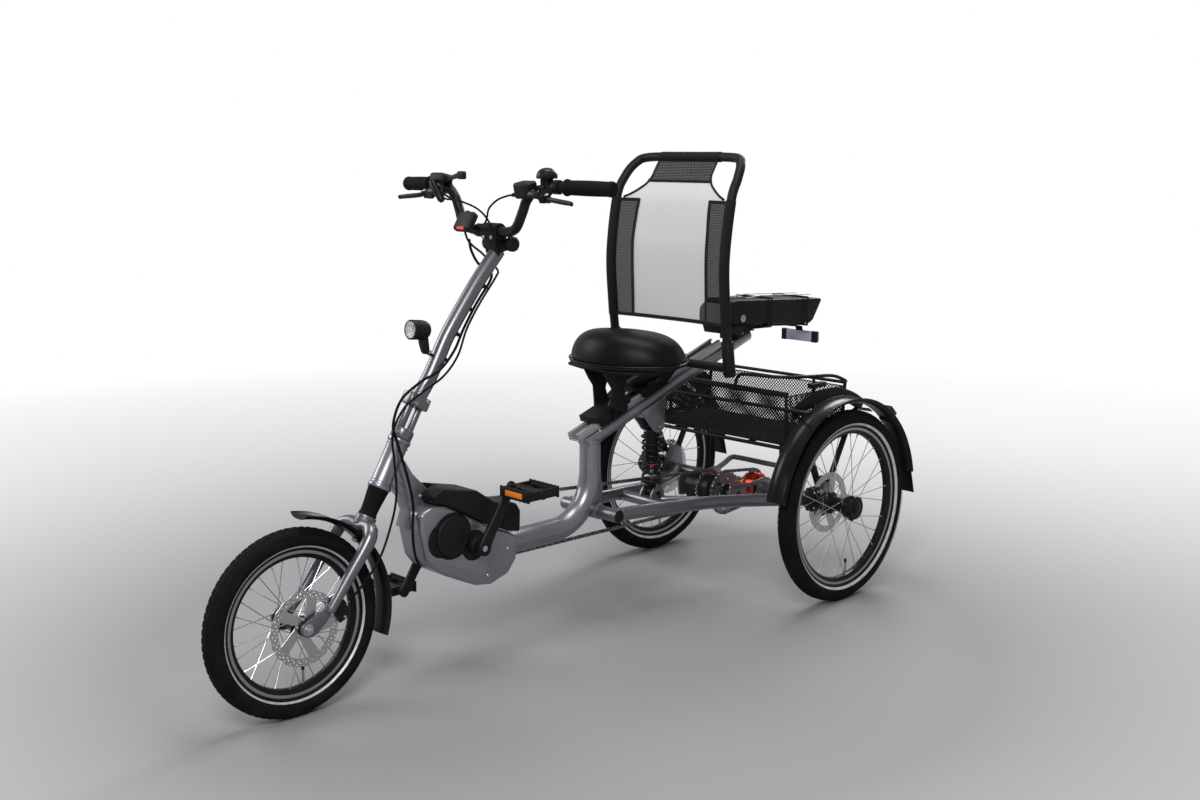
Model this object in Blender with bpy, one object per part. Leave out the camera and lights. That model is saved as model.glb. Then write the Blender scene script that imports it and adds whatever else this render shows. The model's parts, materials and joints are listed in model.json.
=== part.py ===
"""Electric recumbent-style delta tricycle: one wheel in front, two behind, with a sprung rear axle.

Metres, +Z up. The front wheel is at -Y, the rider's left is +X, and the wheels stand on z = 0.
Run it with blender --background --python part.py, or from the text editor.
"""
import math

import bmesh
import bpy
from mathutils import Matrix, Vector

GAP = 0.0003

# Wheels: 20 inch by 47 mm in front (305 mm seat) and 24 inch by 47 mm behind (406 mm seat).
FRONT_AXLE = Vector((0.0, -0.766, 0.200))
FRONT_TYRE_RADIUS = 0.200
FRONT_SEAT_RADIUS = 0.1525
REAR_AXLE = Vector((0.0, 0.665, 0.250))
REAR_TYRE_RADIUS = 0.250
REAR_SEAT_RADIUS = 0.203
REAR_WHEEL_X = 0.334
TYRE_WIDTH = 0.047
SPOKES = 24
ROTOR_RADIUS = 0.080
FRONT_ROTOR_X = 0.047
REAR_ROTOR_X = 0.287

# Steering: the axis leans back 30.5 degrees from the vertical.
HEAD_ANGLE = math.radians(59.5)
STEER_AXIS = Vector((0.0, math.cos(HEAD_ANGLE), math.sin(HEAD_ANGLE)))
STEER_FOOT = Vector((0.0, -0.688, 0.200))
HEAD_TUBE_LOW = 0.2845
HEAD_TUBE_HIGH = 0.3994
HEAD_TUBE_RADIUS = 0.023
STEERER_RADIUS = 0.0165
STANCHION_RADIUS = 0.0120

# Drive: 38 teeth at the cranks, 24 and 28 on the jackshaft, 22 on the differential.
TOOTH_HEIGHT = 0.0015
SPROCKET_HALF = 0.0010
CHAIN_GROOVE = 0.0013
CHAIN_PITCH = 0.0127
CRANK_AXIS = Vector((0.0, -0.335, 0.290))
CRANK_LENGTH = 0.151
CRANK_LEAN = math.radians(56.8)
CRANK_ARM_X = 0.093
PEDAL_X = 0.155
JACKSHAFT = Vector((0.0, 0.555, 0.250))
MAIN_CHAIN_X = -0.034
AXLE_CHAIN_X = 0.030
CHAINRING_TEETH = 38
INPUT_TEETH = 24
OUTPUT_TEETH = 28
DIFFERENTIAL_TEETH = 22

# Frame: the seat rail climbs 0.35 m in each metre on the inclined tube.
RAIL_SLOPE = 0.35
RAIL_BASE = Vector((0.0, 0.085, 0.463))
RAIL_DIRECTION = Vector((0.0, 1.0, RAIL_SLOPE)).normalized()
RAIL_NORMAL = Vector((0.0, -RAIL_DIRECTION.z, RAIL_DIRECTION.y))
INCLINED_RADIUS = 0.019
MAIN_TUBE_RADIUS = 0.028
MAIN_TUBE_Z = 0.255
MAST_Y = 0.080
BEND_RADIUS = 0.120

# Rear suspension.
SWING_PIVOT = Vector((0.0, 0.085, 0.283))
SHOCK_TOP = Vector((0.0, 0.300, 0.465))
SHOCK_FOOT = Vector((0.0, 0.300, 0.290))
SPRING_RADIUS = 0.0240
SPRING_WIRE = 0.0033
SPRING_TURNS = 7
SPRING_LOW = 0.3270
SPRING_HIGH = 0.4300

# Bar, seat and load.
GRIP_OUTER = Vector((0.352, -0.187, 1.076))
GRIP_INNER = Vector((0.2305, -0.209, 1.078))
BAR_RADIUS = 0.0110
GRIP_RADIUS = 0.0165
HOOP_HALF_WIDTH = 0.195
HOOP_RADIUS = 0.0115
BATTERY_HALF_WIDTH = 0.055

X_AXIS = Vector((1.0, 0.0, 0.0))
Y_AXIS = Vector((0.0, 1.0, 0.0))
Z_AXIS = Vector((0.0, 0.0, 1.0))


# Helpers: every shape below is a closed mesh in world metres.
def clear_scene():
    for old in list(bpy.data.objects):
        bpy.data.objects.remove(old, do_unlink=True)


def finished(shape, weld=0.000001):
    """Turn a bmesh into a mesh whose faces point outward."""
    bmesh.ops.remove_doubles(shape, verts=shape.verts, dist=weld)
    bmesh.ops.dissolve_degenerate(shape, edges=shape.edges, dist=weld)
    loose = [edge for edge in shape.edges if not edge.link_faces]
    bmesh.ops.delete(shape, geom=loose, context="EDGES")
    bmesh.ops.recalc_face_normals(shape, faces=shape.faces)
    mesh = bpy.data.meshes.new("shape")
    shape.to_mesh(mesh)
    shape.free()
    return mesh


def evaluated(temporary):
    """Bake an object's modifiers or curve bevel to a mesh, and drop the object."""
    bpy.context.scene.collection.objects.link(temporary)
    bpy.context.view_layer.update()
    graph = bpy.context.evaluated_depsgraph_get()
    mesh = bpy.data.meshes.new_from_object(temporary.evaluated_get(graph))
    bpy.data.objects.remove(temporary, do_unlink=True)
    shape = bmesh.new()
    shape.from_mesh(mesh)
    return finished(shape)


def pipe(points, radius, sides=12, widths=None, closed=False):
    """A round bar along the points. widths are factors on the radius, one for each point."""
    curve = bpy.data.curves.new("pipe", "CURVE")
    curve.dimensions = "3D"
    curve.bevel_depth = radius
    curve.bevel_resolution = (sides - 4) // 2
    curve.use_fill_caps = not closed
    spline = curve.splines.new("POLY")
    spline.points.add(len(points) - 1)
    spline.use_cyclic_u = closed
    for index, point in enumerate(points):
        spline.points[index].co = (*point, 1.0)
        spline.points[index].radius = widths[index] if widths else 1.0
    return evaluated(bpy.data.objects.new("pipe", curve))


def smooth(points, steps=4):
    """A Catmull-Rom curve through the points."""
    ends = [points[0] * 2 - points[1], *points, points[-1] * 2 - points[-2]]
    curve = []
    for a, b, c, d in zip(ends, ends[1:], ends[2:], ends[3:]):
        for step in range(steps):
            t = step / steps
            curve.append(0.5 * (2 * b + (c - a) * t + (2 * a - 5 * b + 4 * c - d) * t * t
                                + (3 * b - a - 3 * c + d) * t ** 3))
    return [*curve, points[-1].copy()]


def arc(centre, radius, start, end, steps, x=0.0):
    """Points round centre in a plane across X, from start to end degrees, 0 along +Y and 90 along +Z."""
    angles = [math.radians(start + (end - start) * i / steps) for i in range(steps + 1)]
    return [Vector((x, centre.y + radius * math.cos(a), centre.z + radius * math.sin(a))) for a in angles]


def turned(profile, centre, axis=X_AXIS, segments=24, start=-Z_AXIS):
    """Spin a closed profile of (radius, distance along the axis) once round the axis."""
    shape = bmesh.new()
    corners = [shape.verts.new(centre + start * radius + axis * along) for radius, along in profile]
    edges = [shape.edges.new((a, b)) for a, b in zip(corners, corners[1:] + corners[:1])]
    bmesh.ops.spin(shape, geom=corners + edges, cent=centre, axis=axis, angle=math.tau, steps=segments,
                   use_merge=True, use_duplicate=False)
    return finished(shape, 0.00001)


def rod(a, b, radius, segments=10):
    axis = (b - a).normalized()
    start = axis.orthogonal().normalized()
    if abs(axis.x) > 0.9:
        start = -Z_AXIS
    elif abs(axis.x) < 0.01:
        start = X_AXIS
    length = (b - a).length
    return turned([(0, 0), (radius, 0), (radius, length), (0, length)], a, axis, segments, start)


def tube(a, b, outer, inner, segments=12):
    axis = (b - a).normalized()
    start = -Z_AXIS if abs(axis.x) > 0.9 else X_AXIS
    length = (b - a).length
    return turned([(inner, 0), (outer, 0), (outer, length), (inner, length)], a, axis, segments, start)


def sweep(path, section, across=X_AXIS, sizes=None, closed=False):
    """Loft a section of (side, lift) points along the path. Side runs along across as far as the path allows."""
    shape = bmesh.new()
    rings = []
    count = len(path)
    for index, point in enumerate(path):
        before = path[index - 1] if index or closed else path[0]
        after = path[(index + 1) % count] if index + 1 < count or closed else path[-1]
        along = (after - before).normalized()
        side = (across - along * across.dot(along)).normalized()
        lift = along.cross(side)
        size = sizes[index] if sizes else 1.0
        if not isinstance(size, tuple):
            size = (size, size)
        rings.append([shape.verts.new(point + side * a * size[0] + lift * b * size[1]) for a, b in section])
    pairs = list(zip(rings, rings[1:] + rings[:1]))
    for low, high in pairs if closed else pairs[:-1]:
        for i in range(len(section)):
            j = (i + 1) % len(section)
            shape.faces.new((low[i], low[j], high[j], high[i]))
    if not closed:
        shape.faces.new(rings[0])
        shape.faces.new(rings[-1])
    return finished(shape)


def oval(width, height, sides=8):
    angles = [math.tau * (i + 0.5) / sides for i in range(sides)]
    return [(width * math.cos(a), height * math.sin(a)) for a in angles]


def rectangle(width, height):
    return [(-width / 2, -height / 2), (width / 2, -height / 2), (width / 2, height / 2), (-width / 2, height / 2)]


def slab(outline, low, high, axis=0, bevel=0.0):
    """Extrude an outline from low to high along an axis: outlines are (y, z), (x, z) or (x, y)."""
    shape = bmesh.new()

    def corner(first, second):
        place = [first, second]
        place.insert(axis, low)
        return shape.verts.new(place)

    face = shape.faces.new([corner(*point) for point in outline])
    grown = bmesh.ops.extrude_face_region(shape, geom=[face])
    step = Vector((0.0, 0.0, 0.0))
    step[axis] = high - low
    bmesh.ops.translate(shape, verts=[v for v in grown["geom"] if isinstance(v, bmesh.types.BMVert)], vec=step)
    bmesh.ops.recalc_face_normals(shape, faces=shape.faces)
    if bevel:
        rims = [e for e in shape.edges if abs(e.verts[0].co[axis] - e.verts[1].co[axis]) < 0.000001]
        bmesh.ops.bevel(shape, geom=rims, offset=bevel, segments=1, affect="EDGES", profile=0.5)
    return finished(shape)


def block(centre, size, turn=None, bevel=0.0):
    shape = bmesh.new()
    bmesh.ops.create_cube(shape, size=1.0)
    bmesh.ops.scale(shape, vec=size, verts=shape.verts)
    if bevel:
        bmesh.ops.bevel(shape, geom=list(shape.edges), offset=bevel, segments=1, affect="EDGES", profile=0.5)
    if turn:
        bmesh.ops.transform(shape, matrix=turn, verts=shape.verts)
    bmesh.ops.translate(shape, vec=centre, verts=shape.verts)
    return finished(shape)


def tilt(degrees, axis="X"):
    return Matrix.Rotation(math.radians(degrees), 4, axis)


def moved(mesh, matrix):
    copy = mesh.copy()
    copy.transform(matrix)
    return copy


def mirrored(mesh):
    """The same shape on the other side of x = 0."""
    copy = moved(mesh, Matrix.Scale(-1, 4, X_AXIS))
    copy.flip_normals()
    return copy


def both(mesh):
    return [mesh, mirrored(mesh)]


def combined(operation, base, tools):
    """Boolean of the base with all the tools, which may overlap each other."""
    group = bpy.data.collections.new("tools")
    helpers = [bpy.data.objects.new("tool", tool) for tool in tools]
    for helper in helpers:
        group.objects.link(helper)
    bpy.context.scene.collection.children.link(group)
    target = bpy.data.objects.new("target", base)
    modifier = target.modifiers.new("boolean", "BOOLEAN")
    modifier.operation = operation
    modifier.solver = "EXACT"
    modifier.operand_type = "COLLECTION"
    modifier.collection = group
    mesh = evaluated(target)
    for helper in helpers:
        bpy.data.objects.remove(helper, do_unlink=True)
    bpy.data.collections.remove(group)
    return mesh


def joined(*meshes):
    return combined("UNION", meshes[0], meshes[1:])


def cut(mesh, *cutters):
    for cutter in cutters:
        mesh = combined("DIFFERENCE", mesh, [cutter])
    return mesh


# Objects: one for each piece, parented to the empty on its body's joint.
BODIES = {}
MATERIALS = {}


def body(name, place, parent=None):
    empty = bpy.data.objects.new("body_" + name, None)
    empty.empty_display_size = 0.03
    bpy.context.scene.collection.objects.link(empty)
    if parent:
        empty.parent = BODIES[parent][0]
        empty.location = place - BODIES[parent][1]
    else:
        empty.location = place
    BODIES[name] = (empty, place.copy())


def material(name, colour, roughness, metallic=0.0):
    made = bpy.data.materials.new(name)
    made.use_nodes = True
    shader = made.node_tree.nodes["Principled BSDF"]
    shader.inputs["Base Color"].default_value = (*colour, 1.0)
    shader.inputs["Roughness"].default_value = roughness
    shader.inputs["Metallic"].default_value = metallic
    MATERIALS[name] = made


def part(name, mesh, look, owner, sharp=35.0):
    mesh.name = name
    mesh.transform(Matrix.Translation(-BODIES[owner][1]))
    mesh.shade_smooth()
    mesh.set_sharp_from_angle(angle=math.radians(sharp))
    mesh.materials.clear()
    mesh.materials.append(MATERIALS[look])
    made = bpy.data.objects.new(name, mesh)
    made.parent = BODIES[owner][0]
    bpy.context.scene.collection.objects.link(made)


def pair(name, mesh, look, owner):
    """A left piece and its mirrored right one. owner may hold a {} for the side."""
    part(name + "_right", mirrored(mesh), look, owner.format("right"))
    part(name + "_left", mesh, look, owner.format("left"))


def on_steering(distance, side=0.0, forward=0.0):
    """A point at this distance up the steering axis; forward is square to it, towards the front."""
    ahead = Vector((0.0, -STEER_AXIS.z, STEER_AXIS.y))
    return STEER_FOOT + STEER_AXIS * distance + X_AXIS * side + ahead * forward


def on_rail(y, side=0.0, above=0.0):
    """A point over the inclined tube's centre line, above it square to the line."""
    centre = RAIL_BASE + Vector((0.0, y - RAIL_BASE.y, (y - RAIL_BASE.y) * RAIL_SLOPE))
    return centre + X_AXIS * side + RAIL_NORMAL * above


def pitch_radius(teeth):
    return CHAIN_PITCH / (2 * math.sin(math.pi / teeth))


# Frame
def motor_shape(grow=0.0, reach=0.0):
    """The drive unit seen from the side: the motor drum, its front lobe and the crank boss."""
    low = -0.0255 - reach
    high = 0.0600 + reach
    drum = Vector((0.0, -0.3955, 0.323))
    lobe = Vector((0.0, -0.4230, 0.318))
    pieces = []
    for centre, radius, set_in in ((drum, 0.052, 0.0), (lobe, 0.038, 0.0021), (CRANK_AXIS, 0.034, 0.0012)):
        pieces.append(rod(centre + X_AXIS * (low + set_in), centre + X_AXIS * (high - set_in), radius + grow, 14))
    return joined(*pieces)


def main_frame():
    """Head tube, gusset, motor casting, main tube with its bend, inclined tube and brackets, welded together."""
    head = rod(on_steering(HEAD_TUBE_LOW), on_steering(HEAD_TUBE_HIGH), HEAD_TUBE_RADIUS, 14)
    collars = [rod(on_steering(low), on_steering(low + 0.009), HEAD_TUBE_RADIUS + 0.0028, 14)
               for low in (HEAD_TUBE_LOW, HEAD_TUBE_HIGH - 0.009)]
    gusset = slab([(-0.500, 0.505), (-0.4855, 0.4985), (-0.4674, 0.4678), (-0.4149, 0.4141), (-0.400, 0.385),
                   (-0.420, 0.350), (-0.470, 0.340), (-0.4897, 0.350), (-0.4779, 0.385), (-0.4901, 0.4185),
                   (-0.5205, 0.4503), (-0.530, 0.465)], -0.019, 0.019)
    casting = slab([(-0.4779, 0.385), (-0.4790, 0.345), (-0.466, 0.282), (-0.448, 0.258), (-0.413, 0.234),
                    (-0.329, 0.194), (-0.2855, 0.187), (-0.235, 0.202), (-0.210, 0.233), (-0.205, 0.285),
                    (-0.235, 0.302), (-0.290, 0.325), (-0.410, 0.393), (-0.440, 0.400)],
                   -0.0265, 0.061, bevel=0.006)
    bend = arc(Vector((0.0, MAST_Y - BEND_RADIUS, MAIN_TUBE_Z + BEND_RADIUS)), BEND_RADIUS, -90, 0, 6)
    spine_path = [Vector((0.0, -0.235, MAIN_TUBE_Z)), *bend, Vector((0.0, MAST_Y, 0.462))]
    spine = pipe(spine_path, MAIN_TUBE_RADIUS, 12, [1.0] * (len(spine_path) - 2) + [0.92, 0.89])
    inclined = rod(on_rail(0.025), on_rail(0.665), INCLINED_RADIUS, 12)
    lug = rod(SWING_PIVOT - X_AXIS * 0.032, SWING_PIVOT + X_AXIS * 0.032, 0.019, 12)
    web = slab([(0.045, 0.272), (0.085, 0.268), (0.103, 0.280), (0.106, 0.305), (0.112, 0.345), (0.104, 0.358),
                (0.080, 0.358), (0.040, 0.305)], -0.015, 0.015)
    cheek = slab([(0.240, 0.510), (0.325, 0.540), (0.322, 0.458), (0.300, 0.447), (0.281, 0.455), (0.262, 0.480)],
                 0.0180, 0.0230)
    bridge = slab([(0.244, 0.508), (0.322, 0.535), (0.321, 0.512), (0.248, 0.492)], -0.0190, 0.0190)
    bolt = rod(SHOCK_TOP - X_AXIS * 0.028, SHOCK_TOP + X_AXIS * 0.028, 0.0040, 8)
    frame = joined(spine, head, *collars, gusset, casting, inclined, lug, web, bridge, *both(cheek), bolt)
    steerer_bore = rod(on_steering(HEAD_TUBE_LOW - 0.02), on_steering(HEAD_TUBE_HIGH + 0.03),
                       STEERER_RADIUS + 0.0012, 14)
    pivot_bore = rod(SWING_PIVOT - X_AXIS * 0.05, SWING_PIVOT + X_AXIS * 0.05, 0.0085, 12)
    return cut(frame, motor_shape(0.0010, 0.0060), steerer_bore, pivot_bore)


def motor_body():
    """The drive unit with its round cap, bored for the crank axle."""
    drum = Vector((0.060, -0.3955, 0.323))
    cap = turned([(0, -0.0063), (0.0452, -0.0063), (0.0452, 0.0075), (0.0415, 0.0095), (0, 0.0095)], drum,
                 X_AXIS, 18, Vector((0, 0.13, -1)).normalized())
    boss = rod(CRANK_AXIS + X_AXIS * 0.05, CRANK_AXIS + X_AXIS * 0.078, 0.0185, 14)
    bore = rod(CRANK_AXIS - X_AXIS * 0.06, CRANK_AXIS + X_AXIS * 0.09, 0.0125, 12)
    return cut(joined(motor_shape(), cap, boss), bore)


def motor_cover():
    """The dark cover over the drive unit, with a wavy lower edge round the drum and the boss."""
    lid = slab([(-0.4145, 0.3960), (-0.4420, 0.4015), (-0.4500, 0.4210), (-0.4175, 0.4340), (-0.3235, 0.4130),
                (-0.2750, 0.3790), (-0.2100, 0.3640), (-0.1990, 0.3450), (-0.2010, 0.2950), (-0.2360, 0.3035),
                (-0.2900, 0.3265)], -0.0260, 0.0640, bevel=0.004)
    gusset_slot = block(Vector((0.0, -0.440, 0.390)), (0.0392, 0.080, 0.12))
    keep_clear = [motor_shape(0.0016, 0.0016)]
    drum = Vector((0.0, -0.3955, 0.323))
    keep_clear.append(rod(drum + X_AXIS * 0.05, drum + X_AXIS * 0.08, 0.0545, 16))
    keep_clear.append(rod(CRANK_AXIS + X_AXIS * 0.05, CRANK_AXIS + X_AXIS * 0.08, 0.0365, 16))
    return cut(lid, gusset_slot, *keep_clear)


def seat_rail():
    """Aluminium C-channel on the inclined tube, open on top between its two lips."""
    section = [(-0.018, 0), (0.018, 0), (0.018, 0.020), (0.009, 0.020), (0.009, 0.017), (0.015, 0.017),
               (0.015, 0.003), (-0.015, 0.003), (-0.015, 0.017), (-0.009, 0.017), (-0.009, 0.020), (-0.018, 0.020)]
    above = INCLINED_RADIUS + GAP
    return sweep([on_rail(0.035, 0, above), on_rail(0.550, 0, above)], [(a, -b) for a, b in section])


BATTERY_BASE = [Vector((0.0, 0.573, 0.7026)), Vector((0.0, 0.874, 0.6817))]
BATTERY_DIRECTION = (BATTERY_BASE[1] - BATTERY_BASE[0]).normalized()


def base_z(y):
    return BATTERY_BASE[0].z + (y - BATTERY_BASE[0].y) * BATTERY_DIRECTION.z / BATTERY_DIRECTION.y


def battery_pack():
    """Flat pack with a rounded front and a raked back."""
    front = 0.537
    return slab([(front, base_z(front) + 0.012), (front + 0.012, base_z(front + 0.012)), (0.874, base_z(0.874)),
                 (0.889, 0.6900), (0.926, 0.7430), (0.920, 0.7480), (0.560, 0.7680), (0.545, 0.7640),
                 (front, 0.7500)], -BATTERY_HALF_WIDTH, BATTERY_HALF_WIDTH, bevel=0.005)


def battery_rack():
    """Base plate on the end of the inclined tube, a front dock, and wire hoops over the pack."""
    low = 0.0075
    plate = slab([(0.560, base_z(0.560) - GAP), (0.560, base_z(0.560) - low), (0.880, base_z(0.880) - low),
                  (0.880, base_z(0.880) - GAP)], -0.034, 0.034)
    dock = slab([(0.535, base_z(0.535) - 0.002), (0.545, base_z(0.545) - 0.026), (0.590, base_z(0.590) - 0.030),
                 (0.610, base_z(0.610) - 0.004)], -0.044, 0.044, bevel=0.003)
    saddle = slab([(0.590, 0.690), (0.592, 0.658), (0.660, 0.682), (0.690, 0.684), (0.690, 0.690)], -0.030, 0.030)
    wires = []
    for y in (0.696, 0.853):
        z = base_z(y) - 0.004
        top = 0.7720 - (y - 0.56) * 0.0555
        outline = [Vector((-0.020, y, z)), Vector((-0.0610, y + 0.0002, z + 0.0002)), Vector((-0.0614, y, top)),
                   Vector((0.0614, y, top)), Vector((0.0610, y + 0.0002, z + 0.0002)), Vector((0.020, y, z))]
        wires.append(pipe(outline, 0.0029, 5))
    strut = rod(Vector((0.0606, 0.6955, 0.6890)), Vector((0.0200, 0.6700, 0.6830)), 0.0028, 5)
    rack = joined(plate, dock, saddle, *wires, strut, mirrored(strut))
    return cut(rack, rod(on_rail(0.40), on_rail(0.70), INCLINED_RADIUS + GAP, 16))


def rear_light():
    """Flat lamp with its bracket, hung behind the rack."""
    lamp = block(Vector((0.0, 0.905, 0.640)), (0.120, 0.018, 0.030), bevel=0.003)
    arm = sweep([Vector((0, 0.900, 0.650)), Vector((0, 0.895, base_z(0.88) - 0.014)),
                 Vector((0, 0.850, base_z(0.85) - 0.0115))], rectangle(0.024, 0.003))
    return joined(lamp, arm)


def build_frame():
    body("frame", Vector((0.0, 0.0, 0.0)))
    part("main_frame", main_frame(), "grey_paint", "frame")
    part("motor_body", motor_body(), "black_plastic", "frame")
    part("motor_cover", motor_cover(), "black_plastic", "frame")
    part("seat_rail", seat_rail(), "raw_aluminium", "frame")
    part("battery_rack", battery_rack(), "black_steel", "frame")
    part("rear_light", rear_light(), "lamp_plastic", "frame")
    body("battery", Vector((0.0, 0.730, 0.720)), "frame")
    part("battery_pack", battery_pack(), "black_plastic", "battery")


# Wheels
def tyre(axle, radius, seat):
    crown = radius - TYRE_WIDTH / 2
    half = TYRE_WIDTH / 2
    low = seat + 0.0055
    profile = [(low, -0.0120), (crown - 0.003, -half), (radius - 0.006, -0.0165), (radius, -0.0060),
               (radius, 0.0060), (radius - 0.006, 0.0165), (crown - 0.003, half), (low, 0.0120)]
    return turned(profile[::-1], axle, X_AXIS, 30)


def spoked_wheel(axle, seat, flanges, flange_radius, hub_profile, rotor_x, extra=()):
    """Rim, laced spokes, hub and brake disc. Each flange carries half the spokes, leaning both ways in turn."""
    rim = turned([(seat - 0.014, -0.009), (seat - 0.014, 0.009), (seat + 0.005, 0.0140), (seat + 0.005, -0.0140)],
                 axle, X_AXIS, 30)
    spokes = []
    for index in range(SPOKES):
        side = index % 2
        lead = 1 if index % 4 < 2 else -1
        rim_angle = math.tau * (index + 0.5) / SPOKES
        hub_angle = rim_angle + lead * math.radians(52)
        hub_x = flanges[side] + lead * 0.0022
        inner = axle + Vector((hub_x, math.cos(hub_angle) * (flange_radius - 0.002),
                               math.sin(hub_angle) * (flange_radius - 0.002)))
        outer_radius = seat - 0.010
        outer = axle + Vector((side * 0.006 - 0.003 + lead * 0.0012, math.cos(rim_angle) * outer_radius,
                               math.sin(rim_angle) * outer_radius))
        spokes.append(turned([(0, 0), (0.0011, 0), (0.0011, (outer - inner).length), (0, (outer - inner).length)],
                             inner, (outer - inner).normalized(), 3, (outer - inner).orthogonal().normalized()))
    hub = turned(hub_profile, axle, X_AXIS, 10, Vector((0.0, 0.16, -1.0)).normalized())
    pieces = [hub, *spokes, *rotor(axle, rotor_x), *extra]
    return joined(rim, *pieces)


def rotor(axle, x):
    """Brake disc: a ring 1.8 mm thick on five leaning arms."""
    ring = turned([(0.064, -0.0009), (0.064, 0.0009), (ROTOR_RADIUS, 0.0009), (ROTOR_RADIUS, -0.0009)],
                  axle + X_AXIS * x, X_AXIS, 18)
    arms = []
    for index in range(5):
        angle = math.tau * index / 5
        out = Vector((0.0, math.cos(angle), math.sin(angle)))
        skew = Vector((0.0, math.cos(angle + 0.5), math.sin(angle + 0.5)))
        centre = axle + X_AXIS * x
        arms.append(sweep([centre + out * 0.014, centre + skew * 0.067], rectangle(0.0016, 0.008)))
    return [ring, *arms]


def front_wheel():
    bore = 0.0060
    hub = [(bore, -0.043), (0.011, -0.043), (0.0225, -0.034), (0.0225, -0.030), (0.014, -0.024),
           (0.014, 0.023), (0.0225, 0.028), (0.018, 0.0485), (bore, 0.0485)]
    return spoked_wheel(FRONT_AXLE, FRONT_SEAT_RADIUS, (-0.032, 0.0295), 0.0225, hub, FRONT_ROTOR_X)


def rear_wheel():
    """Left rear wheel with its drive shaft and round outer nut. The disc sits inboard."""
    centre = REAR_AXLE + X_AXIS * REAR_WHEEL_X
    inner = REAR_ROTOR_X - REAR_WHEEL_X
    hub = [(0, inner - 0.0080), (0.018, inner - 0.0080), (0.0290, inner + 0.0080), (0.0290, inner + 0.0120),
           (0.019, inner + 0.018), (0.019, 0.010), (0.0290, 0.016), (0.0290, 0.021), (0.034, 0.028),
           (0.030, 0.043), (0, 0.046)]
    shaft = rod(Vector((0.0665, REAR_AXLE.y, REAR_AXLE.z)), centre + X_AXIS * (inner + 0.002), 0.0085, 12)
    return spoked_wheel(centre, REAR_SEAT_RADIUS, (inner + 0.010, 0.018), 0.0290, hub, inner, [shaft])


def build_wheels():
    body("front_wheel", FRONT_AXLE, "fork")
    part("front_tyre", tyre(FRONT_AXLE, FRONT_TYRE_RADIUS, FRONT_SEAT_RADIUS), "tyre_rubber", "front_wheel")
    part("front_rim", front_wheel(), "wheel_alloy", "front_wheel")
    left = REAR_AXLE + X_AXIS * REAR_WHEEL_X
    right = REAR_AXLE - X_AXIS * REAR_WHEEL_X
    body("rear_wheel_left", left, "swingarm")
    body("rear_wheel_right", right, "swingarm")
    pair("rear_tyre", tyre(left, REAR_TYRE_RADIUS, REAR_SEAT_RADIUS), "tyre_rubber", "rear_wheel_{}")
    pair("rear_rim", rear_wheel(), "wheel_alloy", "rear_wheel_{}")


# Steering column, fork and bar
def stem():
    """Steerer, clamp collar, twin lower tubes and the mast up to the bar clamp."""
    steerer = tube(on_steering(0.2545), on_steering(HEAD_TUBE_HIGH + 0.010), STEERER_RADIUS,
                   STANCHION_RADIUS + 0.0010, 12)
    collar = rod(on_steering(HEAD_TUBE_HIGH + 0.0015), on_steering(HEAD_TUBE_HIGH + 0.024), 0.0240, 16)
    front = rod(on_steering(HEAD_TUBE_HIGH + 0.018, 0, 0.0125), on_steering(0.492, 0, 0.0125), 0.0095, 8)
    back = rod(on_steering(HEAD_TUBE_HIGH + 0.018, 0, -0.0145), on_steering(0.492, 0, -0.0145), 0.0080, 8)
    clamp = sweep([on_steering(0.476), on_steering(0.502)], [(0.0200, -0.030), (0.0200, 0.028), (-0.0200, 0.028),
                                                             (-0.0200, -0.030)])
    line = [on_steering(0.488), Vector((0, -0.4065, 0.6639)), Vector((0, -0.3837, 0.7010)),
            Vector((0, -0.3522, 0.7552)), Vector((0, -0.3005, 0.8236)), Vector((0, -0.2568, 0.8771)),
            Vector((0, -0.2040, 0.9340))]
    mast = pipe(line, 0.0172, 12)
    neck = block(Vector((0, -0.2110, 0.9560)), (0.040, 0.034, 0.050), tilt(12))
    bar_clamp = rod(Vector((-0.026, -0.218, 0.978)), Vector((0.026, -0.218, 0.978)), 0.0185, 12)
    knob = turned([(0, -0.009), (0.0135, -0.006), (0.0135, 0.006), (0, 0.010)], Vector((0.040, -0.196, 0.950)),
                  X_AXIS, 10)
    bridge = rod(Vector((-0.036, -0.196, 0.950)), Vector((0.036, -0.196, 0.950)), 0.0065, 8)
    clips = []
    for y, z in ((-0.2515, 0.860), (-0.2923, 0.812), (-0.3299, 0.760), (-0.3640, 0.7070)):
        clips.append(block(Vector((0.0, y + 0.0030, z - 0.0026)), (0.022, 0.0130, 0.006), tilt(-39)))
    shape = joined(mast, collar, front, back, clamp, neck, bar_clamp, *both(knob), bridge, *clips, steerer)
    bar_bore = rod(Vector((-0.05, -0.218, 0.978)), Vector((0.05, -0.218, 0.978)), BAR_RADIUS + 0.0006, 12)
    return cut(shape, bar_bore)


def bar_route():
    half = [Vector((0.026, -0.218, 0.978)), Vector((0.060, -0.221, 0.979)), Vector((0.091, -0.2270, 0.990)),
            Vector((0.110, -0.2250, 1.024)), Vector((0.125, -0.2240, 1.052)), Vector((0.155, -0.2210, 1.070)),
            GRIP_INNER]
    curve = [*half, GRIP_OUTER - X_AXIS * 0.004]
    return [Vector((-p.x, p.y, p.z)) for p in reversed(curve)] + curve


def handlebar():
    return pipe(bar_route(), BAR_RADIUS, 8)


def bar_room():
    """The bar's own shape, a little fatter and longer, for boring what is clamped on it."""
    route = bar_route()
    extra = (route[-1] - route[-2]).normalized() * 0.0006
    route[-1] = route[-1] + extra
    route[0] = route[0] + Vector((-extra.x, extra.y, extra.z))
    return pipe(route, BAR_RADIUS + 0.0006, 8)


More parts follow.
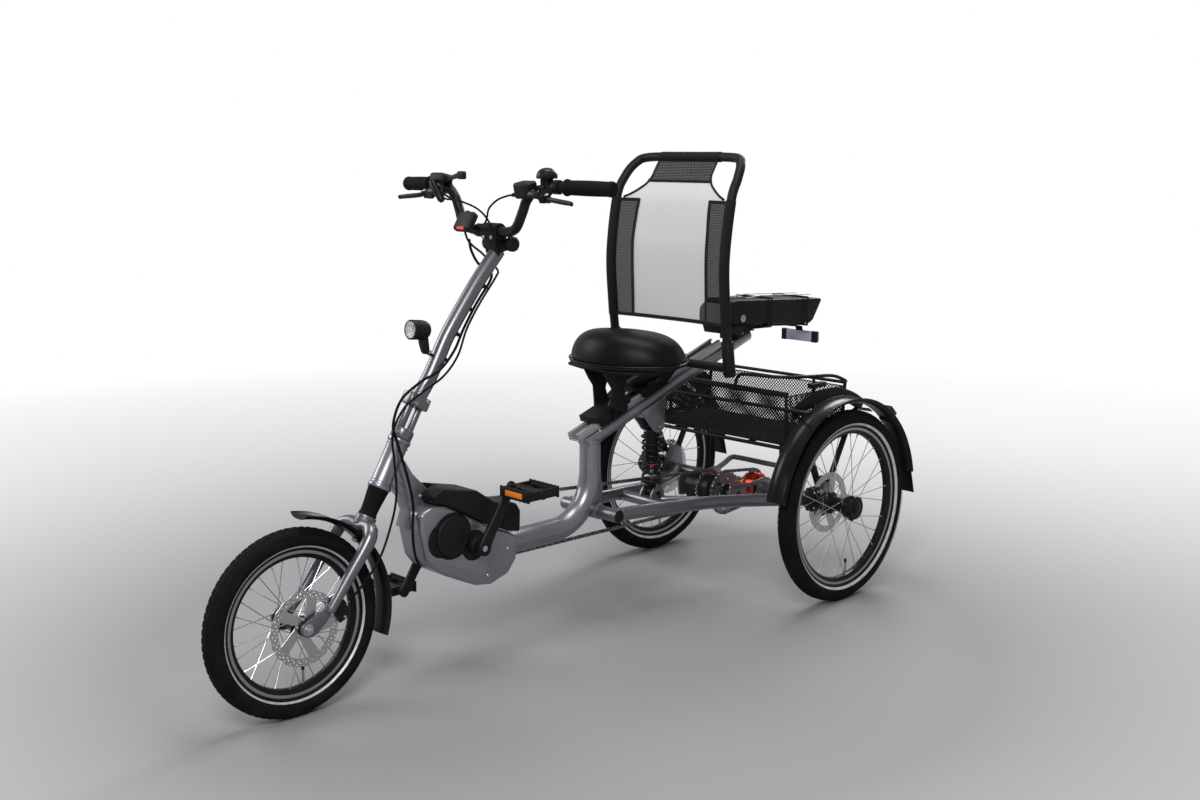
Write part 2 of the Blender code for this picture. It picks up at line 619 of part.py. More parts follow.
def grip():
    """Left grip: a tapered sleeve with a flange and a closed outer end."""
    along = (GRIP_OUTER - GRIP_INNER).normalized()
    length = (GRIP_OUTER - GRIP_INNER).length
    profile = [(0, 0.002), (0.0180, 0.002), (0.0158, 0.009), (GRIP_RADIUS, length - 0.008), (0.0150, length),
               (0, length)]
    return cut(turned(profile, GRIP_INNER, along, 12, Z_AXIS), bar_room())


LEVER_PIVOT = Vector((0.2120, -0.2420, 1.0560))
LEVER_AXIS = Vector((0.0, -0.514, 0.857)).normalized()


def perch():
    """Left brake master cylinder: a band round the bar, the cylinder and the lever's fork."""
    along = (GRIP_OUTER - GRIP_INNER).normalized()
    middle = GRIP_INNER - along * 0.022
    band = rod(middle - along * 0.007, middle + along * 0.007, 0.0155, 12)
    cylinder = rod(Vector((0.158, -0.2450, 1.0630)), Vector((0.190, -0.2450, 1.0610)), 0.0085, 8)
    arm = sweep([middle + Vector((-0.012, -0.010, -0.005)), Vector((0.193, -0.2430, 1.0575))],
                rectangle(0.019, 0.013), X_AXIS)
    knuckle = sweep([LEVER_PIVOT - X_AXIS * 0.0270, LEVER_PIVOT - X_AXIS * 0.0095], rectangle(0.0186, 0.0124),
                    LEVER_AXIS)
    ears = [sweep([LEVER_PIVOT + LEVER_AXIS * offset - X_AXIS * 0.0150, LEVER_PIVOT + LEVER_AXIS * offset
                   + X_AXIS * 0.0060], rectangle(0.0028, 0.0110), LEVER_AXIS) for offset in (-0.0075, 0.0075)]
    shape = joined(cylinder, band, arm, knuckle, *ears)
    return cut(shape, bar_room())


def brake_lever():
    """Left lever: a two-finger blade on its pivot boss."""
    boss = rod(LEVER_PIVOT - LEVER_AXIS * 0.0050, LEVER_PIVOT + LEVER_AXIS * 0.0050, 0.0065, 10)
    route = [LEVER_PIVOT, Vector((0.228, -0.2475, 1.0530)), Vector((0.260, -0.2510, 1.0500)),
             Vector((0.290, -0.2530, 1.0475)), Vector((0.2986, -0.2560, 1.0460))]
    blade = sweep(smooth(route, 2), oval(0.0052, 0.0042, 6), LEVER_AXIS,
                  [1.0, 1.0, 1.1, 1.1, 1.1, 1.1, 1.1, 1.0, 0.9])
    return joined(boss, blade)


def shifter():
    """Right twin-lever shifter: a band round the bar and a flat pod over it."""
    centre = Vector((-0.160, -0.2205, 1.0715))
    band = rod(centre + X_AXIS * 0.006, centre - X_AXIS * 0.006, 0.0150, 14)
    pod = block(Vector((-0.162, -0.2340, 1.0920)), (0.050, 0.034, 0.020), tilt(-12), bevel=0.004)
    post = block(Vector((-0.160, -0.2280, 1.0830)), (0.012, 0.018, 0.014))
    return cut(joined(pod, band, post), bar_room())


SHIFT_PIVOT = Vector((-0.132, -0.2400, 1.0910))


def shift_lever():
    stalk = sweep([SHIFT_PIVOT, Vector((-0.108, -0.2420, 1.0950)), Vector((-0.085, -0.2430, 1.1000))],
                  rectangle(0.006, 0.009), Y_AXIS, [1.0, 1.0, 1.3])
    paddle = block(Vector((-0.076, -0.2430, 1.1000)), (0.024, 0.012, 0.018), bevel=0.003)
    return joined(stalk, paddle)


BELL_CENTRE = Vector((0.1790, -0.2160, 1.0980))


def bell():
    """Left bell: a band round the bar, a base and a domed gong."""
    bar_point = Vector((0.179, -0.2170, 1.0726))
    band = rod(bar_point - X_AXIS * 0.0045, bar_point + X_AXIS * 0.0045, 0.0150, 12)
    foot = rod(bar_point + Z_AXIS * 0.0100, BELL_CENTRE + Z_AXIS * 0.002, 0.0070, 8)
    dome = turned([(0, -0.002), (0.0225, -0.002), (0.0230, 0.003), (0.0190, 0.014), (0, 0.0210)],
                  BELL_CENTRE, Z_AXIS, 16, X_AXIS)
    return cut(joined(dome, foot, band), bar_room())


def bell_lever():
    """The striker's thumb tab, which turns with its arm under the gong's rim."""
    route = [BELL_CENTRE + Vector((0.0265, -0.004, 0.004)), BELL_CENTRE + Vector((0.0235, -0.018, 0.004)),
             BELL_CENTRE + Vector((0.0150, -0.0330, 0.004))]
    return sweep(smooth(route, 2), rectangle(0.008, 0.0024), Z_AXIS)


def control_pad():
    """Left switch unit for the drive's display, on a band round the bar."""
    shell = block(PAD_CENTRE, (0.046, 0.034, 0.034), tilt(PAD_TILT), bevel=0.004)
    return cut(shell, bar_room())


PAD_TILT = 12
PAD_CENTRE = Vector((0.1330, -0.2360, 1.0720))
PAD_NORMAL = (tilt(PAD_TILT) @ Vector((0.0, 1.0, 0.0))).normalized()
BUTTON_SEAT = PAD_CENTRE + PAD_NORMAL * 0.0172 + (tilt(PAD_TILT) @ Vector((0.0, 0.0, 1.0))) * 0.0060


def control_button():
    return rod(BUTTON_SEAT + PAD_NORMAL * 0.0021, BUTTON_SEAT + PAD_NORMAL * 0.0048, 0.0065, 14)


def display():
    """Small display head in front of the clamp, on an arm from the bar."""
    head = block(Vector((-0.0360, -0.2660, 0.9990)), (0.052, 0.018, 0.046), tilt(-32), bevel=0.004)
    arm = block(Vector((-0.0420, -0.2440, 0.9860)), (0.016, 0.040, 0.012), tilt(-18))
    band = rod(Vector((-0.0340, -0.2190, 0.9783)), Vector((-0.0500, -0.2198, 0.9788)), 0.0150, 14)
    bar = rod(Vector((-0.020, -0.2183, 0.9780)), Vector((-0.064, -0.2210, 0.9790)), BAR_RADIUS + 0.0012, 14)
    return cut(joined(head, arm, band), bar)


def headlight():
    """Round lamp on a square neck, with a short bracket from the mast."""
    forward = Vector((0.0, -0.995, 0.100)).normalized()
    front = Vector((0.0, -0.451, 0.778))
    profile = [(0, 0), (0.0185, 0), (0.0215, 0.003), (0.0215, 0.014), (0.0190, 0.017), (0.0190, 0.028),
               (0.0120, 0.046), (0, 0.048)]
    shell = turned(profile, front, -forward, 14, X_AXIS)
    neck = sweep([Vector((0, -0.4190, 0.7700)), Vector((0, -0.4150, 0.7430)), Vector((0, -0.4110, 0.7240))],
                 rectangle(0.018, 0.018), sizes=[1.0, 1.0, 0.84])
    stalk = sweep([Vector((0, -0.4170, 0.7290)), Vector((0, -0.3850, 0.7130))], rectangle(0.012, 0.007))
    shape = joined(shell, neck, stalk)
    axis = (Vector((0, -0.3522, 0.7552)) - Vector((0, -0.3837, 0.7010))).normalized()
    mast = rod(Vector((0, -0.3837, 0.7010)) - axis * 0.03, Vector((0, -0.3837, 0.7010)) + axis * 0.06, 0.0182, 16)
    return cut(shape, mast)


def fork():
    """Stanchion, crown, bowed legs, dropouts and the wheel's axle."""
    stanchion = rod(on_steering(0.195), on_steering(0.335), STANCHION_RADIUS, 12)
    ring = rod(on_steering(0.198), on_steering(0.2215), 0.0225, 14)
    leg_route = [Vector((-0.004, -0.5920, 0.3700)), Vector((0.030, -0.5940, 0.3755)), Vector((0.0520, -0.6030, 0.3690)),
                 Vector((0.0600, -0.6184, 0.3483)), Vector((0.0600, -0.6700, 0.2825)),
                 Vector((0.0600, -0.7150, 0.2245))]
    leg = pipe(leg_route, 0.0150, 8, [1.0, 1.0, 1.0, 1.0, 0.83, 0.66])
    dropout = slab([(-0.7050, 0.2450), (-0.7000, 0.2300), (-0.7450, 0.1880), (-0.7660, 0.1840), (-0.7800, 0.1930),
                    (-0.7800, 0.2080), (-0.7660, 0.2170), (-0.7400, 0.2280)], 0.0540, 0.0610)
    axle = rod(FRONT_AXLE - X_AXIS * 0.070, FRONT_AXLE + X_AXIS * 0.070, 0.0048, 8)
    nut = rod(FRONT_AXLE + X_AXIS * 0.060, FRONT_AXLE + X_AXIS * 0.067, 0.0095, 6)
    return joined(leg, mirrored(leg), stanchion, ring, *both(dropout), axle, *both(nut))


def fork_boot():
    """Tapered rubber sleeve between the crown ring and the head tube."""
    low = 0.2218
    high = HEAD_TUBE_LOW - GAP
    inner = STEERER_RADIUS + 0.0007
    return turned([(inner, low), (0.0200, low), (0.0185, low + 0.006), (0.0195, low + 0.022), (0.0225, high - 0.006),
                   (0.0225, high), (inner, high)], STEER_FOOT, STEER_AXIS, 16, X_AXIS)


def front_fender():
    """Arched blade from the wheel's top back and down to the flap, with its fixing tab."""
    crown = [(-0.0300, -0.0090), (-0.0160, 0.0008), (0.0160, 0.0008), (0.0300, -0.0090), (0.0284, -0.0100),
             (0.0150, -0.0012), (-0.0150, -0.0012), (-0.0284, -0.0100)]
    blade = sweep(arc(FRONT_AXLE, 0.2165, 84, -19, 11), crown)
    tab = sweep([FRONT_AXLE + Vector((0, 0.1620, 0.1436)), FRONT_AXLE + Vector((0, 0.1660, 0.1500))],
                rectangle(0.018, 0.016))
    return joined(blade, tab)


def front_caliper():
    """Caliper with a slot for the disc, bolted behind the left leg."""
    centre = Vector((0.0, -0.6850, 0.2240))
    shell = sweep([Vector((0.0360, centre.y, centre.z)), Vector((0.0570, centre.y, centre.z))],
                  [(-0.013, -0.026), (0.010, -0.026), (0.016, -0.010), (0.016, 0.010), (0.010, 0.026),
                   (-0.013, 0.026)], Vector((0.0, 0.93, 0.37)))
    slot = turned([(0.050, -0.0026), (0.0835, -0.0026), (0.0835, 0.0026), (0.050, 0.0026)],
                  FRONT_AXLE + X_AXIS * FRONT_ROTOR_X, X_AXIS, 32)
    leg = rod(Vector((0.060, -0.6184, 0.3483)), Vector((0.060, -0.7290, 0.2060)), 0.0150, 12)
    return cut(shell, slot, leg)


def cable(route, radius=0.0025, sides=6, steps=4):
    return pipe(smooth(route, steps), radius, sides)


def front_brake_hose():
    """Hose from the right perch, down behind the mast, round the head tube and on to the caliper."""
    route = [Vector((-0.1560, -0.2460, 1.0630)), Vector((-0.0950, -0.2500, 1.0400)), Vector((-0.0760, -0.2430, 0.9950)),
             Vector((-0.0620, -0.2380, 0.9540)), Vector((-0.0310, -0.2240, 0.9270)), Vector((-0.0300, -0.2000, 0.9040)),
             Vector((-0.0110, -0.1960, 0.8880)), Vector((0.0060, -0.2180, 0.8740)), Vector((0.0060, -0.2640, 0.8200)),
             Vector((0.0060, -0.3020, 0.7660)), Vector((0.0130, -0.3330, 0.7120)), Vector((0.0360, -0.3900, 0.6760)),
             Vector((0.0430, -0.4500, 0.6500)), Vector((0.0430, -0.5036, 0.6200)), Vector((0.0430, -0.5300, 0.5700)),
             Vector((0.0410, -0.5240, 0.5100)), Vector((0.0390, -0.5180, 0.4450)), Vector((0.0450, -0.5380, 0.3900)),
             Vector((0.0640, -0.5900, 0.3150)), Vector((0.0620, -0.6400, 0.2600)), Vector((0.0480, -0.6600, 0.2350))]
    return cable(route, 0.0025, steps=2, sides=4)


def drive_lead():
    """Lead from the display, down behind the mast, in a loop past the head tube and into the drive unit."""
    route = [Vector((-0.0300, -0.2620, 0.9610)), Vector((-0.0300, -0.2560, 0.9350)), Vector((-0.0290, -0.2360, 0.9040)),
             Vector((-0.0200, -0.2100, 0.8860)), Vector((-0.0060, -0.2240, 0.8660)), Vector((-0.0050, -0.2640, 0.8200)),
             Vector((-0.0050, -0.3020, 0.7660)), Vector((0.0040, -0.3360, 0.7220)), Vector((0.0280, -0.3950, 0.6880)),
             Vector((0.0310, -0.4500, 0.6680)), Vector((0.0340, -0.5036, 0.6360)), Vector((0.0340, -0.5258, 0.5850)),
             Vector((0.0330, -0.5150, 0.5450)), Vector((0.0310, -0.5000, 0.5000)), Vector((0.0310, -0.4860, 0.4500)),
             Vector((0.0350, -0.4800, 0.4000)), Vector((0.0430, -0.4890, 0.3500)), Vector((0.0430, -0.4850, 0.3000)),
             Vector((0.0410, -0.4700, 0.2620))]
    return cable(route, 0.0030, steps=2, sides=5)


def build_steering():
    body("steering", on_steering(0.342), "frame")
    part("stem", stem(), "dark_grey_paint", "steering")
    part("handlebar", handlebar(), "black_alloy", "steering")
    pair("grip", grip(), "rubber", "steering")
    pair("brake_perch", perch(), "black_alloy", "steering")
    part("shifter", shifter(), "black_plastic", "steering")
    part("bell", bell(), "black_plastic", "steering")
    part("control_pad", control_pad(), "black_plastic", "steering")
    part("display", display(), "black_plastic", "steering")
    part("headlight", headlight(), "black_plastic", "steering")
    part("front_brake_hose", front_brake_hose(), "rubber", "steering")
    part("drive_lead", drive_lead(), "rubber", "steering")
    body("brake_lever_left", LEVER_PIVOT, "steering")
    body("brake_lever_right", Vector((-LEVER_PIVOT.x, LEVER_PIVOT.y, LEVER_PIVOT.z)), "steering")
    pair("brake_lever", brake_lever(), "black_alloy", "brake_lever_{}")
    body("shift_lever", SHIFT_PIVOT, "steering")
    part("shift_lever", shift_lever(), "black_plastic", "shift_lever")
    body("bell_lever", BELL_CENTRE, "steering")
    part("bell_lever", bell_lever(), "black_plastic", "bell_lever")
    body("control_button", BUTTON_SEAT, "steering")
    part("control_button", control_button(), "grey_plastic", "control_button")
    body("fork", on_steering(0.2215), "steering")
    part("fork", fork(), "dark_grey_paint", "fork")
    part("fork_boot", fork_boot(), "rubber", "fork")
    part("front_fender", front_fender(), "black_plastic", "fork")
    part("front_caliper", front_caliper(), "black_alloy", "fork")


# Drive
def sprocket(centre, teeth, core=0.0):
    """Toothed disc. The teeth stand in the chain's groove; core is the radius of its central hole."""
    radius = pitch_radius(teeth)
    outline = []
    for tooth in range(teeth):
        for share, reach in ((0.0, radius - 0.0036), (0.5, radius + TOOTH_HEIGHT)):
            angle = math.tau * (tooth + share) / teeth
            outline.append((centre.y + reach * math.cos(angle), centre.z + reach * math.sin(angle)))
    disc = slab(outline, centre.x - SPROCKET_HALF, centre.x + SPROCKET_HALF)
    if not core:
        return disc
    return cut(disc, rod(centre - X_AXIS * 0.01, centre + X_AXIS * 0.01, core, 16))


def chain_route(front, front_teeth, back, back_teeth):
    """A place and its outward direction for each pin round two sprockets, and whether teeth can reach it."""
    radii = (pitch_radius(front_teeth), pitch_radius(back_teeth))
    span = (back - front).length
    lean = math.atan2(back.z - front.z, back.y - front.y)
    spread = math.acos((radii[0] - radii[1]) / span)
    run = math.sqrt(span ** 2 - (radii[0] - radii[1]) ** 2)
    front_arc = (math.tau - 2 * spread) * radii[0]
    back_arc = 2 * spread * radii[1]
    total = front_arc + back_arc + 2 * run
    pins = 2 * round(total / CHAIN_PITCH / 2)
    clear = 3.2 * CHAIN_PITCH
    places = []
    for pin in range(pins):
        gone = total * pin / pins
        toothed = True
        if gone < front_arc:
            angle = lean + spread + gone / radii[0]
            centre, radius, slide = front, radii[0], 0.0
        elif gone < front_arc + run:
            angle = lean - spread
            centre, radius, slide = front, radii[0], gone - front_arc
            toothed = slide < clear or run - slide < clear
        elif gone < front_arc + run + back_arc:
            angle = lean - spread + (gone - front_arc - run) / radii[1]
            centre, radius, slide = back, radii[1], 0.0
        else:
            angle = lean + spread
            centre, radius, slide = back, radii[1], gone - front_arc - run - back_arc
            toothed = slide < clear or run - slide < clear
        out = Vector((0.0, math.cos(angle), math.sin(angle)))
        along = Vector((0.0, -out.z, out.y))
        places.append((centre + out * radius + along * slide, out, toothed))
    return places


def chain(x, front, front_teeth, back, back_teeth):
    """Roller chain as one endless band of wide and narrow links, with a groove along it where teeth enter."""
    shape = bmesh.new()
    rings = []
    for pin, (place, out, toothed) in enumerate(chain_route(front, front_teeth, back, back_teeth)):
        width, height = (0.0036, 0.0043) if pin % 2 == 0 else (0.0029, 0.0035)
        section = [(-width, -height), (-width, height), (width, height), (width, -height)]
        if toothed:
            section += [(CHAIN_GROOVE, -height), (CHAIN_GROOVE, TOOTH_HEIGHT + 0.0009),
                        (-CHAIN_GROOVE, TOOTH_HEIGHT + 0.0009), (-CHAIN_GROOVE, -height)]
        centre = place + X_AXIS * x
        rings.append([shape.verts.new(centre + X_AXIS * a + out * b) for a, b in section])
    for low, high in zip(rings, rings[1:] + rings[:1]):
        if len(low) == len(high):
            sides = len(low)
            for i in range(sides):
                j = (i + 1) % sides
                shape.faces.new((low[i], low[j], high[j], high[i]))
            continue
        for i in range(3):
            shape.faces.new((low[i], low[i + 1], high[i + 1], high[i]))
        grooved = low if len(low) > 4 else high
        shape.faces.new(grooved[4:])
        shape.faces.new([*low[3:4], *(low[4::3]), low[0], high[0], *(high[4::3][::-1]), high[3]])
    return finished(shape)


def pedal_place(side):
    turn = side * CRANK_LENGTH
    return CRANK_AXIS + Vector((side * PEDAL_X, math.cos(CRANK_LEAN) * turn, math.sin(CRANK_LEAN) * turn))


def crankset():
    """Axle, two tapered arms and the chainring's five-armed spider."""
    axle = rod(CRANK_AXIS - X_AXIS * 0.088, CRANK_AXIS + X_AXIS * 0.088, 0.0115, 12)
    arms = []
    for side in (-1, 1):
        start = CRANK_AXIS + X_AXIS * side * CRANK_ARM_X
        end = pedal_place(side)
        end.x = start.x
        along = (end - start).normalized()
        arms.append(sweep([start - along * 0.012, start, end, end + along * 0.009],
                          [(-0.0060, -0.0130), (0.0, -0.0155), (0.0065, -0.0105), (0.0065, 0.0105),
                           (0.0, 0.0155), (-0.0060, 0.0130)], X_AXIS, [0.72, 1.15, 0.82, 0.50]))
        arms.append(rod(start - X_AXIS * 0.0095, start + X_AXIS * 0.008, 0.0172, 10))
    spider = []
    ring_x = MAIN_CHAIN_X - 0.0050
    centre = CRANK_AXIS + X_AXIS * ring_x
    for index in range(5):
        angle = math.tau * index / 5 + 0.3
        out = Vector((0.0, math.cos(angle), math.sin(angle)))
        spider.append(sweep([centre, centre + out * 0.062], rectangle(0.0060, 0.016), X_AXIS, [1.3, 0.8]))
        seat = centre + out * 0.056
        spider.append(rod(seat - X_AXIS * 0.0022, seat + X_AXIS * 0.0056, 0.0055, 5))
    hub = rod(centre - X_AXIS * 0.020, centre + X_AXIS * 0.006, 0.0178, 12)
    ring = sprocket(CRANK_AXIS + X_AXIS * MAIN_CHAIN_X, CHAINRING_TEETH, core=0.0480)
    return joined(axle, ring, *arms, *spider, hub)


def pedal():
    """Left cage pedal: two tread plates, two end plates, the axle's barrel and its spindle."""
    centre = pedal_place(1)
    barrel = rod(centre - X_AXIS * 0.0440, centre + X_AXIS * 0.0485, 0.0116, 8)
    spindle = rod(centre - X_AXIS * 0.0555, centre - X_AXIS * 0.0400, 0.0050, 6)
    rails = []
    for way in (-1, 1):
        rails.append(block(centre + Y_AXIS * way * 0.0400, (0.094, 0.012, 0.026)))
        rails.append(block(centre + X_AXIS * way * 0.0425, (0.007, 0.082, 0.020)))
    return joined(barrel, spindle, *rails)


def gear_hub():
    """Jackshaft hub with both sprockets: the crank's chain drives it and the short chain leaves it."""
    shell = turned([(0.0060, -0.098), (0.022, -0.098), (0.038, -0.085), (0.038, -0.008), (0.022, 0.000),
                    (0.022, 0.036), (0.0060, 0.036)], JACKSHAFT, X_AXIS, 14)
    first = sprocket(JACKSHAFT + X_AXIS * MAIN_CHAIN_X, INPUT_TEETH, 0.030)
    second = sprocket(JACKSHAFT + X_AXIS * AXLE_CHAIN_X, OUTPUT_TEETH, 0.016)
    return joined(shell, first, second)


def differential():
    """Anodised housing with its sprocket, open along the axle for both drive shafts."""
    shell = turned([(0.0095, 0.0120), (0.030, 0.0120), (0.030, 0.0270), (0.0380, 0.0330), (0.0380, 0.0560),
                    (0.0300, 0.0620), (0.0095, 0.0620)], REAR_AXLE, X_AXIS, 16)
    return joined(shell, sprocket(REAR_AXLE + X_AXIS * AXLE_CHAIN_X, DIFFERENTIAL_TEETH, 0.020))


def build_drive():
    body("crankset", CRANK_AXIS, "frame")
    part("crankset", crankset(), "black_alloy", "crankset")
    left_pedal = pedal()
    across = Matrix.Translation(pedal_place(-1)) @ Matrix.Scale(-1, 4, X_AXIS) @ Matrix.Translation(-pedal_place(1))
    right_pedal = moved(left_pedal, across)
    right_pedal.flip_normals()
    body("pedal_left", pedal_place(1), "crankset")
    body("pedal_right", pedal_place(-1), "crankset")
    part("pedal_left", left_pedal, "black_plastic", "pedal_left")
    part("pedal_right", right_pedal, "black_plastic", "pedal_right")
    body("jackshaft", JACKSHAFT, "swingarm")
    part("gear_hub", gear_hub(), "black_alloy", "jackshaft")
    body("differential", REAR_AXLE, "swingarm")
    part("differential", differential(), "red_anodised", "differential")
    part("main_chain", chain(MAIN_CHAIN_X, CRANK_AXIS, CHAINRING_TEETH, JACKSHAFT, INPUT_TEETH),
         "steel", "swingarm")
    part("axle_chain", chain(AXLE_CHAIN_X, JACKSHAFT, OUTPUT_TEETH, REAR_AXLE, DIFFERENTIAL_TEETH),
         "steel", "swingarm")


# Rear suspension
def swingarm():
    """Pivot tubes and pin, beams, cross tube, shock cradle, axle tubes, hub carriers and tail hoop."""
    pin = rod(SWING_PIVOT - X_AXIS * 0.060, SWING_PIVOT + X_AXIS * 0.060, 0.0079, 12)
    end = rod(SWING_PIVOT + X_AXIS * 0.0330, SWING_PIVOT + X_AXIS * 0.0956, 0.0160, 12)
    beam_route = [Vector((0.080, 0.087, 0.2825)), Vector((0.082, 0.140, 0.2800)), Vector((0.100, 0.300, 0.2710)),
                  Vector((0.120, 0.435, 0.2620)), Vector((0.175, 0.560, 0.2540)), Vector((0.240, 0.655, 0.2500))]
    beam = sweep(smooth(beam_route, 1), oval(0.0125, 0.0170, 8))
    cross = rod(Vector((-0.098, 0.285, 0.2680)), Vector((0.098, 0.285, 0.2680)), 0.0140, 10)
    cradle = slab([(0.272, 0.262), (0.328, 0.262), (0.322, 0.296), (0.312, 0.306), (0.290, 0.306), (0.278, 0.290)],
                  0.0160, 0.0210)
    strut = sweep([Vector((0.020, 0.312, 0.272)), Vector((0.104, 0.420, 0.2660))], oval(0.0090, 0.0090, 6))
    axle_tube = rod(REAR_AXLE + X_AXIS * 0.0660, REAR_AXLE + X_AXIS * 0.2680, 0.0170, 12)
    right_tube = rod(REAR_AXLE + X_AXIS * 0.0105, REAR_AXLE - X_AXIS * 0.2680, 0.0170, 12)
    carrier = slab([(0.620, 0.225), (0.640, 0.300), (0.665, 0.318), (0.695, 0.305), (0.705, 0.262), (0.700, 0.222),
                    (0.665, 0.208)], 0.2620, 0.2690, bevel=0.0)
    hoop_route = [Vector((0.135, 0.668, 0.2480)), Vector((0.135, 0.740, 0.2720)), Vector((0.132, 0.768, 0.2850)),
                  Vector((0.110, 0.776, 0.2870)), Vector((0.0, 0.776, 0.2870))]
    half_hoop = smooth(hoop_route, 1)
    hoop = pipe([Vector((-p.x, p.y, p.z)) for p in half_hoop[:-1]] + half_hoop[::-1][1:], 0.0075, 6)
    arm = joined(beam, mirrored(beam), *both(end), pin, cross, *both(cradle), strut, mirrored(strut),
                 axle_tube, right_tube, *both(carrier), hoop, drive_plates())
    shaft_bore = rod(REAR_AXLE - X_AXIS * 0.30, REAR_AXLE + X_AXIS * 0.30, 0.0102, 12)
    return cut(arm, shaft_bore)


def drive_plates():
    """Two slotted plates from the axle tubes forward to the jackshaft's fixed axle."""
    outline = [(0.520, 0.232), (0.530, 0.222), (0.660, 0.222), (0.690, 0.232), (0.694, 0.262), (0.672, 0.280),
               (0.600, 0.276), (0.530, 0.280), (0.520, 0.268)]
    left = slab(outline, 0.0720, 0.0770)
    right = slab(outline, -0.1100, -0.1050)
    slots = []
    for low, high in ((0.585, 0.605), (0.615, 0.632)):
        slots.append(slab([(low, 0.238), (high, 0.238), (high, 0.264), (low, 0.264)], -0.12, 0.09))
    axle = rod(JACKSHAFT - X_AXIS * 0.1140, JACKSHAFT + X_AXIS * 0.0810, 0.0055, 8)
    return cut(joined(axle, left, right), *slots)


def rear_caliper():
    """Left caliper on the carrier, with a slot for the disc."""
    outline = [(0.572, 0.262), (0.586, 0.240), (0.611, 0.240), (0.619, 0.262), (0.617, 0.300), (0.584, 0.300)]
    shell = slab(outline, 0.2740, 0.2990, bevel=0.003)
    bridge = block(Vector((0.2700, 0.630, 0.2800)), (0.0014, 0.030, 0.020))
    slot = turned([(0.030, -0.0024), (0.0835, -0.0024), (0.0835, 0.0024), (0.030, 0.0024)],
                  REAR_AXLE + X_AXIS * REAR_ROTOR_X, X_AXIS, 32)
    return cut(joined(shell, block(Vector((0.2745, 0.618, 0.282)), (0.0090, 0.030, 0.022))), slot)


def arch_guard():
    """Left guard: an upright arched plate inside the wheel, on two stays that meet at the carrier."""
    start, end = 55.5, 119.3
    outer = arc(REAR_AXLE, 0.300, start, end, 7)
    inner = arc(REAR_AXLE, 0.266, end, start, 7)
    plate = slab([(p.y, p.z) for p in outer + inner], 0.2705, 0.2735)
    back = slab([(0.676, 0.300), (0.702, 0.300), (0.796, 0.470), (0.812, 0.478), (0.800, 0.486), (0.776, 0.478)],
                0.2700, 0.2730)
    front = slab([(0.628, 0.300), (0.654, 0.300), (0.588, 0.440), (0.572, 0.492), (0.552, 0.486), (0.562, 0.440)],
                 0.2700, 0.2730)
    brace = slab([(0.580, 0.412), (0.765, 0.412), (0.771, 0.424), (0.576, 0.424)], 0.2702, 0.2728)
    return joined(plate, back, front, brace)


def rear_fender():
    """Left fender: an arched blade over the wheel, two brackets to the guard and the rear flap."""
    crown = [(-0.0300, -0.0120), (-0.0180, 0.0004), (0.0180, 0.0004), (0.0300, -0.0120), (0.0282, -0.0128),
             (0.0170, -0.0018), (-0.0170, -0.0018), (-0.0282, -0.0128)]
    centre = REAR_AXLE + X_AXIS * REAR_WHEEL_X
    blade = sweep(arc(centre, 0.2745, 172, 10, 16, REAR_WHEEL_X), crown)
    flap_route = [centre + Vector((0, 0.2700, 0.0500)), centre + Vector((0, 0.2785, 0.0200)),
                  centre + Vector((0, 0.2862, -0.0100))]
    flap = sweep(flap_route, rectangle(0.056, 0.0030))
    brackets = []
    for angle in (60, 112):
        out = Vector((0.0, math.cos(math.radians(angle)), math.sin(math.radians(angle))))
        foot = REAR_AXLE + out * 0.2720
        brackets.append(sweep([foot + X_AXIS * 0.2742, foot + X_AXIS * 0.3180 + out * 0.0012],
                              rectangle(0.020, 0.003), out.cross(X_AXIS)))
    lamp = block(Vector((0.330, 0.8586, 0.4660)), (0.030, 0.034, 0.0300), tilt(-42))
    reflector = block(Vector((0.334, 0.9290, 0.3400)), (0.032, 0.0100, 0.022), tilt(19))
    return joined(blade, flap, *brackets, lamp, reflector)


def rim_half():
    """Basket rim from the front notch back along the left side and down to the rear corner."""
    return [Vector((0.085, 0.522, 0.549)), Vector((0.092, 0.522, 0.572)), Vector((0.110, 0.523, 0.5840)),
            Vector((0.180, 0.537, 0.5850)), Vector((0.230, 0.573, 0.5840)), Vector((0.248, 0.630, 0.5820)),
            Vector((0.250, 0.720, 0.5740)), Vector((0.250, 0.775, 0.5550)), Vector((0.235, 0.795, 0.5460))]


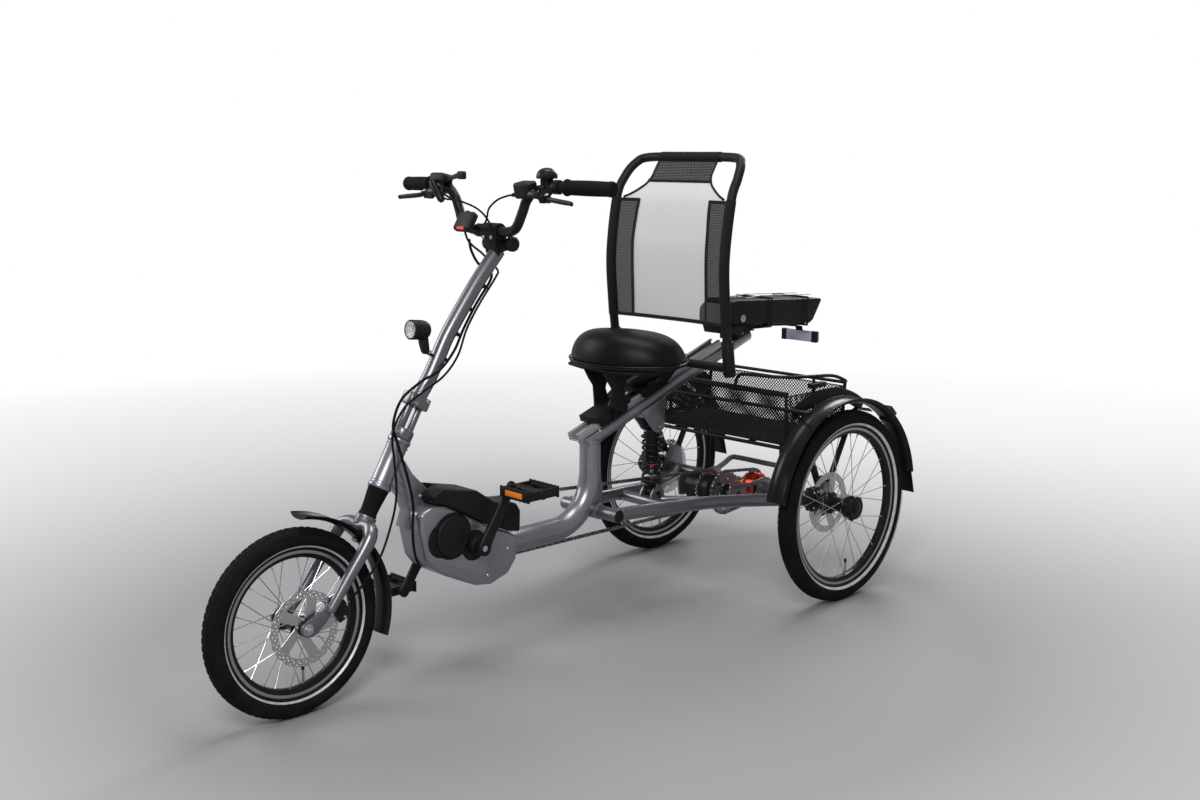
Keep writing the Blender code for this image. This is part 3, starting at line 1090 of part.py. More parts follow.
def basket_frame():
    """Round rim, front bars, bottom rails and posts of the luggage basket, on feet over the axle."""
    half = rim_half()
    rim = pipe([Vector((-p.x, p.y, p.z)) for p in reversed(half)] + half, 0.0045, 5)
    back = rod(Vector((-0.238, 0.795, 0.546)), Vector((0.238, 0.795, 0.546)), 0.0045, 5)
    bars = [block(Vector((0.0, 0.522, 0.549)), (0.518, 0.0066, 0.0114)),
            rod(Vector((-0.330, 0.522, 0.510)), Vector((0.330, 0.522, 0.510)), 0.0045, 5),
            rod(Vector((-0.262, 0.524, 0.408)), Vector((0.262, 0.524, 0.408)), 0.0050, 5),
            rod(Vector((-0.240, 0.785, 0.408)), Vector((0.240, 0.785, 0.408)), 0.0045, 5)]
    sides = [rod(Vector((0.252, 0.524, 0.408)), Vector((0.252, 0.786, 0.408)), 0.0045, 5),
             rod(Vector((0.254, 0.522, 0.405)), Vector((0.254, 0.522, 0.552)), 0.0045, 5),
             rod(Vector((0.236, 0.786, 0.405)), Vector((0.236, 0.795, 0.548)), 0.0045, 5),
             rod(Vector((0.252, 0.640, 0.408)), Vector((0.249, 0.640, 0.582)), 0.0040, 5),
             block(Vector((0.2600, 0.640, 0.5600)), (0.016, 0.060, 0.012)),
             block(Vector((0.2610, 0.640, 0.4150)), (0.020, 0.040, 0.010)),
             rod(Vector((0.130, 0.665, 0.2550)), Vector((0.130, 0.665, 0.4090)), 0.0060, 6),
             rod(Vector((0.130, 0.5235, 0.4092)), Vector((0.130, 0.7862, 0.4092)), 0.0042, 5)]
    shape = joined(rim, back, *bars, *sides, *[mirrored(side) for side in sides], *both(arch_guard()))
    axle = rod(REAR_AXLE - X_AXIS * 0.28, REAR_AXLE + X_AXIS * 0.28, 0.0170 + 2 * GAP, 12)
    return cut(shape, axle)


def basket_mesh():
    """Mesh tray inside the rods: four walls and a floor, open on top."""
    low, high = 0.4145, 0.5400
    front, back, half = 0.5310, 0.7780, 0.2440
    wall = 0.0016
    middle = (front + back) / 2
    outer = block(Vector((0.0, middle, (low + high) / 2)), (2 * half, back - front, high - low))
    inside = block(Vector((0.0, middle, (low + high) / 2 + wall)),
                   (2 * half - 2 * wall, back - front - 2 * wall, high - low))
    return cut(outer, inside)


def shock_body():
    """Top eye, damper can and red-ringed spring collar."""
    eye = tube(SHOCK_TOP - X_AXIS * 0.0150, SHOCK_TOP + X_AXIS * 0.0150, 0.0110, 0.0045, 14)
    can = turned([(0.0085, 0), (0.0170, 0), (0.0170, -0.0960), (0.0085, -0.0960)][::-1],
                 SHOCK_TOP - Z_AXIS * 0.007, Z_AXIS, 12, X_AXIS)
    plug = rod(SHOCK_TOP - Z_AXIS * 0.024, SHOCK_TOP - Z_AXIS * 0.008, 0.0130, 12)
    collar = turned([(0.0160, 0), (0.0290, 0), (0.0290, 0.0045), (0.0200, 0.0090), (0.0160, 0.0090)],
                    Vector((0, SHOCK_TOP.y, SPRING_HIGH + 0.0040)), Z_AXIS, 14, X_AXIS)
    bolt = rod(SHOCK_TOP - X_AXIS * 0.02, SHOCK_TOP + X_AXIS * 0.02, 0.0045, 14)
    return cut(joined(can, eye, plug, collar), bolt)


def shock_shaft():
    """Bottom eye on its bolt, rod and lower spring seat."""
    eye = tube(SHOCK_FOOT - X_AXIS * 0.0150, SHOCK_FOOT + X_AXIS * 0.0150, 0.0110, 0.0046, 14)
    neck = rod(SHOCK_FOOT + Z_AXIS * 0.0070, SHOCK_FOOT + Z_AXIS * 0.0300, 0.0100, 12)
    seat = turned([(0, 0.026), (0.0270, 0.026), (0.0290, 0.0290), (0.0290, 0.0325), (0, 0.0325)], SHOCK_FOOT,
                  Z_AXIS, 14, X_AXIS)
    shaft = rod(SHOCK_FOOT + Z_AXIS * 0.028, SHOCK_FOOT + Z_AXIS * 0.110, 0.0050, 8)
    return joined(eye, neck, seat, shaft)


def shock_spring():
    """Coil of round wire with closed, flat-lying end turns."""
    points = []
    per_turn = 8
    low = SPRING_LOW
    height = SPRING_HIGH - SPRING_LOW
    for step in range(SPRING_TURNS * per_turn + 1):
        share = step / (SPRING_TURNS * per_turn)
        angle = math.tau * step / per_turn
        points.append(Vector((SPRING_RADIUS * math.cos(angle), SHOCK_TOP.y + SPRING_RADIUS * math.sin(angle),
                              low + height * share)))
    gap = height / SPRING_TURNS - 2 * SPRING_WIRE
    print("spring: least gap between turns", round(gap * 1000, 2), "mm")
    return pipe(points, SPRING_WIRE, 5)


def build_suspension():
    body("swingarm", SWING_PIVOT, "frame")
    part("swingarm", swingarm(), "dark_grey_paint", "swingarm")
    pair("rear_caliper", rear_caliper(), "black_alloy", "swingarm")
    pair("rear_fender", rear_fender(), "black_plastic", "swingarm")
    part("basket_frame", basket_frame(), "black_steel", "swingarm")
    part("basket_mesh", basket_mesh(), "black_steel", "swingarm")
    body("shock_upper", SHOCK_TOP, "frame")
    part("shock_body", shock_body(), "black_alloy", "shock_upper")
    part("shock_spring", shock_spring(), "black_steel", "shock_upper")
    body("shock_lower", SHOCK_FOOT, "swingarm")
    part("shock_shaft", shock_shaft(), "steel", "shock_lower")


# Seat
def saddle_cushion():
    """Wide domed cushion: it crowns in the middle, draws in at the sides and dips a little at the front."""
    shape = bmesh.new()
    rows, columns = 8, 20
    centre = Vector((0.0, 0.205, 0.0))
    low = 0.6340
    rings = []
    for row in range(rows):
        share = row / (rows - 1)
        lift = math.sin(share * math.pi / 2)
        shrink = math.cos(share * math.pi / 2) ** 0.62 if row < rows - 1 else 0.0
        if row == 0:
            shrink = 0.955
        ring = []
        for column in range(columns):
            angle = math.tau * column / columns
            back = math.sin(angle)
            width = 0.168 * (1.0 - 0.13 * max(0.0, -back) ** 2)
            depth = 0.128
            place = Vector((width * math.cos(angle) * shrink, depth * back * shrink, 0.0)) + centre
            rise = 0.092 - 0.012 * (place.y - centre.y) / depth - 0.010 * (place.x / 0.168) ** 2
            ring.append(shape.verts.new((place.x, place.y, low + rise * lift)))
            if row == rows - 1:
                break
        rings.append(ring)
    for lower, upper in zip(rings[:-2], rings[1:-1]):
        for i in range(columns):
            j = (i + 1) % columns
            shape.faces.new((lower[i], lower[j], upper[j], upper[i]))
    tip = rings[-1][0]
    for i in range(columns):
        shape.faces.new((rings[-2][i], rings[-2][(i + 1) % columns], tip))
    shape.faces.new(rings[0])
    return finished(shape)


def seat_bracket():
    """Base pan under the cushion, two cut-away side plates and the clamp on the rail."""
    pan = slab([(-0.120, 0.120), (-0.050, 0.098), (0.050, 0.098), (0.120, 0.120), (0.140, 0.200), (0.115, 0.285),
                (0.050, 0.310), (-0.050, 0.310), (-0.115, 0.285), (-0.140, 0.200)], 0.6270, 0.6337, axis=2)
    side = slab([(0.092, 0.629), (0.215, 0.629), (0.208, 0.612), (0.172, 0.600), (0.163, 0.575), (0.178, 0.532),
                 (0.168, 0.520), (0.128, 0.505), (0.126, 0.545), (0.122, 0.585), (0.106, 0.606)], 0.0300, 0.0350)
    above = INCLINED_RADIUS + 2 * GAP + 0.020
    clamp = sweep([on_rail(0.090, 0, above + 0.008), on_rail(0.205, 0, above + 0.008)], rectangle(0.060, 0.016))
    jaw = sweep([on_rail(0.105, 0.0240, above - 0.006), on_rail(0.190, 0.0240, above - 0.006)],
                rectangle(0.011, 0.020))
    return joined(pan, *both(side), clamp, *both(jaw))


def quick_lever(place, reach, rise):
    """Over-centre lever: a cam boss on a cross pin and a flat curved blade that ends rise above it."""
    boss = rod(place, place + X_AXIS * 0.014, 0.0075, 12)
    blade = sweep([place + X_AXIS * 0.010, place + Vector((0.016, reach * 0.5, rise * 0.4)),
                   place + Vector((0.018, reach, rise))], rectangle(0.005, 0.013), X_AXIS, [1.0, 1.0, 1.1])
    return joined(boss, blade)


SEAT_LEVER = Vector((0.0308, 0.1480, 0.5310))
BACK_LEVER = Vector((0.0320, 0.2850, 0.5850))


def backrest_hoop():
    """Bent tube: two uprights that curve back, and the top bar between them."""
    half = [Vector((HOOP_HALF_WIDTH, 0.3700, 0.6150)), Vector((HOOP_HALF_WIDTH, 0.3600, 0.6850)),
            Vector((HOOP_HALF_WIDTH, 0.3510, 0.7630)), Vector((HOOP_HALF_WIDTH, 0.3440, 0.8900)),
            Vector((HOOP_HALF_WIDTH, 0.3650, 1.0340)), Vector((0.1920, 0.3920, 1.0880)),
            Vector((0.1780, 0.4180, 1.1220)), Vector((0.1450, 0.4340, 1.1365)), Vector((0.0, 0.4360, 1.1380))]
    curve = smooth(half, 2)
    return pipe(curve + [Vector((-p.x, p.y, p.z)) for p in reversed(curve[:-1])], HOOP_RADIUS, 8)


def back_y(z):
    """The hoop's centre line seen from the side."""
    known = [(0.6150, 0.3700), (0.6850, 0.3600), (0.7630, 0.3510), (0.8900, 0.3440), (1.0340, 0.3650),
             (1.0880, 0.3920), (1.1220, 0.4180), (1.1365, 0.4340)]
    for (z0, y0), (z1, y1) in zip(known, known[1:]):
        if z <= z1:
            return y0 + (y1 - y0) * (z - z0) / (z1 - z0)
    return known[-1][1]


def backrest_mesh():
    """Stretched seat-back fabric between the tubes, sagging back in the middle, from its hem to the top bar."""
    shape = bmesh.new()
    columns = 6
    heights = [0.730, 0.790, 0.880, 0.970, 1.040, 1.085, 1.1200]
    rings = []
    for z in heights:
        half = HOOP_HALF_WIDTH - HOOP_RADIUS - 0.0012
        if z > 1.05:
            half -= (z - 1.05) ** 1.5 * 2.1
        row = []
        for column in range(columns + 1):
            across = 2 * column / columns - 1
            sag = 0.022 * (1 - across ** 2)
            row.append(Vector((half * across, back_y(z) + sag, z)))
        rings.append(row)
    front = [[shape.verts.new(p + Vector((0, -0.0010, 0))) for p in row] for row in rings]
    back = [[shape.verts.new(p + Vector((0, 0.0010, 0))) for p in row] for row in rings]
    last = len(rings) - 1
    for row in range(last):
        for column in range(columns):
            for grid in (front, back):
                shape.faces.new((grid[row][column], grid[row][column + 1], grid[row + 1][column + 1],
                                 grid[row + 1][column]))
    for row in range(last):
        for column in (0, columns):
            shape.faces.new((front[row][column], front[row + 1][column], back[row + 1][column], back[row][column]))
    for column in range(columns):
        for row in (0, last):
            shape.faces.new((front[row][column], front[row][column + 1], back[row][column + 1], back[row][column]))
    return finished(shape)


def backrest_bracket():
    """Clamp on the rail, arms back to the cross bar, and a socket round each upright's foot."""
    above = INCLINED_RADIUS + 2 * GAP + 0.020
    clamp = sweep([on_rail(0.245, 0, above + 0.008), on_rail(0.345, 0, above + 0.008)], rectangle(0.060, 0.016))
    jaw = sweep([on_rail(0.255, 0.0240, above - 0.006), on_rail(0.335, 0.0240, above - 0.006)],
                rectangle(0.011, 0.020))
    bar = rod(Vector((-0.192, 0.372, 0.6240)), Vector((0.192, 0.372, 0.6240)), 0.0110, 12)
    arm = sweep([Vector((0.027, 0.315, 0.588)), Vector((0.027, 0.345, 0.612)), Vector((0.030, 0.372, 0.624))],
                rectangle(0.006, 0.026))
    socket = rod(Vector((HOOP_HALF_WIDTH, 0.3712, 0.6060)), Vector((HOOP_HALF_WIDTH, 0.3590, 0.6920)), 0.0155, 12)
    shape = joined(bar, clamp, *both(jaw), *both(arm), *both(socket))
    inside = pipe([Vector((HOOP_HALF_WIDTH, 0.3700, 0.6145)), Vector((HOOP_HALF_WIDTH, 0.3600, 0.6850)),
                   Vector((HOOP_HALF_WIDTH, 0.3510, 0.7630))], HOOP_RADIUS + 0.0009, 10)
    return cut(shape, inside, mirrored(inside))


def build_seat():
    body("seat", on_rail(0.148), "frame")
    part("saddle_cushion", saddle_cushion(), "seat_cover", "seat")
    part("seat_bracket", seat_bracket(), "black_alloy", "seat")
    body("seat_lever", SEAT_LEVER, "seat")
    part("seat_lever", quick_lever(SEAT_LEVER + X_AXIS * 0.0050, -0.055, 0.024), "raw_aluminium", "seat_lever")
    body("backrest", on_rail(0.295), "frame")
    part("backrest_hoop", backrest_hoop(), "black_alloy", "backrest")
    part("backrest_mesh", backrest_mesh(), "seat_mesh", "backrest")
    part("backrest_bracket", backrest_bracket(), "black_alloy", "backrest")
    body("backrest_lever", BACK_LEVER, "backrest")
    part("backrest_lever", quick_lever(BACK_LEVER, -0.050, -0.004), "raw_aluminium", "backrest_lever")


def build_materials():
    material("grey_paint", (0.20, 0.20, 0.22), 0.35, 0.3)
    material("dark_grey_paint", (0.10, 0.10, 0.12), 0.35, 0.3)
    material("black_steel", (0.02, 0.02, 0.02), 0.45)
    material("black_alloy", (0.03, 0.03, 0.03), 0.40, 0.4)
    material("black_plastic", (0.02, 0.02, 0.025), 0.50)
    material("grey_plastic", (0.30, 0.30, 0.32), 0.50)
    material("lamp_plastic", (0.45, 0.48, 0.62), 0.20)
    material("raw_aluminium", (0.70, 0.70, 0.72), 0.35, 1.0)
    material("wheel_alloy", (0.05, 0.05, 0.055), 0.40, 0.6)
    material("steel", (0.55, 0.55, 0.57), 0.35, 1.0)
    material("red_anodised", (0.55, 0.03, 0.02), 0.30, 0.8)
    material("tyre_rubber", (0.02, 0.02, 0.02), 0.85)
    material("rubber", (0.02, 0.02, 0.02), 0.75)
    material("seat_cover", (0.02, 0.02, 0.02), 0.60)
    material("seat_mesh", (0.03, 0.03, 0.03), 0.85)


def main():
    clear_scene()
    build_materials()
    build_frame()
    build_steering()
    build_suspension()
    build_wheels()
    build_drive()
    build_seat()


if __name__ == "__main__":
    main()
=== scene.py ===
"""Electric delta tricycle: its finer pieces, finishes, stage and camera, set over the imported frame."""
import json
import math

import bmesh
import bpy
from bpy.props import FloatProperty, FloatVectorProperty, IntProperty, PointerProperty
from mathutils import Matrix, Vector

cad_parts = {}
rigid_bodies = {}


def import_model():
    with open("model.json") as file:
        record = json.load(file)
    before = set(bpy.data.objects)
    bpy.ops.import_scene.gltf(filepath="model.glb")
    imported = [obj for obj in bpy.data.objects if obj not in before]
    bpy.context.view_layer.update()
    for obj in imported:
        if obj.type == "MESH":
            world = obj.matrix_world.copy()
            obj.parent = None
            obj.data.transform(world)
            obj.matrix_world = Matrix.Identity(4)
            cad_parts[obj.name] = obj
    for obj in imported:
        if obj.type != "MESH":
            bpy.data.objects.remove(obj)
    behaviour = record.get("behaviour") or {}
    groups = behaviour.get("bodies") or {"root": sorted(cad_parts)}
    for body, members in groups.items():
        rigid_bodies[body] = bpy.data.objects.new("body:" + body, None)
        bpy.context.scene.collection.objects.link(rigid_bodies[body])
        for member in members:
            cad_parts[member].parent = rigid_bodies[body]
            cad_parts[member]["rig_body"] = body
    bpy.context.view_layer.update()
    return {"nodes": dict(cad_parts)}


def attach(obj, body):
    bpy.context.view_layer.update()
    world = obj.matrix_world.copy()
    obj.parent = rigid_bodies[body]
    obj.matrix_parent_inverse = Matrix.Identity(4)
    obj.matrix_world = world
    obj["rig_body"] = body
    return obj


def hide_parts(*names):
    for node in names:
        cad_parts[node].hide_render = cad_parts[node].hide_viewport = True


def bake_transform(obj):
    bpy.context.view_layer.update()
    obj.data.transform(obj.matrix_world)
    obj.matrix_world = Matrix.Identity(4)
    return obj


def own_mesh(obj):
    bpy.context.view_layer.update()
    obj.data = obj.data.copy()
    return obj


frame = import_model()

bl_info = {
    "name": "Electric tricycle",
    "version": (1, 0, 0),
    "blender": (4, 5, 0),
    "location": "View3D > Sidebar > Tricycle",
    "description": "Builds an electric tricycle's pieces, finishes and studio",
    "category": "Object",
}


def mm(*rows):
    """Points, or the corners of a profile, given in millimetres."""
    scaled = [tuple(value / 1000 for value in row) for row in rows]
    return [Vector(row) for row in scaled] if len(rows[0]) == 3 else scaled


def at(x, y, z):
    return Vector((x / 1000, y / 1000, z / 1000))


X_AXIS = Vector((1.0, 0.0, 0.0))
Y_AXIS = Vector((0.0, 1.0, 0.0))
Z_AXIS = Vector((0.0, 0.0, 1.0))
SIDES = ((1, "left"), (-1, "right"))

FRONT_AXLE = at(0, -766, 200)
REAR_AXLE = at(0, 665, 250)
REAR_WHEEL_X = 0.334
FRONT_SEAT = 0.1525
REAR_SEAT = 0.203
FRONT_TYRE = 0.2
REAR_TYRE = 0.25
ROTOR_RADIUS = 0.08
FRONT_ROTOR_X = 0.047
REAR_ROTOR_X = 0.287

STEER_FOOT = at(0, -688, 200)
STEER_AXIS = Vector((0.0, math.cos(math.radians(59.5)), math.sin(math.radians(59.5))))
STEER_AHEAD = Vector((0.0, -STEER_AXIS.z, STEER_AXIS.y))
HEAD_LOW = 0.2845
HEAD_HIGH = 0.3994

CHAIN_PITCH = 0.0127
CRANK_AXIS = at(0, -335, 290)
CRANK_LENGTH = 0.151
CRANK_X = 0.093
PEDAL_X = 0.155
MOTOR_RIGHT = -0.0255
MOTOR_LEFT = 0.06
DRUM = at(0, -395.5, 323)
SMALL_DRUM = at(0, -423, 318)
CRANK_LEAN = math.radians(56.8)
JACKSHAFT = at(0, 555, 250)
MAIN_CHAIN_X = -0.034
AXLE_CHAIN_X = 0.03
CHAINRING_TEETH = 38
INPUT_TEETH = 24
OUTPUT_TEETH = 28
AXLE_TEETH = 22

RAIL_BASE = at(0, 85, 463)
RAIL_SLOPE = 0.35
RAIL_ALONG = Vector((0.0, 1.0, RAIL_SLOPE)).normalized()
RAIL_NORMAL = Vector((0.0, -RAIL_ALONG.z, RAIL_ALONG.y))
SWING_PIVOT = at(0, 85, 283)
SHOCK_TOP = at(0, 300, 465)
SHOCK_FOOT = at(0, 300, 290)
GRIP_OUTER = at(352, -187, 1076)
GRIP_INNER = at(230.5, -209, 1078)
BELL_CENTRE = at(179, -216, 1098)
LEVER_PIVOT = at(212, -242, 1056)
LEVER_AXIS = Vector((0.0, -0.514, 0.857)).normalized()
HOOP_X = 0.195
HOOP_RADIUS = 0.0115
BACK_LOW = 0.73
PANEL_EDGE = [(BACK_LOW, 0.127), (0.94, 0.127), (1.03, 0.121)]
CORNER_EDGE = mm((1030, 181.5), (1037, 170), (1045, 150), (1058, 128), (1072, 110), (1090, 100), (1131, 98))
PANEL_TOP = 1.03
BAND_LOW = 1.078
BAND_HIGH = 1.13

SADDLE_CENTRE = at(0, 205, 634)
SADDLE_HALF = at(168, 128, 92)
SADDLE_LIFT = 0.006

HOSE_ROUTE = mm((-156, -246, 1063), (-95, -250, 1040), (-76, -243, 995), (-62, -238, 954), (-31, -224, 927),
    (-30, -200, 904), (-11, -196, 888), (6, -218, 874), (6, -264, 820), (6, -302, 766), (13, -333, 712),
    (36, -390, 676), (43, -450, 650), (44, -503.6, 620), (45, -535, 570), (45, -533, 510), (44, -529, 445),
    (47, -542, 390), (64, -590, 315), (62, -640, 260), (48, -660, 235))
LEAD_ROUTE = mm((-30, -262, 961), (-30, -256, 935), (-29, -236, 904), (-20, -210, 886), (-6, -224, 866),
    (-5, -264, 820), (-5, -302, 766), (4, -336, 722), (28, -395, 688), (31, -450, 668), (34, -503.6, 636),
    (34, -525.8, 585), (33, -515, 545), (31, -500, 500), (31, -486, 450), (35, -480, 400), (43, -489, 350),
    (43, -485, 300), (41, -470, 262))
SHIFT_ROUTE = mm((-148, -240, 1096), (-130, -254, 1070), (-117, -262, 1049), (-67.4, -270, 1046.4),
    (-38.7, -270, 1042.1), (-4.5, -262, 1030.4), (12, -248, 1011), (21.5, -236, 982), (22.5, -224, 950),
    (16.5, -216, 927), (10, -220, 908))
PAD_ROUTE = mm((104, -250, 1060), (98, -256, 1059), (69.7, -262, 1049.5), (29.2, -252, 1030),
    (9, -242, 1008), (-6, -235, 996))

CAMERA_PLACE = Vector((2.37620447, -2.19050449, 1.15822258))
CAMERA_RIGHT = (0.69622222, 0.71782632, 0.0)
CAMERA_UP = (-0.12899881, 0.12511639, 0.98372008)
CAMERA_FORWARD = (-0.70614016, 0.68488778, -0.17970755)
CAMERA_LENS = 41.264


def length(label, about, value, low, high):
    return FloatProperty(name=label, description=about, default=value, min=low, max=high, precision=4,
        subtype="DISTANCE", unit="LENGTH")


def number(label, about, value, low, high):
    return IntProperty(name=label, description=about, default=value, min=low, max=high)


class TricycleSizes(bpy.types.PropertyGroup):
    """Sizes of what repeats on the tricycle."""

    spoke_groups: number("Spoke groups", "Groups of four laced spokes in a wheel", 7, 4, 10)
    spoke_radius: length("Spoke radius", "Radius of a spoke's wire", 0.001, 0.0005, 0.002)
    tread_blocks: number("Tread blocks", "Blocks round a rear tyre in each row", 92, 30, 140)
    net_pitch: length("Net pitch", "Distance between the basket net's strands", 0.0068, 0.003, 0.03)
    net_wire: length("Net wire", "Radius of the basket net's strands", 0.0013, 0.0004, 0.002)
    spring_wire: length("Spring wire", "Radius of the shock spring's wire", 0.0033, 0.002, 0.004)
    stitch_gap: length("Stitch gap", "Distance from one stitch to the next", 0.0062, 0.003, 0.02)
    grip_ribs: number("Grip ribs", "Ribs along each rubber grip", 15, 4, 24)
    pad_swell: length("Saddle swell", "How far the saddle's cover may swell", 0.006, 0.0, 0.02)


def colour(label, about, value):
    return FloatVectorProperty(name=label, description=about, default=value, size=3, min=0.0, max=1.0,
        subtype="COLOR")


class TricycleColours(bpy.types.PropertyGroup):
    """Colours of the tricycle's finishes."""

    frame_paint: colour("Frame paint", "Satin grey of the frame", (0.235, 0.226, 0.256))
    dark_paint: colour("Dark paint", "Darker grey of the fork, mast and swingarm", (0.16, 0.154, 0.175))
    black: colour("Black", "Black of steel, alloy and plastic", (0.0072, 0.0066, 0.0076))
    anodised: colour("Anodised", "Red of the differential", (0.62, 0.045, 0.015))
    saddle: colour("Saddle", "Black of the saddle's cover", (0.0036, 0.0034, 0.0038))
    pale_net: colour("Pale net", "Light net in the middle of the backrest", (0.66, 0.66, 0.68))
    dark_net: colour("Dark net", "Dark net at the sides of the backrest", (0.0075, 0.0073, 0.008))
    amber: colour("Amber", "Pedal reflectors", (0.85, 0.22, 0.02))
    tail_red: colour("Tail red", "Rear lamps and reflectors", (0.45, 0.012, 0.01))
    floor: colour("Floor", "Studio floor near the tricycle", (0.27, 0.262, 0.272))


def sizes():
    return bpy.context.scene.tricycle_sizes


def colours():
    return bpy.context.scene.tricycle_colours


def on_steering(distance, side=0.0, forward=0.0):
    """A point this far up the steering axis; forward is square to it, towards the front."""
    return STEER_FOOT + STEER_AXIS * distance + X_AXIS * side + STEER_AHEAD * forward


def on_rail(y, side=0.0, above=0.0):
    """A point over the inclined tube's centre line."""
    centre = RAIL_BASE + Vector((0.0, y - RAIL_BASE.y, (y - RAIL_BASE.y) * RAIL_SLOPE))
    return centre + X_AXIS * side + RAIL_NORMAL * above


def polar(radius, angle):
    return radius * math.cos(angle), radius * math.sin(angle)


def outward(angle):
    """The way across X that is turned this far from +Y towards +Z."""
    return Vector((0.0, math.cos(angle), math.sin(angle)))


def circle(count, start=0.0):
    """Angles in equal steps all the way round."""
    return [start + math.tau * k / count for k in range(count)]


def heading(path, k):
    """The way a path runs at its point k."""
    return (path[min(k + 1, len(path) - 1)] - path[max(k - 1, 0)]).normalized()


def mirror_x(points):
    return [Vector((-p[0], p[1], p[2])) for p in points]


def spline_point(a, b, c, d, t):
    """A Catmull-Rom curve's point between b and c."""
    return 0.5 * (2 * b + (c - a) * t + (2 * a - 5 * b + 4 * c - d) * t * t + (3 * b - a - 3 * c + d)
        * t ** 3)


def smooth(points, steps=6):
    """A smooth curve through the points."""
    points = [Vector(p) for p in points]
    ends = [points[0] * 2 - points[1], *points, points[-1] * 2 - points[-2]]
    curve = []
    for a, b, c, d in zip(ends, ends[1:], ends[2:], ends[3:]):
        curve += [spline_point(a, b, c, d, step / steps) for step in range(steps)]
    return [*curve, points[-1].copy()]


def arc(centre, radius, start, end, steps, x=0.0):
    """Points round centre in a plane across X, from start to end degrees, 0 along +Y and 90 along +Z."""
    angles = [math.radians(start + (end - start) * i / steps) for i in range(steps + 1)]
    return [Vector((x, centre.y + radius * math.cos(a), centre.z + radius * math.sin(a))) for a in angles]


def tilt(degrees):
    return Matrix.Rotation(math.radians(degrees), 4, "X")


def oval(width, height, sides=20):
    turns = [polar(1.0, math.tau * (i + 0.5) / sides) for i in range(sides)]
    return [(width * x, height * y) for x, y in turns]


def rounded(width, height, radius, steps=3):
    """A rectangle's outline with round corners, for sweeps."""
    outline = []
    for turn, (a, b) in enumerate(((1, 1), (-1, 1), (-1, -1), (1, -1))):
        for step in range(steps + 1):
            angle = math.radians(90 * (turn + step / steps))
            outline.append((a * (width / 2 - radius) + radius * math.cos(angle),
                b * (height / 2 - radius) + radius * math.sin(angle)))
    return outline


def clean(shape):
    """Merge doubles in a bmesh and turn its faces outward."""
    weld = 0.000002
    bmesh.ops.remove_doubles(shape, verts=shape.verts, dist=weld)
    bmesh.ops.dissolve_degenerate(shape, edges=shape.edges, dist=weld)
    loose = [edge for edge in shape.edges if not edge.link_faces]
    bmesh.ops.delete(shape, geom=loose, context="EDGES")
    bmesh.ops.recalc_face_normals(shape, faces=shape.faces)


def evaluated(made):
    """A plain mesh of an object's modifiers; the object is dropped."""
    if made.name not in bpy.context.scene.collection.objects:
        bpy.context.scene.collection.objects.link(made)
    bpy.context.view_layer.update()
    graph = bpy.context.evaluated_depsgraph_get()
    mesh = bpy.data.meshes.new_from_object(made.evaluated_get(graph), depsgraph=graph)
    bpy.data.objects.remove(made, do_unlink=True)
    return mesh


def modified(mesh, kind, **settings):
    """A plain mesh of this one after a modifier."""
    made = bpy.data.objects.new("modified", mesh)
    modifier = made.modifiers.new("modifier", kind)
    for key, value in settings.items():
        setattr(modifier, key, value)
    return evaluated(made)


def linked(name, data):
    """A new object in the scene."""
    made = bpy.data.objects.new(name, data)
    bpy.context.scene.collection.objects.link(made)
    return made


def plain_mesh(name, points, edges, faces):
    mesh = bpy.data.meshes.new(name)
    mesh.from_pydata([tuple(p) for p in points], edges, faces)
    return mesh


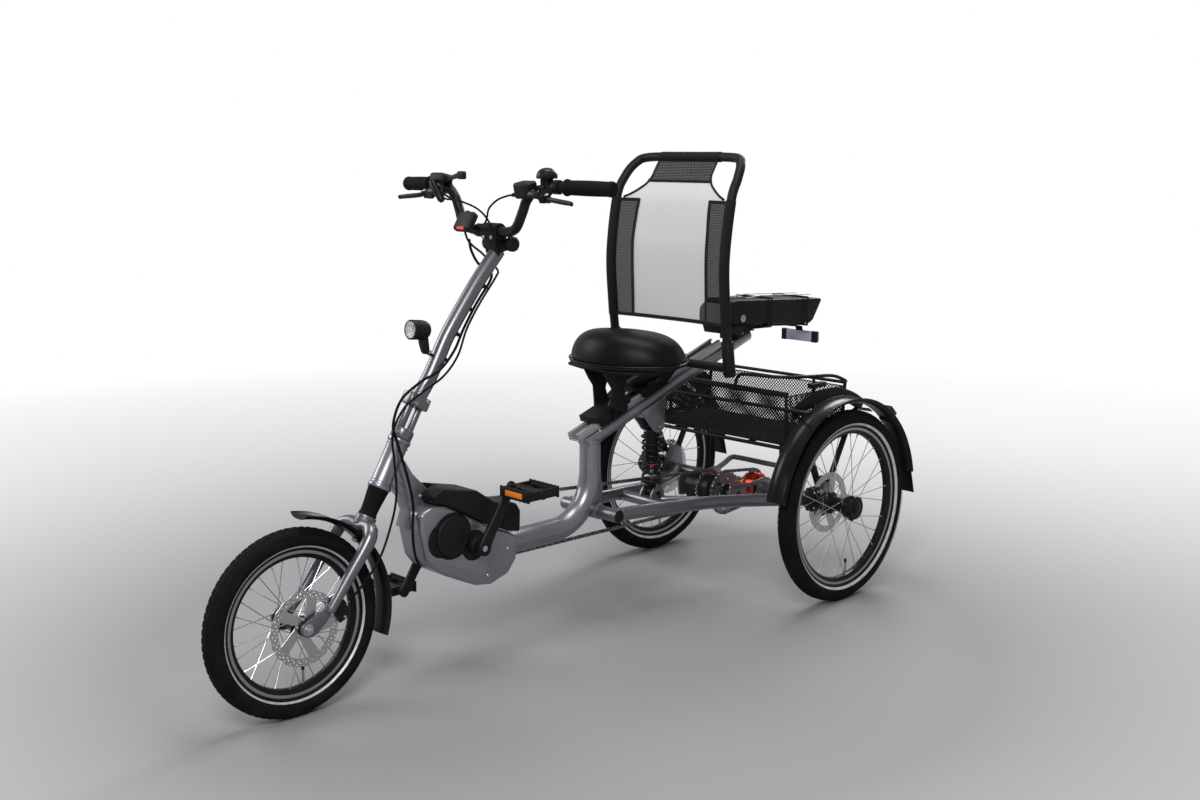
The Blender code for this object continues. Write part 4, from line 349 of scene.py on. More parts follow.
class Shape:
    """Closed solids gathered into one mesh. Each face has the number of its finish."""

    def __init__(self):
        self.points = []
        self.faces = []
        self.marks = []

    def add(self, points, faces, mark=0):
        first = len(self.points)
        self.points += [Vector(p) for p in points]
        self.faces += [[first + i for i in face] for face in faces]
        self.marks += [mark] * len(faces)
        return self

    def take(self, mesh, mark=0):
        return self.add([v.co for v in mesh.vertices], [tuple(p.vertices) for p in mesh.polygons], mark)

    def join(self, other):
        """Another shape with its own marks."""
        first = len(self.points)
        self.points += other.points
        self.faces += [[first + i for i in face] for face in other.faces]
        self.marks += other.marks
        return self

    def flipped(self):
        self.points = mirror_x(self.points)
        return self

    def both(self, other):
        """Another shape and its mirror image across x = 0."""
        return self.join(other).join(other.flipped())

    def loft(self, rings, mark=0, closed=False):
        """Skin between rings of equally many points, capped unless closed."""
        sides = len(rings[0])
        count = len(rings)
        faces = []
        for k in range(count if closed else count - 1):
            low = k * sides
            high = (k + 1) % count * sides
            for i in range(sides):
                j = (i + 1) % sides
                faces.append((low + i, low + j, high + j, high + i))
        if not closed:
            faces.append(tuple(range(sides)))
            faces.append(tuple(range((count - 1) * sides, count * sides)))
        return self.add([p for ring in rings for p in ring], faces, mark)

    def pipe(self, route, radius, sides=20, widths=None, closed=False, mark=0):
        """A round bar along the route. widths are factors on the radius."""
        rings = []
        side = None
        count = len(route)
        for k, point in enumerate(route):
            before = route[k - 1] if k or closed else route[0]
            after = route[(k + 1) % count] if k + 1 < count or closed else route[-1]
            along = (after - before).normalized()
            if side is None:
                side = along.orthogonal().normalized()
            side = (side - along * side.dot(along)).normalized()
            lift = along.cross(side)
            size = radius * (widths[k] if widths else 1.0)
            rings.append([point + side * (a * size) + lift * (b * size) for a, b in oval(1.0, 1.0, sides)])
        return self.loft(rings, mark, closed)

    def rod(self, a, b, radius, sides=24, mark=0):
        return self.pipe([Vector(a), Vector(b)], radius, sides, mark=mark)

    def across(self, centre, low, high, radius, sides=24, mark=0):
        """A rod along X, from low to high of the centre."""
        return self.rod(centre + X_AXIS * low, centre + X_AXIS * high, radius, sides, mark)

    def turned(self, profile, centre, axis=X_AXIS, segments=48, mark=0):
        """Spin a closed profile of (radius, distance along the axis)."""
        start = Z_AXIS if abs(axis.z) < 0.9 else X_AXIS
        out = (start - axis * start.dot(axis)).normalized()
        side = axis.cross(out)
        rings = []
        for angle in circle(segments):
            way = out * math.cos(angle) + side * math.sin(angle)
            rings.append([centre + way * r + axis * along for r, along in profile])
        return self.loft(rings, mark, closed=True)

    def sweep(self, path, section, across=X_AXIS, sizes=None, mark=0):
        """Loft a section of (side, lift) points along the path."""
        rings = []
        for k, point in enumerate(path):
            along = heading(path, k)
            side = (across - along * across.dot(along)).normalized()
            lift = along.cross(side)
            size = sizes[k] if sizes else 1.0
            rings.append([point + side * (a * size) + lift * (b * size) for a, b in section])
        return self.loft(rings, mark)

    def slab(self, outline, low, high, axis=0, mark=0):
        """Extrude an outline from low to high along an axis."""
        rings = []
        for level in (low, high):
            ring = []
            for point in outline:
                place = list(point)
                place.insert(axis, level)
                ring.append(Vector(place))
            rings.append(ring)
        return self.loft(rings, mark)

    def block(self, centre, size, turn=None, mark=0):
        half = Vector(size) / 2
        turn = turn or Matrix.Identity(4)
        rings = []
        for z in (-half.z, half.z):
            rings.append([Vector(centre) + turn @ Vector((x, y, z)) for x, y in ((-half.x, -half.y),
                (half.x, -half.y), (half.x, half.y), (-half.x, half.y))])
        return self.loft(rings, mark)

    def bolt(self, head, axis, radius, height, mark=0):
        """Domed screw head with a hexagon socket."""
        axis = axis.normalized()
        well = radius * 0.55
        return self.turned([(0, 0), (radius, 0), (radius, height * 0.55), (radius * 0.8, height),
            (well, height), (well, height * 0.4), (0, height * 0.4)], head, axis, 12, mark)

    def nut(self, head, axis, radius, height, mark=0):
        return self.turned([(0, 0), (radius, 0), (radius, height), (0, height)], head, axis.normalized(), 6,
            mark)

    def mesh(self, name, bevel=0.0, sharp=32.0):
        """The finished mesh, with its edges rounded by bevel metres."""
        mesh = plain_mesh(name, self.points, [], self.faces)
        mesh.polygons.foreach_set("material_index", self.marks)
        shape = bmesh.new()
        shape.from_mesh(mesh)
        clean(shape)
        shape.to_mesh(mesh)
        shape.free()
        if bevel:
            mesh = softened(mesh, bevel)
        return shaded(mesh, sharp)


def shaded(mesh, sharp=34.0):
    mesh.shade_smooth()
    mesh.set_sharp_from_angle(angle=math.radians(sharp))
    return mesh


def softened(mesh, width, steps=2):
    """Round a mesh's edges."""
    for _ in range(1 + max([0, *mesh_marks(mesh)]) - len(mesh.materials)):
        mesh.materials.append(None)
    rounded_off = modified(mesh, "BEVEL", width=width, segments=steps, limit_method="ANGLE",
        angle_limit=math.radians(34), use_clamp_overlap=True)
    return refinished(rounded_off, [])


def refinished(mesh, materials):
    """Give a mesh these materials, each face keeping its number."""
    marks = mesh_marks(mesh)
    mesh.materials.clear()
    for material in materials:
        mesh.materials.append(material)
    mesh.polygons.foreach_set("material_index", marks)
    return mesh


def mesh_marks(mesh):
    marks = [0] * len(mesh.polygons)
    mesh.polygons.foreach_get("material_index", marks)
    return marks


def carved(base, cutters):
    """A boolean difference of one mesh and several."""
    group = bpy.data.collections.new("cutters")
    bpy.context.scene.collection.children.link(group)
    helpers = [bpy.data.objects.new("cutter", cutter) for cutter in cutters]
    for helper in helpers:
        group.objects.link(helper)
    target = bpy.data.objects.new("carved", base)
    modifier = target.modifiers.new("cut", "BOOLEAN")
    modifier.operation = "DIFFERENCE"
    modifier.solver = "EXACT"
    modifier.operand_type = "COLLECTION"
    modifier.collection = group
    mesh = evaluated(target)
    for helper in helpers:
        bpy.data.objects.remove(helper, do_unlink=True)
    bpy.data.collections.remove(group)
    return mesh


def plate(outline, holes, thickness, centre):
    """A flat plate across X with holes. Outline and holes are lists of (y, z) from its centre."""
    curve = bpy.data.curves.new("plate", "CURVE")
    curve.dimensions = "2D"
    curve.fill_mode = "BOTH"
    curve.extrude = thickness / 2
    for ring in (outline, *holes):
        spline = curve.splines.new("POLY")
        spline.points.add(len(ring) - 1)
        spline.use_cyclic_u = True
        for point, (y, z) in zip(spline.points, ring):
            point.co = (y, z, 0.0, 1.0)
    mesh = evaluated(bpy.data.objects.new("plate", curve))
    upright = Matrix(((0, 0, 1, 0), (1, 0, 0, 0), (0, 1, 0, 0), (0, 0, 0, 1)))
    mesh.transform(Matrix.Translation(centre) @ upright)
    return mesh


def ring_points(radius, count, centre=(0.0, 0.0)):
    turns = [polar(radius, angle) for angle in circle(count)]
    return [(centre[0] + a, centre[1] + b) for a, b in turns]


def toothed(teeth):
    """A sprocket's outline with rounded teeth, from root to reach about its pitch circle."""
    reach = 0.0015
    root = 0.0036
    steps = 4
    radius = CHAIN_PITCH / (2 * math.sin(math.pi / teeth))
    outline = []
    for tooth in range(teeth):
        for step in range(steps * 2):
            share = step / (steps * 2)
            lift = (0.5 - 0.5 * math.cos(math.tau * share)) ** 1.4
            angle = math.tau * (tooth + share) / teeth
            outline.append(polar(radius - root + (root + reach) * lift, angle))
    return outline


def put(name, mesh, body, finishes, nodes=()):
    """Add a finished mesh as a piece, which may stand for CAD nodes. It rides on one body; where body is a
    tuple of two bodies and a point on each, its transform is only baked in and it rides on neither."""
    mesh.name = name
    refinished(mesh, [finish(item) for item in finishes])
    made = linked(name, mesh)
    if isinstance(body, str):
        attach(made, body)
    else:
        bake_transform(made)
    if nodes:
        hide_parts(*nodes)
    return made


def piece(name, shape, body, finishes, nodes=(), bevel=0.0, sharp=32.0):
    return put(name, shape.mesh(name, bevel, sharp), body, finishes, nodes)


def eased(node, finishes, bevel=0.0006, extra=None):
    """A copy of a CAD node with its flats cleaned and its edges rounded, and extra solids on it."""
    source = frame["nodes"][node]
    mesh = source.data.copy()
    mesh.transform(source.matrix_world)
    shape = bmesh.new()
    shape.from_mesh(mesh)
    bmesh.ops.remove_doubles(shape, verts=shape.verts, dist=0.000005)
    bmesh.ops.dissolve_limit(shape, angle_limit=math.radians(0.6), verts=shape.verts, edges=shape.edges)
    bmesh.ops.recalc_face_normals(shape, faces=shape.faces)
    for face in shape.faces:
        face.material_index = 0
    shape.to_mesh(mesh)
    shape.free()
    mesh.materials.clear()
    if bevel:
        mesh = softened(mesh, bevel)
    whole = Shape().take(mesh)
    if extra:
        whole.join(extra)
    return piece(node + "_fine", whole, source["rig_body"], finishes, [node], sharp=34.0)


class Signal:
    """A node's output that Python's operators work on."""

    def __init__(self, network, socket):
        self.network = network
        self.socket = socket

    def math(self, operation, *others):
        sockets = dict(enumerate((self, *others)))
        return self.network.node("ShaderNodeMath", sockets, operation=operation)

    def flipped(self, operation, other):
        return self.network.node("ShaderNodeMath", {0: other, 1: self}, operation=operation)

    def __add__(self, other):
        return self.math("ADD", other)

    def __sub__(self, other):
        return self.math("SUBTRACT", other)

    def __rsub__(self, other):
        return self.flipped("SUBTRACT", other)

    def __mul__(self, other):
        return self.math("MULTIPLY", other)

    def __truediv__(self, other):
        return self.math("DIVIDE", other)

    def __mod__(self, other):
        return self.math("FLOORED_MODULO", other)

    def __gt__(self, other):
        return self.math("GREATER_THAN", other)

    def __lt__(self, other):
        return self.math("LESS_THAN", other)

    def __abs__(self):
        return self.math("ABSOLUTE")

    __radd__ = __add__
    __rmul__ = __mul__


def set_stops(ramp, stops):
    """Grey levels of a colour ramp, as pairs of (place, level)."""
    while len(ramp.elements) < len(stops):
        ramp.elements.new(1.0)
    for element, (place, value) in zip(ramp.elements, stops):
        element.position = place
        element.color = (value, value, value, 1.0)


class Network:
    """A node tree written as calls: a node's kind, the values or links of its sockets, its settings."""

    def __init__(self, tree):
        self.tree = tree

    def node(self, kind, sockets=None, output=0, **settings):
        made = self.tree.nodes.new(kind)
        for key, value in settings.items():
            if key == "stops":
                set_stops(made.color_ramp, value)
            else:
                setattr(made, key, value)
        for key, value in (sockets or {}).items():
            if isinstance(value, Signal):
                self.tree.links.new(value.socket, made.inputs[key])
            else:
                made.inputs[key].default_value = value
        return Signal(self, made.outputs[output])


class Finish(Network):
    """A material: constants stand on the shader's own sockets and patterns are linked to it."""

    def __init__(self, name, constants):
        self.material = bpy.data.materials.new("fine_" + name)
        self.material.use_nodes = True
        super().__init__(self.material.node_tree)
        self.shader = self.tree.nodes["Principled BSDF"]
        for key, value in constants.items():
            self.shader.inputs[key].default_value = value

    def place(self, scale=(1.0, 1.0, 1.0)):
        where = self.node("ShaderNodeTexCoord", output="Object")
        if scale == (1.0, 1.0, 1.0):
            return where
        return self.node("ShaderNodeMapping", {"Vector": where, "Scale": scale})

    def part(self, axis):
        return self.node("ShaderNodeSeparateXYZ", {0: self.place()}, axis)

    def noise(self, scale, detail=2.0, stretch=(1.0, 1.0, 1.0)):
        return self.node("ShaderNodeTexNoise", {"Vector": self.place(stretch), "Scale": scale,
            "Detail": detail})

    def cells(self, scale, feature="F1", randomness=1.0):
        return self.node("ShaderNodeTexVoronoi", {"Vector": self.place(), "Scale": scale,
            "Randomness": randomness}, feature=feature)

    def ramp(self, signal, stops):
        return self.node("ShaderNodeValToRGB", {0: signal}, stops=stops)

    def blend(self, factor, first, second):
        sockets = {0: factor, 6: as_colour(first), 7: as_colour(second)}
        return self.node("ShaderNodeMix", sockets, 2, data_type="RGBA", clamp_factor=True)

    def tones(self, factor, tint, low, high):
        return self.blend(factor, shade(tint, low), shade(tint, high))

    def feed(self, socket, signal):
        self.tree.links.new(signal.socket, self.shader.inputs[socket])
        return self

    def relief(self, height, distance, strength=1.0):
        bump = self.node("ShaderNodeBump", {"Height": height, "Distance": distance, "Strength": strength})
        return self.feed("Normal", bump)


def as_colour(value):
    if isinstance(value, Signal):
        return value
    return (value[0], value[1], value[2], 1.0)


def shade(value, factor):
    return tuple(min(1.0, channel * factor) for channel in value)


def dusted(look, base, amount=0.1):
    """Fine dust that gathers towards the ground."""
    dust = (0.3, 0.27, 0.24)
    height = look.part(2)
    low = (1.0 - height / 0.45).math("MAXIMUM", 0.0)
    patch = look.ramp(look.noise(22.0, 5.0), ((0.42, 0.0), (0.7, 1.0)))
    return look.blend(patch * low * amount, base, dust)


def satin_paint(name, tint):
    """Metallic paint under a thin satin lacquer, with fine flake and an uneven skin."""
    look = Finish(name, {"Coat Weight": 0.3, "Coat Roughness": 0.14, "Coat IOR": 1.4})
    flake = look.cells(3400.0)
    cloud = look.noise(7.0, 3.0)
    tone = look.tones(flake * 0.55 + cloud * 0.35, tint, 0.78, 1.3)
    look.feed("Base Color", dusted(look, tone))
    look.feed("Roughness", 0.27 + cloud * 0.1)
    look.feed("Metallic", 0.8 - flake * 0.1)
    return look.relief(look.noise(520.0, 2.0), 0.00004, 0.25)


def powder_coat(name, tint, roughness=0.42):
    """Powder coat on steel: a fine pebbled skin."""
    look = Finish(name, {"Specular IOR Level": 0.16})
    cloud = look.noise(11.0, 4.0)
    look.feed("Base Color", dusted(look, look.tones(cloud, tint, 0.7, 1.6), amount=0.02))
    look.feed("Roughness", roughness + cloud * 0.14)
    return look.relief(look.noise(1500.0, 2.0), 0.0001, 0.5)


def black_alloy(name, tint):
    """Black anodised alloy with a trace of the brush under it."""
    look = Finish(name, {"Specular IOR Level": 0.16})
    grain = look.noise(900.0, 3.0, (0.15, 1.0, 1.0))
    cloud = look.noise(14.0, 3.0)
    look.feed("Base Color", look.tones(cloud, tint, 1.0, 2.0))
    look.feed("Metallic", 0.15 + cloud * 0.1)
    look.feed("Roughness", 0.28 + grain * 0.16)
    return look.relief(grain, 0.00006, 0.35)


def moulded_plastic(name, tint, roughness=0.46):
    """Injection-moulded plastic with a spark-eroded grain."""
    look = Finish(name, {"Specular IOR Level": 0.16})
    grain = look.cells(1900.0)
    cloud = look.noise(13.0, 4.0)
    look.feed("Base Color", dusted(look, look.tones(cloud, tint, 0.8, 1.5), amount=0.02))
    look.feed("Roughness", roughness + cloud * 0.16 - grain * 0.05)
    return look.relief(grain, 0.00009, 0.45)


def rubber(name, tint, dust):
    look = Finish(name, {"Specular IOR Level": 0.07})
    cloud = look.noise(17.0, 5.0)
    look.feed("Base Color", dusted(look, look.tones(cloud, tint, 0.9, 2.0), amount=dust))
    look.feed("Roughness", 0.66 + cloud * 0.2)
    return look.relief(look.noise(1100.0, 3.0), 0.00014, 0.6)


def metal(name, tint, rough, stretch, relief=0.00005):
    """Bare metal with a brush that runs one way and darker patches."""
    look = Finish(name, {"Metallic": 1.0})
    grain = look.noise(1000.0, 4.0, stretch)
    cloud = look.noise(16.0, 4.0)
    look.feed("Base Color", look.tones(cloud * 0.6 + grain * 0.4, tint, 0.74, 1.12))
    look.feed("Roughness", rough + grain * 0.14 + cloud * 0.06)
    return look.relief(grain, relief, 0.5)


def oiled_steel(name):
    """Rolled steel with dark lubricant in the gaps."""
    look = Finish(name, {})
    grease = look.ramp(look.noise(160.0, 4.0), ((0.38, 0.0), (0.62, 1.0)))
    look.feed("Base Color", look.blend(grease, (0.03, 0.028, 0.027), (0.28, 0.27, 0.265)))
    look.feed("Metallic", 0.55 + grease * 0.4)
    look.feed("Roughness", 0.48 - grease * 0.16)
    return look.relief(look.noise(1400.0, 2.0), 0.00005, 0.5)


def anodised(name, tint):
    look = Finish(name, {"Coat Weight": 0.25, "Coat Roughness": 0.12})
    grain = look.noise(1200.0, 3.0, (6.0, 1.0, 1.0))
    look.feed("Base Color", look.tones(grain, tint, 0.75, 1.15))
    look.feed("Metallic", 0.82 + grain * 0.1)
    look.feed("Roughness", 0.2 + grain * 0.14)
    return look.relief(grain, 0.00004, 0.4)


def grained_cover(name, tint):
    """Coated cover with a leather grain, soft creases and a sheen where it is sat on."""
    look = Finish(name, {"Specular IOR Level": 0.1})
    grain = look.cells(620.0, "DISTANCE_TO_EDGE")
    crease = look.noise(38.0, 5.0)
    worn = look.noise(6.0, 3.0)
    look.feed("Base Color", look.tones(worn, tint, 0.8, 1.9))
    look.feed("Roughness", 0.36 - worn * 0.14 + grain * 0.08)
    return look.relief(grain.math("MINIMUM", 0.25) * 1.6 + crease * 1.2, 0.00045, 0.45)


def net_cloth(name, tint, pitch, hole):
    """Spacer net of the backrest: round eyes in staggered rows between crossing threads."""
    look = Finish(name, {"Specular IOR Level": 0.12})
    across = look.part(0) / pitch
    up = look.part(2) / (pitch * 0.75)
    odd = up.math("FLOOR") % 2.0
    u = (across + odd * 0.5) % 1.0 - 0.5
    v = up % 1.0 - 0.5
    reach = (u * u + v * v * 0.62).math("SQRT")
    eye = look.node("ShaderNodeMapRange", {0: reach, 1: 0.26, 2: 0.34, 3: 1.0, 4: 0.0},
        interpolation_type="SMOOTHSTEP")
    thread = (across * 4.0 + up * 4.0).math("SINE") * 0.5 + 0.5
    fuzz = look.noise(900.0, 3.0)
    look.feed("Base Color", look.tones(thread * 0.6 + fuzz * 0.4, tint, 0.62, 1.18))
    look.feed("Roughness", 0.74 + fuzz * 0.16)
    look.feed("Alpha", 1.0 - eye * hole)
    return look.relief(thread * 0.5 - eye, 0.0005, 0.6)


def woven_tape(name):
    """Binding tape: a ribbed weave across its run."""
    look = Finish(name, {"Specular IOR Level": 0.15})
    rib = (look.part(2) * 5200.0).math("SINE") * (look.part(0) * 5200.0).math("SINE") * 0.5 + 0.5
    fuzz = look.noise(700.0, 4.0)
    look.feed("Base Color", look.blend(rib * 0.5 + fuzz * 0.5, (0.004, 0.004, 0.0045),
        (0.014, 0.014, 0.015)))
    look.feed("Roughness", 0.72 + fuzz * 0.16)
    return look.relief(rib, 0.0002, 0.5)


def clear_lens(name, tint, rough, fluting):
    """Clear moulding with vertical flutes inside it."""
    look = Finish(name, {"Transmission Weight": 0.92, "IOR": 1.49})
    wave = (look.part(0) * 2600.0).math("SINE") * 0.5 + 0.5
    haze = look.noise(60.0, 4.0)
    look.feed("Base Color", look.blend(haze, shade(tint, 0.92), tint))
    look.feed("Roughness", rough + haze * 0.05)
    return look.relief(wave * fluting + haze * 0.1, 0.0004, 0.5)


def prismatic(name, tint):
    """Reflector moulding: small corner prisms under a glossy skin."""
    look = Finish(name, {"Coat Weight": 0.8, "Coat Roughness": 0.04})
    prism = look.cells(420.0, "F1", 0.0)
    look.feed("Base Color", look.tones(prism, tint, 0.55, 1.25))
    look.feed("Roughness", 0.16 + prism * 0.2)
    return look.relief(prism, 0.0006, 0.8)


def dark_glass(name):
    look = Finish(name, {"Coat Weight": 1.0, "Coat Roughness": 0.03})
    smear = look.noise(40.0, 5.0)
    look.feed("Base Color", look.blend(smear, (0.006, 0.007, 0.01), (0.02, 0.023, 0.03)))
    look.feed("Roughness", 0.1 + smear * 0.12)
    return look.relief(smear, 0.00003, 0.2)


def reflective_band(name):
    """Retro-reflective ring moulded on the tyre's side: pale, with fine beads."""
    look = Finish(name, {"Coat Weight": 0.3, "Coat Roughness": 0.2})
    bead = look.cells(2600.0)
    scuff = look.ramp(look.noise(55.0, 5.0), ((0.35, 0.0), (0.65, 1.0)))
    look.feed("Base Color", look.blend(bead * 0.5 + scuff * 0.5, (0.4, 0.4, 0.41), (0.78, 0.78, 0.79)))
    look.feed("Metallic", 0.35 + scuff * 0.15)
    look.feed("Roughness", 0.34 + bead * 0.15)
    return look.relief(bead, 0.00006, 0.5)


FINISHES = {
    "grey_paint": (satin_paint, "frame_paint"),
    "dark_grey_paint": (satin_paint, "dark_paint"),
    "black_steel": (powder_coat, "black"),
    "black_alloy": (black_alloy, "black"),
    "rim_black": (powder_coat, "black", 0.26),
    "black_plastic": (moulded_plastic, "black"),
    "gloss_plastic": (moulded_plastic, "black", 0.22),
    "grey_plastic": (moulded_plastic, (0.24, 0.24, 0.26)),
    "red_plastic": (moulded_plastic, (0.5, 0.02, 0.02), 0.3),
    "rubber": (rubber, (0.0045, 0.0044, 0.0048), 0.02),
    "tyre_rubber": (rubber, (0.005, 0.0046, 0.005), 0.03),
    "brushed": (metal, (0.46, 0.46, 0.48), 0.28, (1.0, 0.06, 1.0)),
    "bright_steel": (metal, (0.52, 0.52, 0.53), 0.24, (1.0, 1.0, 1.0), 0.00002),
    "satin_alloy": (metal, (0.38, 0.38, 0.4), 0.34, (1.0, 1.0, 1.0)),
    "chain_steel": (oiled_steel,),
    "red_anodised": (anodised, "anodised"),
    "saddle_cover": (grained_cover, "saddle"),
    "pale_net": (net_cloth, "pale_net", 0.0026, 0.16),
    "dark_net": (net_cloth, "dark_net", 0.0052, 0.55),
    "woven_tape": (woven_tape,),
    "clear_lens": (clear_lens, (0.96, 0.97, 1.0), 0.03, 0.6),
    "lamp_plate": (prismatic, (0.42, 0.46, 0.62)),
    "pale_lamp": (prismatic, (0.8, 0.8, 0.74)),
    "grey_cloth": (moulded_plastic, (0.045, 0.045, 0.05), 0.7),
    "thread": (rubber, (0.045, 0.045, 0.048), 0.0),
    "amber": (prismatic, "amber"),
    "tail_red": (prismatic, "tail_red"),
    "display_glass": (dark_glass,),
    "reflective_band": (reflective_band,),
}


def finish(name):
    """The material of a finish, made when it is first asked for. A tint may be named after its property."""
    made = bpy.data.materials.get("fine_" + name)
    if made:
        return made
    maker, *values = FINISHES[name]
    given = [tuple(getattr(colours(), value)) if isinstance(value, str) else value for value in values]
    return maker(name, *given).material


class Graph(Network):
    """A geometry node tree that starts from a template mesh and ends in plain, coloured copies."""

    def __init__(self, name, **inputs):
        super().__init__(bpy.data.node_groups.new(name, "GeometryNodeTree"))
        face = self.tree.interface
        for label, kind in {"Template": "Geometry", **inputs, "Finish": "Material"}.items():
            face.new_socket(name=label, in_out="INPUT", socket_type="NodeSocket" + kind)
        face.new_socket(name="Copies", in_out="OUTPUT", socket_type="NodeSocketGeometry")
        self.start = self.tree.nodes.new("NodeGroupInput")
        self.last = self.tree.nodes.new("NodeGroupOutput")

    def given(self, label):
        return Signal(self, self.start.outputs[label])

    def end(self, copies):
        plain = self.node("GeometryNodeRealizeInstances", {"Geometry": copies})
        coloured = self.node("GeometryNodeSetMaterial",
            {"Geometry": plain, "Material": self.given("Finish")})
        self.tree.links.new(coloured.socket, self.last.inputs[0])
        return self.tree


def ring_tree():
    """Copies of the template turned in equal steps round an axis along X through Centre."""
    graph = Graph("ring_tree", Count="Int", Start="Float", Centre="Vector")
    points = graph.node("GeometryNodePoints", {"Count": graph.given("Count")})
    index = graph.node("GeometryNodeInputIndex")
    turn = index * math.tau / graph.given("Count") + graph.given("Start")
    spin = graph.node("ShaderNodeCombineXYZ", {0: turn})
    copies = graph.node("GeometryNodeInstanceOnPoints", {"Points": points,
        "Instance": graph.given("Template"), "Rotation": spin})
    moved = graph.node("GeometryNodeTransform", {"Geometry": copies, "Translation": graph.given("Centre")})
    return graph.end(moved)


def path_tree():
    """Copies along a path. Every Step-th point from Phase takes one, with its Y axis along the path."""
    graph = Graph("path_tree", Path="Object", Count="Int", Step="Int", Phase="Int")
    path = graph.node("GeometryNodeObjectInfo", {"Object": graph.given("Path")}, "Geometry")
    curve = graph.node("GeometryNodeMeshToCurve", {"Mesh": path})
    points = graph.node("GeometryNodeCurveToPoints", {"Curve": curve, "Count": graph.given("Count")},
        mode="COUNT")
    tangent = Signal(graph, points.socket.node.outputs["Tangent"])
    turn = graph.node("FunctionNodeAlignRotationToVector", {"Vector": tangent}, axis="Y")
    index = graph.node("GeometryNodeInputIndex")
    wanted = abs(index % graph.given("Step") - graph.given("Phase")) < 0.5
    copies = graph.node("GeometryNodeInstanceOnPoints", {"Points": points, "Selection": wanted,
        "Instance": graph.given("Template"), "Rotation": turn})
    return graph.end(copies)


def wire_tree():
    """Round wire along every edge of the template."""
    graph = Graph("wire_tree", Wire="Float", Sides="Int")
    curve = graph.node("GeometryNodeMeshToCurve", {"Mesh": graph.given("Template")})
    section = graph.node("GeometryNodeCurvePrimitiveCircle", {"Radius": graph.given("Wire"),
        "Resolution": graph.given("Sides")})
    wires = graph.node("GeometryNodeCurveToMesh", {"Curve": curve, "Profile Curve": section,
        "Fill Caps": True})
    return graph.end(wires)


def coil_tree():
    """A coil of round wire that rises along Z from Foot."""
    graph = Graph("coil_tree", Turns="Float", Radius="Float", Height="Float", Wire="Float", Foot="Vector")
    spiral = graph.node("GeometryNodeCurveSpiral", {"Resolution": 40, "Rotations": graph.given("Turns"),
        "Start Radius": graph.given("Radius"), "End Radius": graph.given("Radius"),
        "Height": graph.given("Height")})
    section = graph.node("GeometryNodeCurvePrimitiveCircle",
        {"Radius": graph.given("Wire"), "Resolution": 14})
    wire = graph.node("GeometryNodeCurveToMesh", {"Curve": spiral, "Profile Curve": section,
        "Fill Caps": True})
    moved = graph.node("GeometryNodeTransform", {"Geometry": wire, "Translation": graph.given("Foot")})
    return graph.end(moved)


def grown(name, template, maker, values, look):
    """Run a geometry node tree on a template mesh and return the plain mesh that it makes."""
    tree = bpy.data.node_groups.get(maker.__name__) or maker()
    made = bpy.data.objects.new(name, template)
    modifier = made.modifiers.new("copies", "NODES")
    modifier.node_group = tree
    named = {item.name: item.identifier for item in tree.interface.items_tree if item.in_out == "INPUT"}
    for label, value in {**values, "Finish": finish(look)}.items():
        modifier[named[label]] = value
    mesh = evaluated(made)
    shape = bmesh.new()
    shape.from_mesh(mesh)
    bmesh.ops.recalc_face_normals(shape, faces=shape.faces)
    shape.to_mesh(mesh)
    shape.free()
    return shaded(mesh)


def ring(name, template, count, centre, look, body, start, slot):
    """Copies of a template round an axis along X, as one piece."""
    mesh = grown(name, template, ring_tree, {"Count": count, "Start": start, "Centre": tuple(centre)}, look)
    return put(name, mesh, body, [look])


def along_path(name, template, route, count, look, step=1, phase=0, closed=False):
    """Copies of a template along a route of points, as a plain mesh."""
    links = [(i, i + 1) for i in range(len(route) - 1)]
    if closed:
        links.append((len(route) - 1, 0))
    guide = linked("route", plain_mesh("route", route, links, []))
    values = {"Path": guide, "Count": count, "Step": step, "Phase": phase}
    mesh = grown(name, template, path_tree, values, look)
    bpy.data.objects.remove(guide, do_unlink=True)
    return mesh


def bead(shape, route, radius, closed=True, mark=0):
    """A weld bead with small overlapping ripples."""
    widths = [1.0 if k % 2 else 0.78 for k in range(len(route))]
    return shape.pipe(route, radius, 8, widths, closed, mark)


def round_bead(shape, centre, axis, radius, size, steps=56):
    axis = axis.normalized()
    out = axis.orthogonal().normalized()
    side = axis.cross(out)
    route = [centre + (out * math.cos(a) + side * math.sin(a)) * radius for a in circle(steps)]
    return bead(shape, route, size)


def drive_lobes(grow=0.0, reach=0.0):
    """The three drums of the motor, from side to side."""
    low = MOTOR_RIGHT - reach
    high = MOTOR_LEFT + reach
    meshes = []
    for centre, radius, set_in in ((DRUM, 0.052, 0.0), (SMALL_DRUM, 0.038, 0.0021),
            (CRANK_AXIS, 0.034, 0.0012)):
        lobe = Shape().across(centre, low + set_in, high - set_in, radius + grow, 56)
        meshes.append(lobe.mesh("lobe"))
    return meshes


